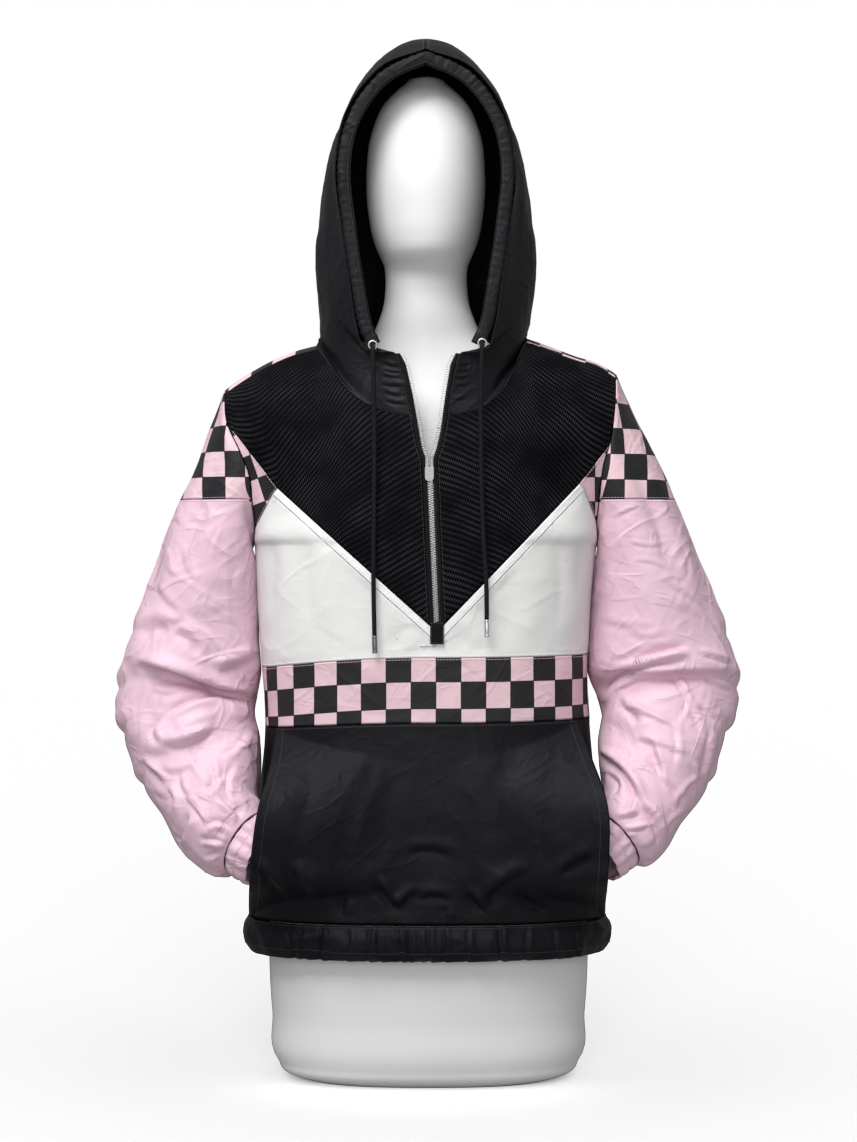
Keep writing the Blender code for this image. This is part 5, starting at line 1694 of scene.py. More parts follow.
POCKET_EDGE = Chart("height left right depth", [
    (0.1800, 0.1930, 0.1900, 0.0480),
    (0.2000, 0.1915, 0.1890, 0.0850),
    (0.2200, 0.1875, 0.1870, 0.1420),
    (0.2500, 0.1850, 0.1880, 0.1580),
    (0.3100, 0.1765, 0.1850, 0.1560),
    (0.3450, 0.1680, 0.1730, 0.1200),
    (0.3830, 0.1640, 0.1590, 0.0700),
])
POCKET_FOLDS = Chart(FOLD_COLUMNS, [
    (-50, 372, -84, 326, -106, 256, 13.0, -2.6, 0.0),
    (-42, 360, -66, 300, -80, 244, 9.0, -2.2, 0.0),
    (-30, 350, -40, 300, -46, 250, 9.0, 1.6, 0.0),
    (-110, 360, -126, 320, -136, 270, 10.0, 2.2, 0.6),
    (-186, 252, -170, 230, -148, 204, 5.0, 6.8, 0.8),
    (-150, 250, -140, 226, -122, 196, 6.0, 4.8, 0.8),
    (-60, 228, -46, 210, -30, 192, 4.5, 6.0, 0.8),
    (-34, 192, -22, 206, -10, 218, 4.0, 5.1, 0.8),
    (-12, 204, 6, 210, 26, 203, 4.0, 4.2, 0.8),
    (36, 216, 48, 203, 60, 190, 4.5, 5.4, 0.8),
    (58, 194, 78, 220, 112, 240, 5.5, 6.0, 0.8),
    (134, 230, 154, 246, 176, 260, 5.0, 5.4, 0.8),
    (-24, 255, 0, 258, 28, 250, 4.5, 3.3, 0.7),
    (92, 212, 108, 200, 130, 192, 5.0, 4.5, 0.8),
    (120, 320, 116, 280, 124, 250, 8.0, 2.0, 0.6),
    (64, 350, 70, 300, 64, 262, 12.0, 1.8, 0.6),
    (-84, 214, -92, 200, -88, 184, 4.0, 3.9, 0.8),
    (20, 200, 16, 192, 18, 182, 3.5, 3.6, 0.8),
])


@dataclass
class Pocket:
    """The pouch pocket. Its open sides stand off the body round the cuffs."""

    columns: int = 136
    rows: int = 82
    foot: float = 0.1800
    head: float = 0.3830

    def build(self) -> None:
        """The body's depth or a bowed section, whichever is further out, with folds from the hem up."""
        across = np.linspace(-1, 1, self.columns + 1)
        across = np.sign(across) * np.abs(across) ** 0.85
        height = np.linspace(self.foot, self.head, self.rows + 1)
        high, wide = np.meshgrid(height, across, indexing="ij")
        edge_x = POCKET_EDGE.by_side(wide, high, "height")
        edge_depth = POCKET_EDGE.read("depth", high, "height")
        top_x = across * POCKET_EDGE.by_side(across, height[-1], "height")
        top = PLAN.band_line(BODY.turn_at(top_x, PLAN.band_foot_middle), PLAN.band_foot, PLAN.band_foot_middle)
        top = top - 3 * PLAN.seam_gap
        share = (high - height[0]) / (height[-1] - height[0])
        rise = height[0] + 0.0006 + (top - height[0] - 0.0006) * share
        x = wide * edge_x
        body_depth = -BODY.points(BODY.turn_at(x, rise), rise, -1.0)[..., 1]
        middle = -BODY.points(0.0 * rise, rise, -1.0)[..., 1]
        tight = middle + (edge_depth - middle) * np.abs(wide) ** 1.4
        settle = 0.0028 * np.sin(math.pi * np.clip(share * 1.05, 0, 1)) + 0.0004
        folds = 0.0035 * np.sin(wide * 19 + 5 * share) * np.exp(-((share / 0.30) ** 2))
        y = -(np.maximum(body_depth, tight) + settle + folds * share * 3)
        cloth = Cloth("pocket", np.stack([x, y, rise], axis=-1), AXIS)
        fade = ease(0.0, 0.016, cloth.edge_distance((Edge.LOW, Edge.HIGH))) * 0.85 + 0.15
        swell = fold_heights(cloth.points, cloth.normals(), POCKET_FOLDS, View.FRONT)
        swell += 0.0014 * rumple(x / 0.028 + 9, rise / 0.05, 61) + 0.0006 * crinkle(x / 0.022 + 9, rise / 0.030, 63)
        cloth.push(swell * fade)
        cloth.build("black", "hung", ["front_lower", "hem_band"])
        for edge, offset in ((Edge.HIGH, 0.0020), (Edge.START, 0.0100), (Edge.END, 0.0100)):
            cloth.sew(Thread.BLACK, edge, offset, 0.0006, AXIS)


@dataclass
class FrontLower:
    """The lower front, behind the pocket."""

    columns: int = 100
    rows: int = 50

    def build(self) -> None:
        """The body between the band and the hem, drawn back in the middle."""
        turn = np.linspace(-QUARTER, QUARTER, self.columns + 1)
        top = PLAN.band_edge(turn, False) - np.array([0.0, 2 * PLAN.seam_gap])
        bottom = np.stack([turn, np.full_like(turn, BODY.hem_seam + PLAN.seam_gap)], axis=-1)
        share = np.linspace(0, 1, self.rows + 1)[:, None, None]
        slack = 0.0045 + 0.018 * np.sin(math.pi * share[..., 0])
        grid = BODY.front(bottom[None] * (1 - share) + top[None] * share, slack)
        cloth = Cloth("front_lower", drawn_in(grid, rows=False), AXIS)
        x, z = cloth.points[..., 0], cloth.points[..., 2]
        cloth.push(0.0010 * rumple(x / 0.03 + 9, z / 0.08, 71) * cloth.border_fade(0.015))
        cloth.build("black", "hung", ["dress_form", "check_band"])


BACK_FOLDS = Chart(FOLD_COLUMNS, [
    (-150, 560, -110, 520, -60, 500, 12, 3.2, 0.7),
    (150, 570, 112, 530, 66, 512, 12, 3.2, 0.7),
    (-140, 420, -96, 392, -40, 384, 14, 3.0, 0.7),
    (140, 430, 100, 398, 50, 388, 14, 3.0, 0.7),
    (-20, 640, -26, 560, -14, 470, 13, 2.2, 0.6),
    (36, 660, 44, 590, 34, 520, 12, 2.0, 0.6),
    (-104, 300, -92, 250, -98, 184, 9, 3.0, 0.8),
    (-58, 286, -50, 240, -54, 184, 8, 2.6, 0.8),
    (-12, 296, -8, 244, -14, 184, 9, 2.8, 0.8),
    (40, 280, 36, 236, 42, 184, 8, 2.6, 0.8),
    (88, 300, 80, 246, 86, 184, 9, 3.0, 0.8),
    (134, 286, 124, 240, 128, 184, 8, 2.6, 0.8),
    (-140, 276, -134, 236, -138, 184, 8, 2.6, 0.8),
    (-90, 640, -116, 600, -128, 550, 10, 2.4, 0.6),
    (92, 650, 118, 606, 130, 556, 10, 2.4, 0.6),
])


@dataclass
class BackPanel:
    """The back, from the hem to the back yoke."""

    columns: int = 108

    def build(self) -> None:
        """The body's own back, row by row, with long soft folds that gather at the hem."""
        turn = np.linspace(QUARTER, -QUARTER, self.columns + 1)
        heights = np.concatenate([np.linspace(BODY.hem_seam + PLAN.seam_gap, BODY.underarm, 81)[:-1],
                                  np.linspace(BODY.underarm, BODY.back_yoke_seam, 25)])
        high, wide = np.meshgrid(heights, turn, indexing="ij")
        cloth = Cloth("back", drawn_in(BODY.points(wide, high, 1.0)), np.array([0.0, -0.02, 0.45]))
        x, z = cloth.points[..., 0], cloth.points[..., 2]
        swell = fold_heights(cloth.points, cloth.normals(), BACK_FOLDS, View.BACK)
        swell += 0.0016 * rumple(x / 0.034 + 9, z / 0.07, 81) + 0.0008 * crinkle(x / 0.034 + 9, z / 0.05, 83)
        cloth.push(swell * cloth.border_fade(0.012))
        cloth.build("black", "hung", ["dress_form", "back_yoke"])
        cloth.sew(Thread.BLACK, Edge.HIGH, 0.0018, 0.0006, np.array([0.0, -0.02, 0.45]))


@dataclass
class BackYoke:
    """The checked yoke over the shoulders."""

    square: float = 0.0275
    first_row: float = 0.006
    column_places: tuple = (-0.2950, -0.1925, -0.1700, -0.1440, 0.1448, 0.1710, 0.1957, 0.2957)
    column_counts: tuple = (-12.0, -8.0, -7.0, -6.0, 6.0, 7.0, 8.0, 12.0)

    def build(self) -> None:
        """Columns up the back: beside the neck to the back neckline, further out over the ridge."""
        share_one = {side: NECKLINE.read(side.word, 1.0, "share") for side in SIDES}
        neck = {side: float(BODY.turn_at(side.sign * share_one[side], 0.793)) for side in SIDES}
        outer = np.linspace(QUARTER, neck[Side.RIGHT], 41)
        inside = np.linspace(neck[Side.RIGHT], neck[Side.LEFT], 81)[1:-1]
        turn = np.concatenate([outer, inside, np.linspace(neck[Side.LEFT], -QUARTER, 41)])
        side = np.where(turn < 0, -1.0, 1.0)
        reach = np.abs(np.sin(turn)) ** (2 / BODY.section_round)
        ridge = RIDGE.by_side(side, reach, "reach")
        tall = ridge - BODY.underarm
        start = np.arcsin(((BODY.back_yoke_seam - BODY.underarm) / tall) ** (BODY.arch_round / 2))
        over = math.pi - math.asin(BODY.shoulder_seam_rise ** (BODY.arch_round / 2))
        share = np.abs(turn) / np.where(turn < 0, abs(neck[Side.LEFT]), neck[Side.RIGHT])
        level = np.clip((0.7955 + 0.004 * np.minimum(share, 1) ** 2 - BODY.underarm) / tall, 0, 1)
        at_neck = np.arcsin(level ** (BODY.arch_round / 2))
        climb = ease(0.955, 1.0, share)
        end = at_neck + (over - at_neck) * climb
        bend = start + (end - start) * np.linspace(0, 1, 51)[:, None]
        rise = np.sin(bend) ** (2 / BODY.arch_round)
        height = BODY.underarm + tall * rise
        facing = np.where(bend <= QUARTER, 1.0, -1.0)
        grid = drawn_in(BODY.points(np.broadcast_to(turn, bend.shape), height, facing))
        cloth = Cloth("back_yoke", grid, np.array([0.0, 0.0, 0.60]))
        _, along = cloth.lengths()
        count = np.interp(cloth.points[..., 0], self.column_places, self.column_counts)
        shoulder = share > 0.999
        full = np.interp(np.arange(len(turn)), np.flatnonzero(shoulder), along[-1][shoulder])
        level = full[len(turn) // 2] - along
        sloped = full[None] - self.first_row * (turn > 0) - along
        down = level + (sloped - level) * ease(0.5, 1.4, bend)
        cloth.checks = np.stack([count, down / self.square], axis=-1)
        cloth.push(0.0009 * rumple(cloth.points[..., 0] / 0.03 + 9, along / 0.05, 91) * cloth.border_fade(0.01))
        cloth.build("checks", "laid", ["dress_form"])
        cloth.sew(Thread.PINK, Edge.LOW, 0.0018, 0.0006, np.array([0.0, 0.0, 0.60]))


# ---------------------------------------------------------------- hood and casing


HOOD_EDGE = Chart("share half_width depth height", [
    (0.28, 0.0640, 0.1150, 0.7870),
    (0.36, 0.0730, 0.1130, 0.8120),
    (0.46, 0.0805, 0.1110, 0.8600),
    (0.56, 0.0895, 0.1080, 0.9200),
    (0.66, 0.0965, 0.1050, 0.9800),
    (0.76, 0.0868, 0.1010, 1.0380),
    (0.87, 0.0518, 0.0970, 1.0872),
    (1.00, 0.0000, 0.0950, 1.1094),
])
HOOD_HOOPS = Chart("station side side_y side_height crown_y crown_height fullness", [
    (0.20, 0.1120, -0.0600, 0.8950, -0.0640, 1.1225, 2.10),
    (0.45, 0.1175, 0.0100, 0.8550, -0.0050, 1.1300, 2.15),
    (0.72, 0.1020, 0.0800, 0.8700, 0.0930, 1.0760, 2.20),
    (1.00, 0.0000, 0.1292, 0.8800, 0.1310, 0.9500, 2.00),
])
HOOD_SIDE_FOLDS = Chart(FOLD_COLUMNS, [
    (60, 800, 70, 850, 60, 900, 12, 3.0, 0.7),
    (20, 812, 26, 870, 8, 930, 12, 2.6, 0.7),
    (-30, 820, -22, 880, -40, 960, 12, 2.4, 0.7),
    (-80, 1000, -40, 1050, 0, 1080, 12, 2.2, 0.6),
    (-70, 900, -50, 960, -60, 1020, 10, 2.0, 0.6),
    (70, 940, 40, 990, 10, 1020, 12, 2.4, 0.6),
])
HOOD_FRONT_FOLDS = Chart(FOLD_COLUMNS, [
    (-70, 1072, -62, 1088, -48, 1104, 4, 1.8, 0.8),
    (-88, 1046, -80, 1062, -70, 1078, 4, 1.6, 0.8),
    (-30, 1100, -26, 1114, -20, 1124, 4, 1.6, 0.8),
    (26, 1100, 24, 1114, 20, 1124, 4, 1.6, 0.8),
    (60, 1080, 58, 1096, 48, 1110, 4, 1.8, 0.8),
    (84, 1050, 80, 1066, 70, 1084, 4, 1.6, 0.8),
    (-50, 775, -37, 769, -25, 773, 1.6, 1.5, 0.9),
    (-50, 767, -36, 762, -22, 766, 1.5, 1.3, 0.9),
    (-50, 760, -37, 757, -24, 758, 1.7, 1.5, 0.9),
    (-51, 751, -36, 748, -22, 751, 1.6, 1.4, 0.9),
    (-48, 743, -34, 738, -21, 741, 1.7, 1.4, 0.9),
    (-49, 734, -33, 729, -18, 731, 1.8, 1.3, 0.9),
    (25, 776, 36, 770, 47, 774, 1.6, 1.5, 0.9),
    (22, 768, 35, 763, 48, 767, 1.5, 1.3, 0.9),
    (22, 759, 35, 756, 46, 760, 1.7, 1.5, 0.9),
    (21, 752, 33, 748, 44, 750, 1.6, 1.2, 0.9),
    (20, 737, 30, 733, 42, 735, 1.7, 1.2, 0.9),
])


@dataclass
class HoodHalf:
    """One half of the hood, from the neckline to the centre seam."""

    side: Side
    centre: float = -0.003
    widest: float = 0.45
    seam_offset: float = -0.00015

    def neck(self, station: Array) -> Array:
        """Half the neckline: the zip is 0, the shoulder 0.43 to 0.45, the middle of the back 1.

        Args:
            station: place of each point, from 0 to 1

        Returns:
            The neckline's points.
        """
        sign, word = self.side.sign, self.side.word
        share = np.clip(station / 0.43, 0, 1)
        x = sign * NECKLINE.read(word, share, "share")
        height = NECKLINE.read("height_" + word, share, "share")
        front = BODY.points(BODY.turn_at(x, height), height, -1.0)
        turn = np.clip((station - 0.45) / 0.55, 0, 1) * QUARTER
        shoulder = 0.8028 if self.side is Side.LEFT else 0.8080
        level = 0.7960 + (shoulder - 0.7960) * np.cos(turn) ** 2
        wide = sign * float(NECKLINE.read(word, 1.0, "share")) * np.cos(turn)
        back = np.stack([wide, 0.069 * np.sin(turn), level], axis=-1)
        over = (np.clip((station - 0.43) / 0.02, 0, 1) * QUARTER)[..., None]
        climb = np.concatenate([1 - np.cos(over), 1 - np.cos(over), np.sin(over)], axis=-1)
        return front + (back - front) * climb

    def edge(self, share: Array) -> Array:
        """The front border: up beside the zip, out under the casing, and up round the face.

        Args:
            share: place of each point, from 0 to 1

        Returns:
            The border's points.
        """
        sign = self.side.sign
        heights = np.array([0.717, 0.750, 0.783])
        beside = np.stack([PLAN.tape_x(self.side, heights) + sign * 0.0004,
                           -COLLAR_DEPTH.read("depth", heights, "height"), heights], axis=-1)
        under = np.array([[self.centre + sign * 0.0475, -0.1165, 0.7840]])
        face = np.stack([self.centre + sign * HOOD_EDGE["half_width"], -HOOD_EDGE["depth"], HOOD_EDGE["height"]],
                        axis=-1)
        knots = np.concatenate([[0.0, 0.085, 0.17, 0.225], HOOD_EDGE["share"]])
        line = np.vstack([beside, under, face])
        return np.stack([follow(share, knots, line[:, axis]) for axis in range(3)], axis=-1)

    def hoop(self, row: dict, share: Array) -> Array:
        """From the neckline out to the widest place, then a rounded quarter up to the crown.

        Args:
            row: the hoop's row of the chart
            share: place of each point, from 0 to 1

        Returns:
            The hoop's points.
        """
        sign = self.side.sign
        foot = self.neck(np.array(row["station"]))
        low = np.clip(share / self.widest, 0, 1)
        high = np.clip((share - self.widest) / (1 - self.widest), 0, 1) * QUARTER
        power = 2 / row["fullness"]
        wide = self.centre + sign * row["side"]
        swing = np.sin(low * QUARTER)
        rising = share <= self.widest
        cosine = np.clip(np.cos(high), 0, 1)
        x = np.where(rising, foot[0] + (wide - foot[0]) * swing, self.centre + (wide - self.centre) * cosine**power)
        y = np.where(rising, foot[1] + (row["side_y"] - foot[1]) * swing,
                     row["side_y"] + (row["crown_y"] - row["side_y"]) * (1 - np.cos(high)))
        z = np.where(rising, foot[2] + (row["side_height"] - foot[2]) * low,
                     row["side_height"] + (row["crown_height"] - row["side_height"]) * np.sin(high) ** power)
        return np.stack([x, y, z], axis=-1)

    def grid(self, stations: Array, share: Array) -> Array:
        """Hoops joined by cubic Hermite curves over station, with the foot carried onto the neckline.

        Args:
            stations: station of each hoop, from 0 to 1
            share: place of each point of a hoop, from 0 to 1

        Returns:
            The grid of points.
        """
        hoops = np.array([self.edge(share)] + [self.hoop(row, share) for row in HOOD_HOOPS.rows()])
        knots = np.concatenate([[0.0], HOOD_HOOPS["station"]])
        slopes = np.gradient(hoops, knots, axis=0)
        first = np.clip(np.searchsorted(knots, stations, side="right") - 1, 0, len(knots) - 2)
        step = (knots[first + 1] - knots[first])[:, None, None]
        part = (stations - knots[first])[:, None, None] / step
        rest = 1 - part
        points = hoops[first] * (1 + 2 * part) * rest**2 + hoops[first + 1] * (1 + 2 * rest) * part**2
        points = points + step * part * rest * (slopes[first] * rest - slopes[first + 1] * part)
        foot = self.neck(stations)
        foot[:, 0] -= self.side.sign * 0.0014 * np.clip(1 - np.abs(stations - 0.36) / 0.20, 0, 1)
        foot[:, 2] += 0.0006 + 0.0010 * ease(0.0, 0.05, stations)
        fade = (np.clip(1 - share / 0.14, 0, 1) ** 2)[None, :, None]
        return points + (foot - points[:, 0])[:, None] * fade

    def build(self) -> None:
        """The half hood with its crown folds, its collar gathers and its stitching."""
        stations = np.concatenate([np.linspace(0, 0.43, 47), [0.4367, 0.4433], np.linspace(0.45, 1, 52)])
        share = np.concatenate([np.linspace(0, 0.17, 58)[:-1], np.linspace(0.17, 1, 74)])
        points = self.grid(stations, share)
        seam = self.centre + self.side.sign * self.seam_offset
        near = np.abs(points[..., 0] - seam)
        points[:, -1, 0] = seam
        points[-1, :, 0] = seam
        inside = np.array([self.centre, 0.0, 0.95])
        under = points[:, :1] + np.array([0.0, 0.0, -0.0050])
        under = under - unit(points[:, :1] * np.array([1.0, 1.0, 0.0])) * 0.0026
        points = np.hstack([under, points])
        near = np.hstack([near[:, :1], near])
        cloth = Cloth("hood_" + self.side.word, points, inside)
        x, y, z = (cloth.points[..., axis] for axis in range(3))
        normals = cloth.normals()
        view = View.OUTER_LEFT if self.side is Side.LEFT else View.OUTER_RIGHT
        swell = fold_heights(cloth.points, normals, HOOD_SIDE_FOLDS, view)
        swell += fold_heights(cloth.points, normals, HOOD_FRONT_FOLDS, View.FRONT)
        swell += 0.0022 * rumple(y / 0.045 + 9, z / 0.05, 101 + self.side.value) * ease(0.02, 0.06, near)
        swell += 0.0007 * crinkle(y / 0.032 + 9, z / 0.036 + x / 0.05, 103 + self.side.value)
        fade = ease(0, 0.010, cloth.edge_distance((Edge.LOW, Edge.HIGH, Edge.START, Edge.END)))
        cloth.push(swell * fade)
        cloth.build("hood", "hung", ["dress_form", "back_yoke"])
        core = np.array([self.centre, 0.0, 0.93])
        cloth.sew(Thread.BLACK, Edge.END, 0.0030, 0.0006, core)
        cloth.sew(Thread.BLACK, Edge.START, 0.0026, 0.0006, np.array([0.0, 0.0, 0.7]))


CASING_PATH = Chart("share half_width depth height", [
    (0.00, 0.0545, 0.1160, 0.7925),
    (0.10, 0.0640, 0.1140, 0.8140),
    (0.24, 0.0725, 0.1120, 0.8600),
    (0.40, 0.0815, 0.1090, 0.9200),
    (0.55, 0.0870, 0.1055, 0.9800),
    (0.70, 0.0765, 0.1015, 1.0330),
    (0.86, 0.0430, 0.0975, 1.0790),
    (1.00, 0.0000, 0.0955, 1.1000),
])


@dataclass
class Casing:
    """The gathered drawstring casing round the face: a flat tube of cloth."""

    half_width: float = 0.0068
    half_depth: float = 0.0026
    centre: float = -0.003
    scallop: float = 0.0082
    steps: int = 300
    sides: int = 20
    stitched_column: int = 3

    def build(self) -> None:
        """Flat ovals along the opening's edge, pinched where the cloth is gathered."""
        half = np.linspace(0, 1, self.steps // 2 + 1)
        legs = []
        for side, share in ((Side.LEFT, half), (Side.RIGHT, half[::-1][1:])):
            x = self.centre + side.sign * CASING_PATH.read("half_width", share, "share")
            legs.append(np.stack([x, -CASING_PATH.read("depth", share, "share"),
                                  CASING_PATH.read("height", share, "share")], axis=-1))
        path = np.vstack(legs)
        length = run_length(path)
        spots = np.linspace(0, length[-1], self.steps + 1)
        path = at_spots(path, length, spots)
        along = unit(np.gradient(path, axis=0))
        outward = unit(np.cross(along, np.array([0.0, -1.0, 0.0])))
        front = np.cross(outward, along)
        wander = rumple(spots / 0.022, 0 * spots, 111) * 0.55
        pleat = np.abs(np.sin(math.pi * (spots / self.scallop + wander)))
        uneven = 0.75 + 0.35 * rumple(spots / 0.013, 0 * spots + 0.5, 112)
        end = ease(0, 0.012, np.minimum(spots, spots[-1] - spots))
        angle = circle(self.sides)
        cosine, sine = np.cos(angle)[None, :], np.sin(angle)[None, :]
        inner = np.clip(-cosine, 0, 1)
        puff = (pleat * uneven - 0.62)[:, None]
        wide = self.half_width + 0.0012 * puff * (0.25 + inner)
        deep = (self.half_depth + 0.0012 * puff) * (0.35 + 0.65 * end)[:, None]
        flat = wide * np.sign(cosine) * np.abs(cosine) ** 0.85
        points = path[:, None] + flat[..., None] * outward[:, None] + (deep * sine)[..., None] * front[:, None]
        cloth = Cloth("hood_casing", points, path[:, None], ring=True)
        cloth.build("hood", "gathered", ["hood_left", "hood_right"], wall=0.0008)
        line = cloth.points[:, self.stitched_column] + front * 0.0006
        STITCHES[Thread.BLACK].run(line, path.mean(axis=0) + np.array([0, 0.1, 0]))


# ---------------------------------------------------------------- sleeves and cuffs


SLEEVE_COLUMNS = "ring x y height across fore_aft lean"
SLEEVES = {
    Side.LEFT: Chart(SLEEVE_COLUMNS, [
        (0, 0.2060, 0.000, 0.6675, 0.0860, 0.070, 11.0),
        (1, 0.2147, -0.001, 0.6450, 0.0760, 0.072, 16.0),
        (2, 0.2255, -0.003, 0.6120, 0.0600, 0.072, 31.0),
        (3, 0.2365, -0.005, 0.5815, 0.0550, 0.071, 49.0),
        (4, 0.2455, -0.007, 0.5470, 0.0560, 0.070, 64.0),
        (5, 0.2550, -0.008, 0.5045, 0.0615, 0.069, 77.0),
        (6, 0.2628, -0.008, 0.4580, 0.0700, 0.070, 85.0),
        (7, 0.2640, -0.012, 0.4165, 0.0760, 0.070, 89.0),
        (8, 0.2565, -0.028, 0.3720, 0.0730, 0.066, 99.0),
        (9, 0.2430, -0.054, 0.3300, 0.0640, 0.060, 110.0),
        (10, 0.2280, -0.086, 0.2900, 0.0505, 0.052, 124.0),
        (11, 0.2050, -0.101, 0.2690, 0.0450, 0.044, 150.0),
        (12, 0.1930, -0.107, 0.2650, 0.0360, 0.035, 150.0),
    ]),
    Side.RIGHT: Chart(SLEEVE_COLUMNS, [
        (0, 0.1940, 0.000, 0.6765, 0.0940, 0.070, 6.0),
        (1, 0.2017, -0.001, 0.6570, 0.0860, 0.072, 10.0),
        (2, 0.2145, -0.003, 0.6280, 0.0725, 0.072, 21.0),
        (3, 0.2275, -0.005, 0.5925, 0.0610, 0.071, 40.0),
        (4, 0.2375, -0.007, 0.5550, 0.0600, 0.070, 58.0),
        (5, 0.2485, -0.008, 0.5120, 0.0665, 0.069, 73.0),
        (6, 0.2575, -0.008, 0.4605, 0.0755, 0.070, 86.0),
        (7, 0.2610, -0.012, 0.4245, 0.0780, 0.070, 90.0),
        (8, 0.2545, -0.030, 0.3850, 0.0700, 0.066, 96.0),
        (9, 0.2430, -0.056, 0.3410, 0.0610, 0.060, 108.0),
        (10, 0.2290, -0.086, 0.2975, 0.0460, 0.052, 122.0),
        (11, 0.2110, -0.101, 0.2760, 0.0420, 0.044, 140.0),
        (12, 0.1970, -0.107, 0.2700, 0.0360, 0.035, 140.0),
    ]),
}
LARGE_FOLDS = Chart("ring angle ring_reach angle_reach slant height", [
    (6.9, 100.0, 0.42, 85.0, 0.006, -0.0110),
    (6.1, 70.0, 0.55, 60.0, -0.004, 0.0060),
    (8.1, 45.0, 0.60, 40.0, 0.020, 0.0060),
    (8.8, 120.0, 0.45, 50.0, -0.016, -0.0070),
    (4.6, 30.0, 0.70, 35.0, 0.018, -0.0040),
    (2.6, 62.0, 1.60, 12.0, 0.000, -0.0070),
    (7.2, 250.0, 0.50, 70.0, 0.006, -0.0080),
    (5.2, 300.0, 0.70, 40.0, -0.014, -0.0050),
    (9.6, 10.0, 0.50, 45.0, 0.012, -0.0060),
])


@dataclass
class Sleeve:
    """One sleeve: a checked cap, a long lower sleeve and a gathered elastic cuff."""

    side: Side
    front_folds: Chart
    outer_folds: Chart
    back_folds: Chart
    cap_seam: float = 0.630
    last_ring: float = 12.0
    square: float = 0.0254
    square_height: float = 0.0276
    least_shown: float = 0.5
    inner_fullness: float = 0.0090

    def frame_at(self, ring: Array) -> tuple[Array, Array, Array]:
        """Centre of a ring, its outward axis and its forward one, square to each other.

        Args:
            ring: number of each ring

        Returns:
            The centres and the two axes.
        """
        chart, sign = SLEEVES[self.side], self.side.sign

        def centre(at: Array) -> Array:
            """Centre of the sleeve at a ring number."""
            at = np.clip(at, 0, self.last_ring)
            return np.stack([sign * chart.read("x", at, "ring"), chart.read("y", at, "ring"),
                             chart.read("height", at, "ring")], axis=-1)

        along = centre(ring + 0.05) - centre(ring - 0.05)
        lean = np.radians(chart.read("lean", ring, "ring"))
        out = np.stack([sign * np.sin(lean), np.zeros_like(lean), np.cos(lean)], axis=-1)
        return centre(ring), out, unit(sign * np.cross(along, out))

    def large_folds(self, angle: Array, ring: Array) -> Array:
        """Sum of the folds that the solid has too: smooth bumps and troughs across the sleeve.

        Args:
            angle: angle round the sleeve of each place
            ring: ring number of each place

        Returns:
            The height at each place.
        """
        total = np.zeros_like(angle * ring)
        degrees = np.degrees(angle) % 360
        shift = 0.0 if self.side is Side.LEFT else 0.35
        for row in LARGE_FOLDS.rows():
            turn = (degrees - row["angle"] + 180) % 360 - 180
            line = row["ring"] + shift + row["slant"] * turn
            along = (ring - line) / row["ring_reach"]
            total = total + row["height"] * np.exp(-(along**2) - (turn / row["angle_reach"]) ** 2)
        return total * np.clip(ring / 1.5, 0, 1) * np.clip((self.last_ring - ring) / 1.5, 0, 1)

    def rings(self, angle: Array, ring: Array) -> Array:
        """Ellipses across the sleeve's centre line.

        Args:
            angle: angle round the sleeve of each place
            ring: ring number of each place

        Returns:
            The points.
        """
        chart = SLEEVES[self.side]
        centre, out, fore = self.frame_at(ring)
        swell = self.large_folds(angle, ring)
        across = (chart.read("across", ring, "ring") + swell) * np.cos(angle)
        deep = (chart.read("fore_aft", ring, "ring") + swell) * np.sin(angle)
        return centre + across[..., None] * out + deep[..., None] * fore

    def surface(self, angle: Array, ring: Array) -> Array:
        """The rings, with the upper end carried smoothly onto the armhole.

        Args:
            angle: angle round the sleeve of each place
            ring: ring number of each place

        Returns:
            The points.
        """
        sign = self.side.sign
        rise = (1 + np.cos(angle)) / 2
        top = RIDGE[self.side.word][-1]
        loop = np.stack([sign * (ARMHOLE.by_side(sign, rise, "rise") + 0.0011 + 0.0007 * (1 - rise)),
                         -BODY.armhole_depth * np.sin(angle), BODY.underarm + (top - BODY.underarm) * rise], axis=-1)
        pull = (np.clip(1 - ring / 2.5, 0, 1) ** 2)[..., None]
        return self.rings(angle, ring) + (loop - self.rings(angle, np.zeros_like(ring))) * pull

    def angles(self) -> tuple[Array, Array]:
        """Angles round the sleeve: those of the cap, and those under the arm."""
        top = RIDGE[self.side.word][-1]
        end = math.acos(2 * (self.cap_seam - BODY.underarm) / (top - BODY.underarm) - 1)
        return np.linspace(-end, end, 113), np.linspace(end, 2 * math.pi - end, 65)[1:-1]

    def seam_ring(self, angle: Array) -> Array:
        """The ring at which the sleeve comes down to the level cap seam, for each angle.

        Args:
            angle: the angles round the sleeve

        Returns:
            One ring number for each.
        """
        rings = np.linspace(0, 4.5, 181)
        high = self.surface(angle[None, :] + 0 * rings[:, None], rings[:, None] + 0 * angle[None, :])[..., 2]
        found = [float(np.interp(-self.cap_seam, -high[:, i], rings)) for i in range(len(angle))]
        return np.maximum(np.array(found), 0.14)

    def middles(self, ring: Array) -> Array:
        """The centre of the ring at every point."""
        return self.frame_at(ring)[0]

    def hand_folds(self, cloth: Cloth) -> Array:
        """Height of the folds laid out from the front, the outer side and the back.

        Args:
            cloth: the sleeve's cloth

        Returns:
            The height at each of its points.
        """
        normals = cloth.normals()
        outer = View.OUTER_LEFT if self.side is Side.LEFT else View.OUTER_RIGHT
        return (fold_heights(cloth.points, normals, self.front_folds, View.FRONT)
                + fold_heights(cloth.points, normals, self.outer_folds, outer)
                + fold_heights(cloth.points, normals, self.back_folds, View.BACK))

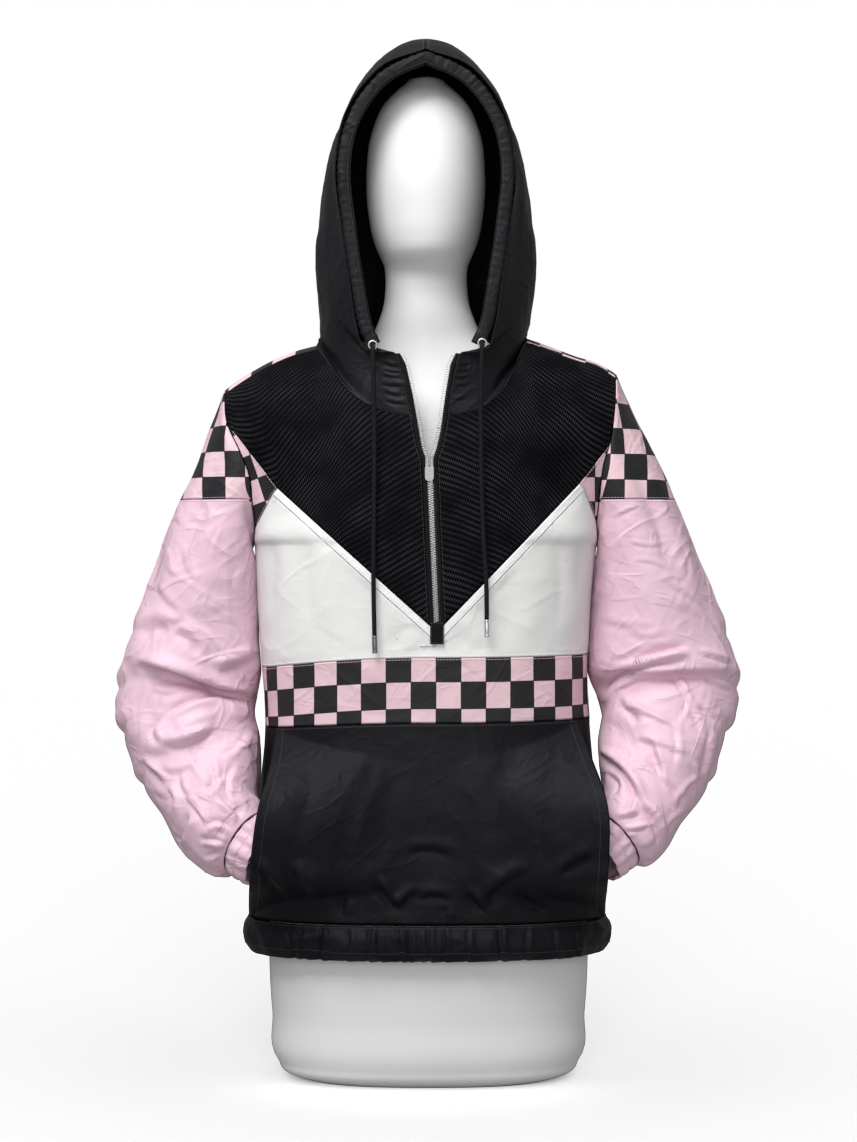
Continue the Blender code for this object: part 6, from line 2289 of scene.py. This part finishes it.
    def build_cap(self, cap: Array, seam_ring: Array) -> None:
        """The checked cap, from the armhole down to its level seam.

        Args:
            cap: the angles of its columns
            seam_ring: the ring of its seam at each of them
        """
        share = np.linspace(0, 1, 43)[:, None]
        ring = share * seam_ring
        angle = np.broadcast_to(cap, ring.shape)
        word = self.side.word
        cloth = Cloth("sleeve_cap_" + word, drawn_in(self.surface(angle, ring), 0.0005), self.middles(ring))
        steps = np.diff(cloth.points, axis=1)
        shown = np.maximum(np.abs(steps[..., 0]), self.least_shown * np.linalg.norm(steps, axis=-1))
        across = np.hstack([np.zeros((len(share), 1)), np.cumsum(shown, axis=1)])
        front = len(cap) * 3 // 4
        line, above_seam = (-0.2433, 0.0036) if self.side is Side.LEFT else (0.2100, 0.0065)
        start = across[:, front] + self.side.sign * (cloth.points[:, front, 0] - line)
        cloth.checks = squares(across - start[:, None], cloth.points[..., 2], (0.0, self.cap_seam - above_seam),
                               (self.square, self.square_height))
        x, y, z = (cloth.points[..., axis] for axis in range(3))
        swell = self.hand_folds(cloth) + 0.0012 * rumple(y / 0.03 + 9, z / 0.05, 121 + self.side.value)
        swell += 0.0005 * crinkle(y / 0.028 + 9, z / 0.034 + x / 0.06, 123)
        cloth.push(swell * cloth.border_fade(0.010))
        cloth.build("checks", "hung", ["back_yoke", "dress_form"])
        core = np.array([self.side.sign * 0.20, 0.0, 0.66])
        cloth.sew(Thread.PINK, Edge.HIGH, 0.0018, 0.0006, core)

    def build_lower(self, cap: Array, under: Array, seam_ring: Array) -> None:
        """The lower sleeve, from the cap seam and the underarm to the cuff.

        Args:
            cap: the angles of the columns below the cap
            under: the angles of the columns under the arm
            seam_ring: the ring of the cap's seam at each angle of cap
        """
        angle = np.concatenate([cap, under])
        start = np.concatenate([seam_ring, np.zeros(len(under))])
        share = np.linspace(0, 1, 191)[:, None]
        ring = start + (self.last_ring - start) * share
        spread = np.broadcast_to(angle, ring.shape)
        word = self.side.word
        cloth = Cloth("sleeve_" + word, drawn_in(self.surface(spread, ring), columns=False), self.middles(ring),
                      ring=True, seams=(Edge.LOW, Edge.HIGH))
        turns = spread / (2 * math.pi)
        edge = cloth.edge_distance((Edge.LOW, Edge.HIGH))
        to_cuff = ease(7.0, 11.5, ring)
        swell = self.hand_folds(cloth)
        swell += 0.0009 * rumple(turns * 12, ring * 1.1, 131 + self.side.value, 12)
        swell += (0.0003 + 0.0004 * to_cuff) * crinkle(turns * 12, ring * 1.15, 133 + self.side.value, 12)
        facing_body = np.clip(-np.cos(spread), 0, 1) ** 2
        swell += self.inner_fullness * facing_body * ease(0.6, 2.4, ring) * (1 - ease(6.0, 8.0, ring))
        pleats = rumple(turns * 34, ring * 0.35, 135 + self.side.value, 34)
        swell += 0.0022 * pleats * ease(9.6, 11.8, ring)
        cloth.push(swell * ease(0, 0.014, edge))
        cloth.build("pink", "hung", ["sleeve_cap_" + word, "cuff_" + word])
        path = cloth.border_path(Edge.LOW, 0.0018, 0.0006)[:len(cap)]
        STITCHES[Thread.PINK].run(path, np.array([self.side.sign * 0.20, 0.0, 0.62]))

    def build_cuff(self) -> None:
        """The elastic cuff: a short tube with uneven gathers, which goes on into the pocket."""
        centre, out, fore = self.frame_at(np.array(self.last_ring))
        inward = -self.side.sign * np.cross(fore, out)
        share = np.linspace(0, 1, 29)
        path = centre + (0.0014 + 0.0280 * share)[:, None] * inward
        angle = circle(168)
        turns = angle / (2 * math.pi)
        gather = rumple(turns * 30, 0 * turns, 141 + self.side.value, 30) + 0.5 * np.cos(14 * angle)
        radius = follow(share, np.array([0.0, 0.5, 1.0]), np.array([0.0345, 0.0355, 0.0330]))[:, None]
        row = 1 - 0.6 * np.exp(-(((share - 0.5) / 0.06) ** 2)) - 0.5 * np.exp(-(((share - 0.03) / 0.05) ** 2))
        radius = radius + 0.0020 * gather[None] * row[:, None] + 0.0010 * np.sin(2 * math.pi * share)[:, None] ** 2
        round_it = np.cos(angle)[:, None] * out + np.sin(angle)[:, None] * fore
        word = self.side.word
        cloth = Cloth("cuff_" + word, path[:, None] + radius[..., None] * round_it[None], path[:, None], ring=True,
                      seams=(Edge.LOW, Edge.HIGH))
        cloth.build("pink", "gathered", ["sleeve_" + word], wall=0.0012)
        for distance in (0.0030, 0.0130):
            cloth.sew(Thread.PINK, Edge.LOW, distance, 0.0007, path.mean(axis=0))

    def build(self) -> None:
        """All three pieces."""
        cap, under = self.angles()
        seam_ring = self.seam_ring(cap)
        self.build_cap(cap, seam_ring)
        self.build_lower(cap, under, seam_ring)
        self.build_cuff()


LEFT_FRONT_FOLDS = Chart(FOLD_COLUMNS, [
    (-290, 344, -268, 338, -246, 346, 2.8, 2.2, 0.9),
    (-264, 344, -262, 322, -246, 304, 2.8, 2.2, 0.9),
    (-236, 352, -228, 336, -230, 316, 2.8, 2.2, 0.9),
    (-206, 350, -214, 330, -208, 312, 2.6, 2.0, 0.9),
    (-296, 318, -282, 312, -266, 316, 2.6, 1.8, 0.9),
    (-258, 314, -244, 300, -236, 284, 2.6, 2.0, 0.9),
    (-196, 382, -206, 366, -222, 358, 2.8, 2.0, 0.9),
    (-302, 428, -284, 420, -262, 424, 2.8, 2.0, 0.9),
    (-212, 470, -232, 462, -252, 468, 2.8, 1.6, 0.9),
    (-292, 504, -274, 496, -262, 500, 2.6, 1.4, 0.9),
    (-318, 449, -262, 440, -186, 406, 4.2, 12.5, 1.0),
    (-216, 421, -254, 416, -284, 394, 3.4, 5.6, 0.5),
    (-278, 400, -296, 381, -276, 364, 3.4, 4.4, 0.7),
    (-286, 368, -258, 368, -222, 385, 3.8, 6.9, 0.9),
    (-272, 380, -252, 392, -226, 402, 11.0, -4.5, 0.0),
    (-312, 352, -268, 360, -232, 366, 6.0, 4.4, 0.6),
    (-310, 349, -295, 338, -280, 325, 3.4, 5.0, 0.9),
    (-281, 322, -272, 311, -276, 297, 3.0, 3.8, 0.9),
    (-252, 298, -258, 282, -270, 258, 3.0, 3.8, 0.9),
    (-194, 288, -206, 305, -224, 318, 2.7, 4.0, 0.9),
    (-202, 276, -222, 291, -242, 276, 2.7, 4.5, 0.9),
    (-206, 264, -227, 272, -244, 268, 2.4, 4.0, 0.9),
    (-208, 256, -222, 257, -238, 250, 2.2, 3.8, 0.9),
    (-236, 330, -250, 318, -262, 322, 2.5, 2.8, 0.8),
    (-214, 340, -226, 330, -240, 318, 2.7, 3.0, 0.8),
    (-262, 510, -243, 500, -226, 488, 2.2, 1.4, 0.8),
    (-314, 478, -296, 492, -272, 486, 6.8, 4.5, 0.8),
    (-276, 488, -254, 478, -244, 462, 3.8, 4.2, 0.9),
    (-230, 444, -208, 450, -186, 464, 5.1, 4.4, 0.7),
    (-270, 590, -262, 556, -246, 540, 2.5, 1.0, 0.8),
    (-222, 604, -232, 586, -236, 560, 2.0, 0.9, 0.8),
    (-262, 520, -240, 508, -214, 512, 2.2, 0.9, 0.8),
    (-206, 560, -214, 540, -208, 516, 2.4, 1.0, 0.8),
    (-290, 560, -276, 548, -262, 552, 2.2, 0.9, 0.8),
    (-300, 540, -284, 520, -266, 506, 3.5, 1.8, 0.8),
])
RIGHT_FRONT_FOLDS = Chart(FOLD_COLUMNS, [
    (206, 402, 232, 398, 262, 382, 2.8, 2.4, 0.9),
    (216, 372, 246, 366, 282, 352, 2.8, 2.2, 0.9),
    (212, 346, 238, 336, 252, 318, 2.6, 2.2, 0.9),
    (256, 400, 262, 370, 256, 344, 2.8, 1.9, 0.9),
    (288, 412, 300, 398, 316, 392, 2.6, 1.9, 0.9),
    (214, 330, 212, 310, 204, 296, 2.6, 2.2, 0.9),
    (240, 336, 262, 318, 270, 296, 2.8, 2.0, 0.9),
    (276, 352, 286, 334, 302, 322, 2.6, 1.7, 0.9),
    (208, 486, 236, 480, 262, 490, 2.8, 1.6, 0.9),
    (282, 474, 246, 467, 196, 452, 3.8, 7.5, 1.0),
    (278, 456, 238, 452, 202, 434, 3.8, 7.5, 0.3),
    (222, 448, 198, 434, 176, 410, 5.1, 10.6, 0.4),
    (288, 463, 308, 459, 330, 450, 2.5, 3.0, 0.8),
    (294, 438, 310, 430, 330, 420, 2.5, 2.8, 0.8),
    (200, 412, 214, 402, 226, 389, 4.7, 5.0, 0.8),
    (172, 353, 202, 342, 224, 300, 3.8, 7.5, 1.0),
    (220, 306, 236, 290, 241, 258, 3.4, 5.6, 0.9),
    (182, 338, 200, 328, 190, 312, 2.7, 3.2, 0.8),
    (195, 288, 207, 294, 224, 298, 2.2, 3.5, 0.9),
    (198, 278, 216, 280, 234, 285, 2.2, 3.8, 0.9),
    (202, 272, 212, 262, 222, 252, 2.4, 3.8, 0.9),
    (250, 444, 274, 420, 262, 390, 2.2, 2.8, 0.9),
    (273, 422, 282, 400, 290, 376, 2.6, 1.8, 0.9),
    (234, 378, 240, 352, 247, 326, 3.4, 3.2, 0.8),
    (300, 390, 296, 360, 286, 330, 3.4, 2.8, 0.8),
    (262, 300, 276, 322, 296, 330, 2.7, 2.8, 0.9),
    (252, 276, 262, 290, 280, 296, 2.5, 2.8, 0.9),
    (196, 606, 214, 616, 232, 624, 2.0, 1.2, 0.8),
    (248, 540, 276, 526, 300, 506, 2.4, 1.0, 0.8),
    (186, 500, 216, 490, 250, 492, 4.0, 1.5, 0.7),
    (212, 586, 232, 578, 262, 582, 2.0, 0.9, 0.8),
    (216, 560, 240, 560, 258, 548, 2.0, 1.0, 0.8),
    (230, 540, 222, 520, 228, 500, 2.2, 0.9, 0.8),
    (272, 580, 280, 560, 276, 540, 2.2, 0.9, 0.8),
])
OUTER_FOLDS = Chart(FOLD_COLUMNS, [
    (-60, 440, -10, 424, 44, 430, 8, 4.0, 0.8),
    (-70, 400, -34, 376, 10, 372, 7, 3.4, 0.8),
    (-40, 500, 0, 480, 40, 486, 9, 2.8, 0.7),
    (-84, 350, -60, 326, -20, 316, 6, 2.8, 0.8),
    (30, 560, 24, 530, 34, 500, 9, 2.4, 0.7),
    (-30, 600, -20, 560, -30, 530, 8, 2.2, 0.7),
])


def back_sleeve_folds(side: Side) -> Chart:
    """Elbow and forearm folds of the back of a sleeve.

    Args:
        side: the sleeve's side

    Returns:
        The chart.
    """
    return Chart(FOLD_COLUMNS, [
        (side.sign * x1, z1, side.sign * x2, z2, side.sign * x3, z3, width, depth, ridge)
        for x1, z1, x2, z2, x3, z3, width, depth, ridge in (
            (320, 470, 262, 452, 200, 462, 8, 4.0, 0.8),
            (322, 430, 280, 410, 210, 420, 7, 3.6, 0.8),
            (300, 380, 262, 366, 214, 380, 7, 3.2, 0.8),
            (250, 600, 256, 560, 248, 500, 9, 2.8, 0.7),
            (284, 340, 258, 320, 230, 320, 6, 2.6, 0.8),
        )
    ])


# ---------------------------------------------------------------- hem


HEM_FOLDS = Chart(FOLD_COLUMNS, [
    (-150, 178, -146, 158, -140, 134, 2.6, 3.2, 0.8),
    (-132, 178, -136, 160, -128, 134, 2.4, 2.6, 0.8),
    (-114, 182, -113, 160, -116, 134, 2.4, 4.0, 0.9),
    (-88, 176, -84, 160, -90, 134, 2.2, 2.2, 0.8),
    (-60, 182, -63, 160, -64, 134, 2.0, 2.8, 0.9),
    (-52, 172, -52, 160, -50, 134, 1.8, 2.2, 0.8),
    (-34, 182, -31, 160, -28, 134, 2.0, 2.8, 0.9),
    (-20, 178, -20, 160, -22, 134, 1.8, 2.2, 0.8),
    (-10, 174, -9, 160, -10, 134, 1.8, 2.0, 0.8),
    (1, 182, 0, 160, 2, 134, 2.0, 2.8, 0.9),
    (15, 180, 17, 160, 16, 134, 1.8, 2.6, 0.8),
    (42, 178, 41, 160, 40, 134, 1.8, 2.2, 0.8),
    (76, 182, 75, 160, 77, 134, 2.4, 3.8, 0.9),
    (106, 178, 103, 160, 102, 134, 2.2, 2.2, 0.8),
    (132, 176, 134, 160, 136, 134, 2.2, 2.0, 0.8),
    (158, 178, 156, 160, 160, 134, 2.4, 2.6, 0.8),
])


@dataclass
class Hem:
    """The gathered elastic hem casing."""

    columns: int = 560
    rows: int = 22
    top: float = 0.1777
    bottom: float = 0.1410
    waves: int = 38

    def build(self) -> None:
        """A ring below the hem seam whose gathers deepen downwards, turned under at the foot."""
        dense = np.linspace(-math.pi, math.pi, 1441)
        facing = np.where(np.abs(dense) <= QUARTER, -1.0, 1.0)
        turn = np.where(facing < 0, dense, np.sign(dense) * math.pi - dense)
        loop = BODY.points(turn, np.full_like(dense, BODY.hem_seam), facing)
        length = run_length(loop)
        spots = np.linspace(0, length[-1], self.columns + 1)[:-1]
        x, y, _ = at_spots(loop, length, spots).T
        outward = unit(np.stack([x / 0.19**2, y / 0.12**2], axis=-1))
        share = np.linspace(0, 1, self.rows + 1)
        height = self.top + (self.bottom - self.top) * share
        puff = follow(share, np.array([0.0, 0.37, 0.75, 1.0]), np.array([0.0, 0.0045, 0.0030, -0.0035]))
        turns = spots / length[-1]
        wave = 0.0
        for count, seed, size in ((self.waves, 151, 0.55), (2 * self.waves, 152, 0.30), (17, 153, 0.25)):
            wave = wave + size * rumple(np.broadcast_to(turns * count, (len(share), len(turns))),
                                        np.broadcast_to(share[:, None] * 1.6, (len(share), len(turns))), seed, count)
        ridges = 1 - np.abs(wave) * 2.2
        swell = puff[:, None] + 0.0034 * (ridges - 0.35) * (0.25 + 0.75 * ease(0, 0.35, share))[:, None]
        points = np.stack([x[None] + outward[None, :, 0] * swell, y[None] + outward[None, :, 1] * swell,
                           np.broadcast_to(height[:, None], swell.shape)], axis=-1)
        middle = np.array([0.0, 0.0, 0.16])
        cloth = Cloth("hem_band", points, middle, ring=True, seams=(Edge.LOW, Edge.HIGH))
        cloth.push(fold_heights(cloth.points, cloth.normals(), HEM_FOLDS, View.FRONT))
        cloth.build("black", "gathered", ["back", "front_lower", "dress_form"], wall=0.0016)
        for distance in (0.0020, 0.0290):
            cloth.sew(Thread.BLACK, Edge.LOW, distance, 0.0010, middle)


# ---------------------------------------------------------------- zip, cords and hardware


def zip_depth(x: Array, height: Array) -> Array:
    """How far the zip stands in front of the middle: on the body, and above the throat on the collar."""
    on_body = -BODY.points(BODY.turn_at(x, height), np.minimum(height, 0.717), -1.0)[..., 1]
    return np.where(height > 0.705, COLLAR_DEPTH.read("depth", height, "height"), on_body)


@dataclass
class ZipSide:
    """One tape with its row of teeth."""

    side: Side
    foot: float = 0.4962
    top: float = 0.783
    pitch: float = 0.0026
    tooth_long: float = 0.0034
    tooth_wide: float = 0.00105
    tooth_thick: float = 0.0022
    hidden_edge: float = 0.0022
    tape_sink: float = 0.0013

    def build_tape(self) -> None:
        """A strip beside the teeth, from the foot to the collar's top."""
        heights = np.linspace(self.foot, self.top, 161)
        edge = PLAN.zip_x(self.side, heights)
        out = PLAN.tape_width - np.where(heights > 0.697, 0.0009, 0.0005)
        share = np.linspace(0, 1, 6)[None, :]
        near, far = edge + self.side.sign * (PLAN.tooth_row + PLAN.seam_gap), edge + self.side.sign * out
        x = near[:, None] * (1 - share) + far[:, None] * share
        x = np.hstack([x, far[:, None] + self.side.sign * self.hidden_edge])
        z = np.broadcast_to(heights[:, None], x.shape)
        depth = zip_depth(x, z)
        depth[:, -1] -= self.tape_sink
        cloth = Cloth("zip_tape_" + self.side.word, np.stack([x, -depth, z], axis=-1), AXIS)
        cloth.build("tape", "stretched", ["yoke_" + self.side.word], wall=0.0011)
        inner = Edge.START if self.side is Side.RIGHT else Edge.END
        cloth.sew(Thread.BLACK, inner, 0.0011, 0.0007, AXIS)

    def tooth(self) -> tuple[Array, Array]:
        """One tooth lying along +x: a waisted block with a domed head, as points and triangles."""
        long, wide, thick = self.tooth_long, self.tooth_wide, self.tooth_thick
        profile = np.array([(-0.5, 0.80, 0.82), (-0.34, 1.00, 1.0), (0.02, 0.92, 1.0), (0.20, 0.70, 0.92),
                            (0.36, 0.98, 0.94), (0.5, 0.62, 0.66)])
        corners = np.array([(-1, -1), (1, -1), (1, 1), (-1, 1)]) * 0.5
        points = np.array([[(at * long, c[0] * thick * t, c[1] * wide * w) for c in corners]
                           for at, w, t in profile]).reshape(-1, 3)
        faces = []
        for ring in range(len(profile) - 1):
            for corner in range(4):
                a, b = 4 * ring + corner, 4 * ring + (corner + 1) % 4
                faces.append((a, b, b + 4, a + 4))
        faces += [(3, 2, 1, 0), tuple(4 * len(profile) - 4 + k for k in range(4))]
        return points, np.array(faces)

    def build_teeth(self) -> None:
        """Teeth at an even pitch, square to the row, half a pitch apart from the other side's."""
        heights = np.linspace(self.foot, self.top, 400)
        x = PLAN.zip_x(self.side, heights)
        line = np.stack([x, -zip_depth(x, heights), heights], axis=-1)
        length = run_length(line)
        start = 0.0010 if self.side is Side.LEFT else 0.0010 + self.pitch / 2
        spots = np.arange(start, length[-1] - 0.0008, self.pitch)
        place = at_spots(line, length, spots)
        along = unit(at_spots(line, length, spots + 0.001) - place)
        front = np.array([0.0, -1.0, 0.0])
        inward = unit(np.cross(front, along)) * -self.side.sign
        inward = inward * np.sign((inward * np.array([-self.side.sign, 0, 0])).sum(axis=1))[:, None]
        over = np.cross(inward, along)
        centre = place - inward * (self.tooth_long / 2 - 0.0007)
        points, faces = self.tooth()
        spread = (centre[:, None] + points[None, :, :1] * inward[:, None] + points[None, :, 1:2] * over[:, None]
                  + points[None, :, 2:] * along[:, None])
        index = (faces[None] + len(points) * np.arange(len(spots))[:, None, None]).reshape(-1, 4)
        handed = float((np.cross(inward[0], over[0]) * along[0]).sum())
        index = index if handed > 0 else index[:, ::-1]
        word = self.side.word
        plain_object("teeth_row_" + word, spread.reshape(-1, 3), index, "silver", "zip_teeth_" + word, smooth=False)
        LOG.info("zip_teeth_%s: %d teeth", word, len(spots))

    def build(self) -> None:
        """The tape and the teeth."""
        self.build_tape()
        self.build_teeth()


@dataclass
class ZipTab:
    """The small cloth tab over the foot of the zip."""

    low: float = 0.4760
    high: float = 0.4990
    start: float = 0.0018
    end: float = 0.0160
    lift: float = 0.0021

    def build(self) -> None:
        """The body's points moved out over the teeth, with a stitched border."""
        x = np.linspace(self.start, self.end, 17)
        heights = np.linspace(self.low, self.high, 25)
        high, wide = np.meshgrid(heights, x, indexing="ij")
        grid = BODY.points(BODY.turn_at(wide, high), high, -1.0)
        grid[..., 1] -= self.lift
        cloth = Cloth("zip_tab", grid, AXIS)
        edge = cloth.edge_distance((Edge.LOW, Edge.HIGH, Edge.START, Edge.END))
        cloth.push(0.0005 * ease(0, 0.003, edge))
        cloth.build("tape", "stretched", ["yoke_right"])
        for edge_name in Edge:
            cloth.sew(Thread.BLACK, edge_name, 0.0014, 0.0006, AXIS)


CORD_COLUMNS = "x height depth"
CORD_ROUTES = {
    Side.LEFT: Chart(CORD_COLUMNS, [
        (-0.0588, 0.7915, 0.1215), (-0.0588, 0.7912, 0.1265), (-0.0587, 0.7870, 0.1315),
        (-0.0585, 0.7790, 0.1330), (-0.0575, 0.7400, 0.1335), (-0.0568, 0.6800, 0.1345),
        (-0.0572, 0.6200, 0.1355), (-0.0578, 0.5600, 0.1355), (-0.0575, 0.5200, 0.1352),
        (-0.0567, 0.4850, 0.1350),
    ]),
    Side.RIGHT: Chart(CORD_COLUMNS, [
        (0.0567, 0.7935, 0.1215), (0.0567, 0.7932, 0.1265), (0.0565, 0.7890, 0.1315),
        (0.0562, 0.7810, 0.1330), (0.0550, 0.7400, 0.1335), (0.0552, 0.6850, 0.1345),
        (0.0562, 0.6250, 0.1355), (0.0588, 0.5700, 0.1355), (0.0608, 0.5350, 0.1352),
        (0.0612, 0.5020, 0.1350),
    ]),
}


@dataclass
class Drawstring:
    """One drawstring end, its metal tip and the eyelet that it comes out of."""

    side: Side
    radius: float = 0.0024
    tip_radius: float = 0.0029
    tip_length: float = 0.018
    eyelet_radius: float = 0.0042
    eyelet_wire: float = 0.0012

    def route(self, count: int) -> Array:
        """Even places on the smooth curve through the route's points.

        Args:
            count: number of places

        Returns:
            The places.
        """
        chart = CORD_ROUTES[self.side]
        spots = np.stack([chart["x"], -chart["depth"], chart["height"]], axis=-1)
        knots = run_length(spots)
        where = np.linspace(0, knots[-1], 600)
        dense = np.stack([follow(where, knots, spots[:, axis]) for axis in range(3)], axis=-1)
        length = run_length(dense)
        return at_spots(dense, length, np.linspace(0, length[-1], count))

    def build_tip(self, top: Array, down: Array) -> bpy.types.Object:
        """The turned tip: a thin tube with a rolled rim at each end and two crimped grooves.

        Args:
            top: where it starts
            down: its direction

        Returns:
            The object.
        """
        share = np.array([0, 0, 0.015, 0.05, 0.09, 0.13, 0.16, 0.19, 0.5, 0.80, 0.83, 0.86, 0.90, 0.95, 0.985, 1, 1])
        size = np.array([0.55, 0.86, 0.97, 1.0, 0.98, 0.90, 0.86, 0.92, 0.94, 0.92, 0.86, 0.90, 0.98, 1.0, 0.97, 0.86,
                         0.5])
        path = top + share[:, None] * self.tip_length * down
        path = path + np.arange(len(share))[:, None] * 1e-7 * down
        right = unit(np.cross(down, np.array([0.0, 1.0, 0.0])))
        over = np.cross(right, down)
        angle = circle(24)
        spread = np.cos(angle)[:, None] * over + np.sin(angle)[:, None] * right
        points, faces, uv = tube_mesh(path[:, None] + (size * self.tip_radius)[:, None, None] * spread[None])
        # Painted shade and light: the left tip takes the darker metal and the right tip the brighter one, for the
        # shade and the light on them; both tips are the same metal.
        finish = "dark_slider_and_shaded_tip_metal" if self.side is Side.LEFT else "painted_lit_tip_metal"
        return plain_object("tip_" + self.side.word, points, faces, finish, "aglet_" + self.side.word, uv)

    def build_eyelet(self, spot: Array) -> None:
        """A rolled ring: a flattened torus, wider in front than it is deep.

        Args:
            spot: its centre
        """
        major, minor = 40, 14
        turn, tilt = circle(major)[:, None], circle(minor)[None]
        far = self.eyelet_radius + self.eyelet_wire * np.cos(tilt)
        y = 0.7 * self.eyelet_wire * np.sin(tilt) + 0 * turn
        points = np.stack([far * np.cos(turn), y, far * np.sin(turn)], axis=-1) + spot
        index = np.arange(major * minor).reshape(major, minor)
        after, beside = np.roll(index, -1, axis=0), np.roll(index, -1, axis=1)
        both = np.roll(after, -1, axis=1)
        faces = np.stack([index, after, both, beside], axis=-1).reshape(-1, 4)
        outward = np.cross(points[1, 0] - points[0, 0], points[0, 1] - points[0, 0])
        middle = spot + self.eyelet_radius * np.array([1.0, 0.0, 0.0])
        if (outward * (points[0, 0] - middle)).sum() < 0:
            faces = faces[:, ::-1]
        word = self.side.word
        plain_object("eyelet_ring_" + word, points.reshape(-1, 3), faces, "silver", "eyelet_" + word)

    def build(self) -> None:
        """The cord first, then its tip and its eyelet."""
        path = self.route(121)
        rings = swept_rings(path, self.radius, 14, np.array([1.0, 0.0, 0.0]))
        points, faces, uv = tube_mesh(rings)
        cord = plain_object("braid_" + self.side.word, points, faces, "cord", "cord_" + self.side.word, uv)
        down = unit(path[-1] - path[-2])
        tip = self.build_tip(path[-1] + down * 0.0003, down)
        self.build_eyelet(path[0] + np.array([0.0, 0.0004, 0.0]))
        tuple(path[0])


def dress_metal() -> None:
    """Gives the slider and its pull tab their metal."""
    for name, finish in (("zip_slider", "dark_slider_and_shaded_tip_metal"), ("zip_pull", "pull_darker_metal")):
        node = bpy.data.objects[name]
        for slot in node.material_slots:
            slot.material = WARDROBE[finish]


# ---------------------------------------------------------------- studio


@dataclass
class Studio:
    """A pale floor, a white room, soft lights and the camera."""

    camera_distance: float = 3.0
    camera_height: float = 0.553
    lens: float = 86.0

    def build_camera(self) -> None:
        """A level camera that looks along +Y."""
        data = bpy.data.cameras.new("camera")
        data.lens = self.lens
        data.sensor_width = 36.0
        data.sensor_fit = "AUTO"
        camera = bpy.data.objects.new("camera", data)
        camera.location = (0.0, -self.camera_distance, self.camera_height)
        camera.rotation_euler = (QUARTER, 0.0, 0.0)
        bpy.context.scene.collection.objects.link(camera)
        bpy.context.scene.camera = camera

    def add_light(self, name: str, place: Sequence[float], target: Sequence[float], size: float,
                  power: float) -> bpy.types.Object:
        """A square soft light that faces its target.

        Args:
            name: its name
            place: where it is
            target: what it faces
            size: length of a side
            power: its power, in watts

        Returns:
            The light's object.
        """
        data = bpy.data.lights.new(name, "AREA")
        data.shape = "SQUARE"
        data.size = size
        data.energy = power
        light = bpy.data.objects.new(name, data)
        light.location = place
        direction = Vector(target) - Vector(place)
        light.rotation_euler = direction.to_track_quat("-Z", "Y").to_euler()
        bpy.context.scene.collection.objects.link(light)
        return light

    def build(self) -> None:
        """The floor, the world and the lights."""
        half = 9.0
        points = np.array([(-half, -half, 0.0), (half, -half, 0.0), (half, half, 0.0), (-half, half, 0.0)])
        mesh = bpy.data.meshes.new("floor")
        mesh.from_pydata(points.tolist(), [], [(0, 1, 2, 3)])
        mesh.materials.append(WARDROBE["paper"])
        floor = bpy.data.objects.new("floor", mesh)
        bpy.context.scene.collection.objects.link(floor)
        floor.is_shadow_catcher = True
        world = bpy.data.worlds.new("room")
        world.use_nodes = True
        tree = world.node_tree
        room, backdrop = tree.nodes["Background"], tree.nodes.new("ShaderNodeBackground")
        ray, choice = tree.nodes.new("ShaderNodeLightPath"), tree.nodes.new("ShaderNodeMixShader")
        for node, strength in ((room, 0.32), (backdrop, 1.0)):
            node.inputs[0].default_value = (1.0, 1.0, 1.0, 1.0)
            node.inputs[1].default_value = strength
        tree.links.new(ray.outputs["Is Camera Ray"], choice.inputs[0])
        tree.links.new(room.outputs[0], choice.inputs[1])
        tree.links.new(backdrop.outputs[0], choice.inputs[2])
        tree.links.new(choice.outputs[0], tree.nodes["World Output"].inputs[0])
        bpy.context.scene.world = world
        key = self.add_light("key", (-0.8, -1.7, 2.6), (0, 0, 0.50), 1.3, 56.0)
        unlit = bpy.data.collections.new("floor_left_unlit")
        unlit.objects.link(floor)
        unlit.collection_objects[0].light_linking.link_state = "EXCLUDE"
        key.light_linking.receiver_collection = unlit
        self.add_light("front", (0.0, -3.4, 0.9), (0, 0, 0.6), 1.2, 24.0)
        top = self.add_light("top", (-0.1, -0.6, 2.9), (0, 0, 0.3), 1.0, 20.0)
        top.light_linking.receiver_collection = unlit
        bpy.context.scene.view_settings.view_transform = "Standard"
        bpy.context.scene.view_settings.look = "None"
        bpy.context.scene.view_settings.exposure = 0.0


def main() -> None:
    """Builds the studio, the cords, and every piece of the jacket and its form."""
    logging.basicConfig(level=logging.INFO, format="%(message)s")
    studio = Studio()
    studio.build_camera()
    for side in SIDES:
        Drawstring(side).build()
    DressForm().build()
    ChestPanel().build()
    CheckBand().build()
    for side in SIDES:
        MeshYoke(side).build()
        Trim(side).build()
        SideInsert(side).build()
        HoodHalf(side).build()
        ZipSide(side).build()
    ZipTab().build()
    Pocket().build()
    FrontLower().build()
    BackPanel().build()
    BackYoke().build()
    Casing().build()
    Sleeve(Side.LEFT, LEFT_FRONT_FOLDS, OUTER_FOLDS, back_sleeve_folds(Side.LEFT)).build()
    Sleeve(Side.RIGHT, RIGHT_FRONT_FOLDS, OUTER_FOLDS, back_sleeve_folds(Side.RIGHT)).build()
    Hem().build()
    for stitching in STITCHES.values():
        stitching.build()
    dress_metal()
    studio.build()


if __name__ == "__main__":
    main()
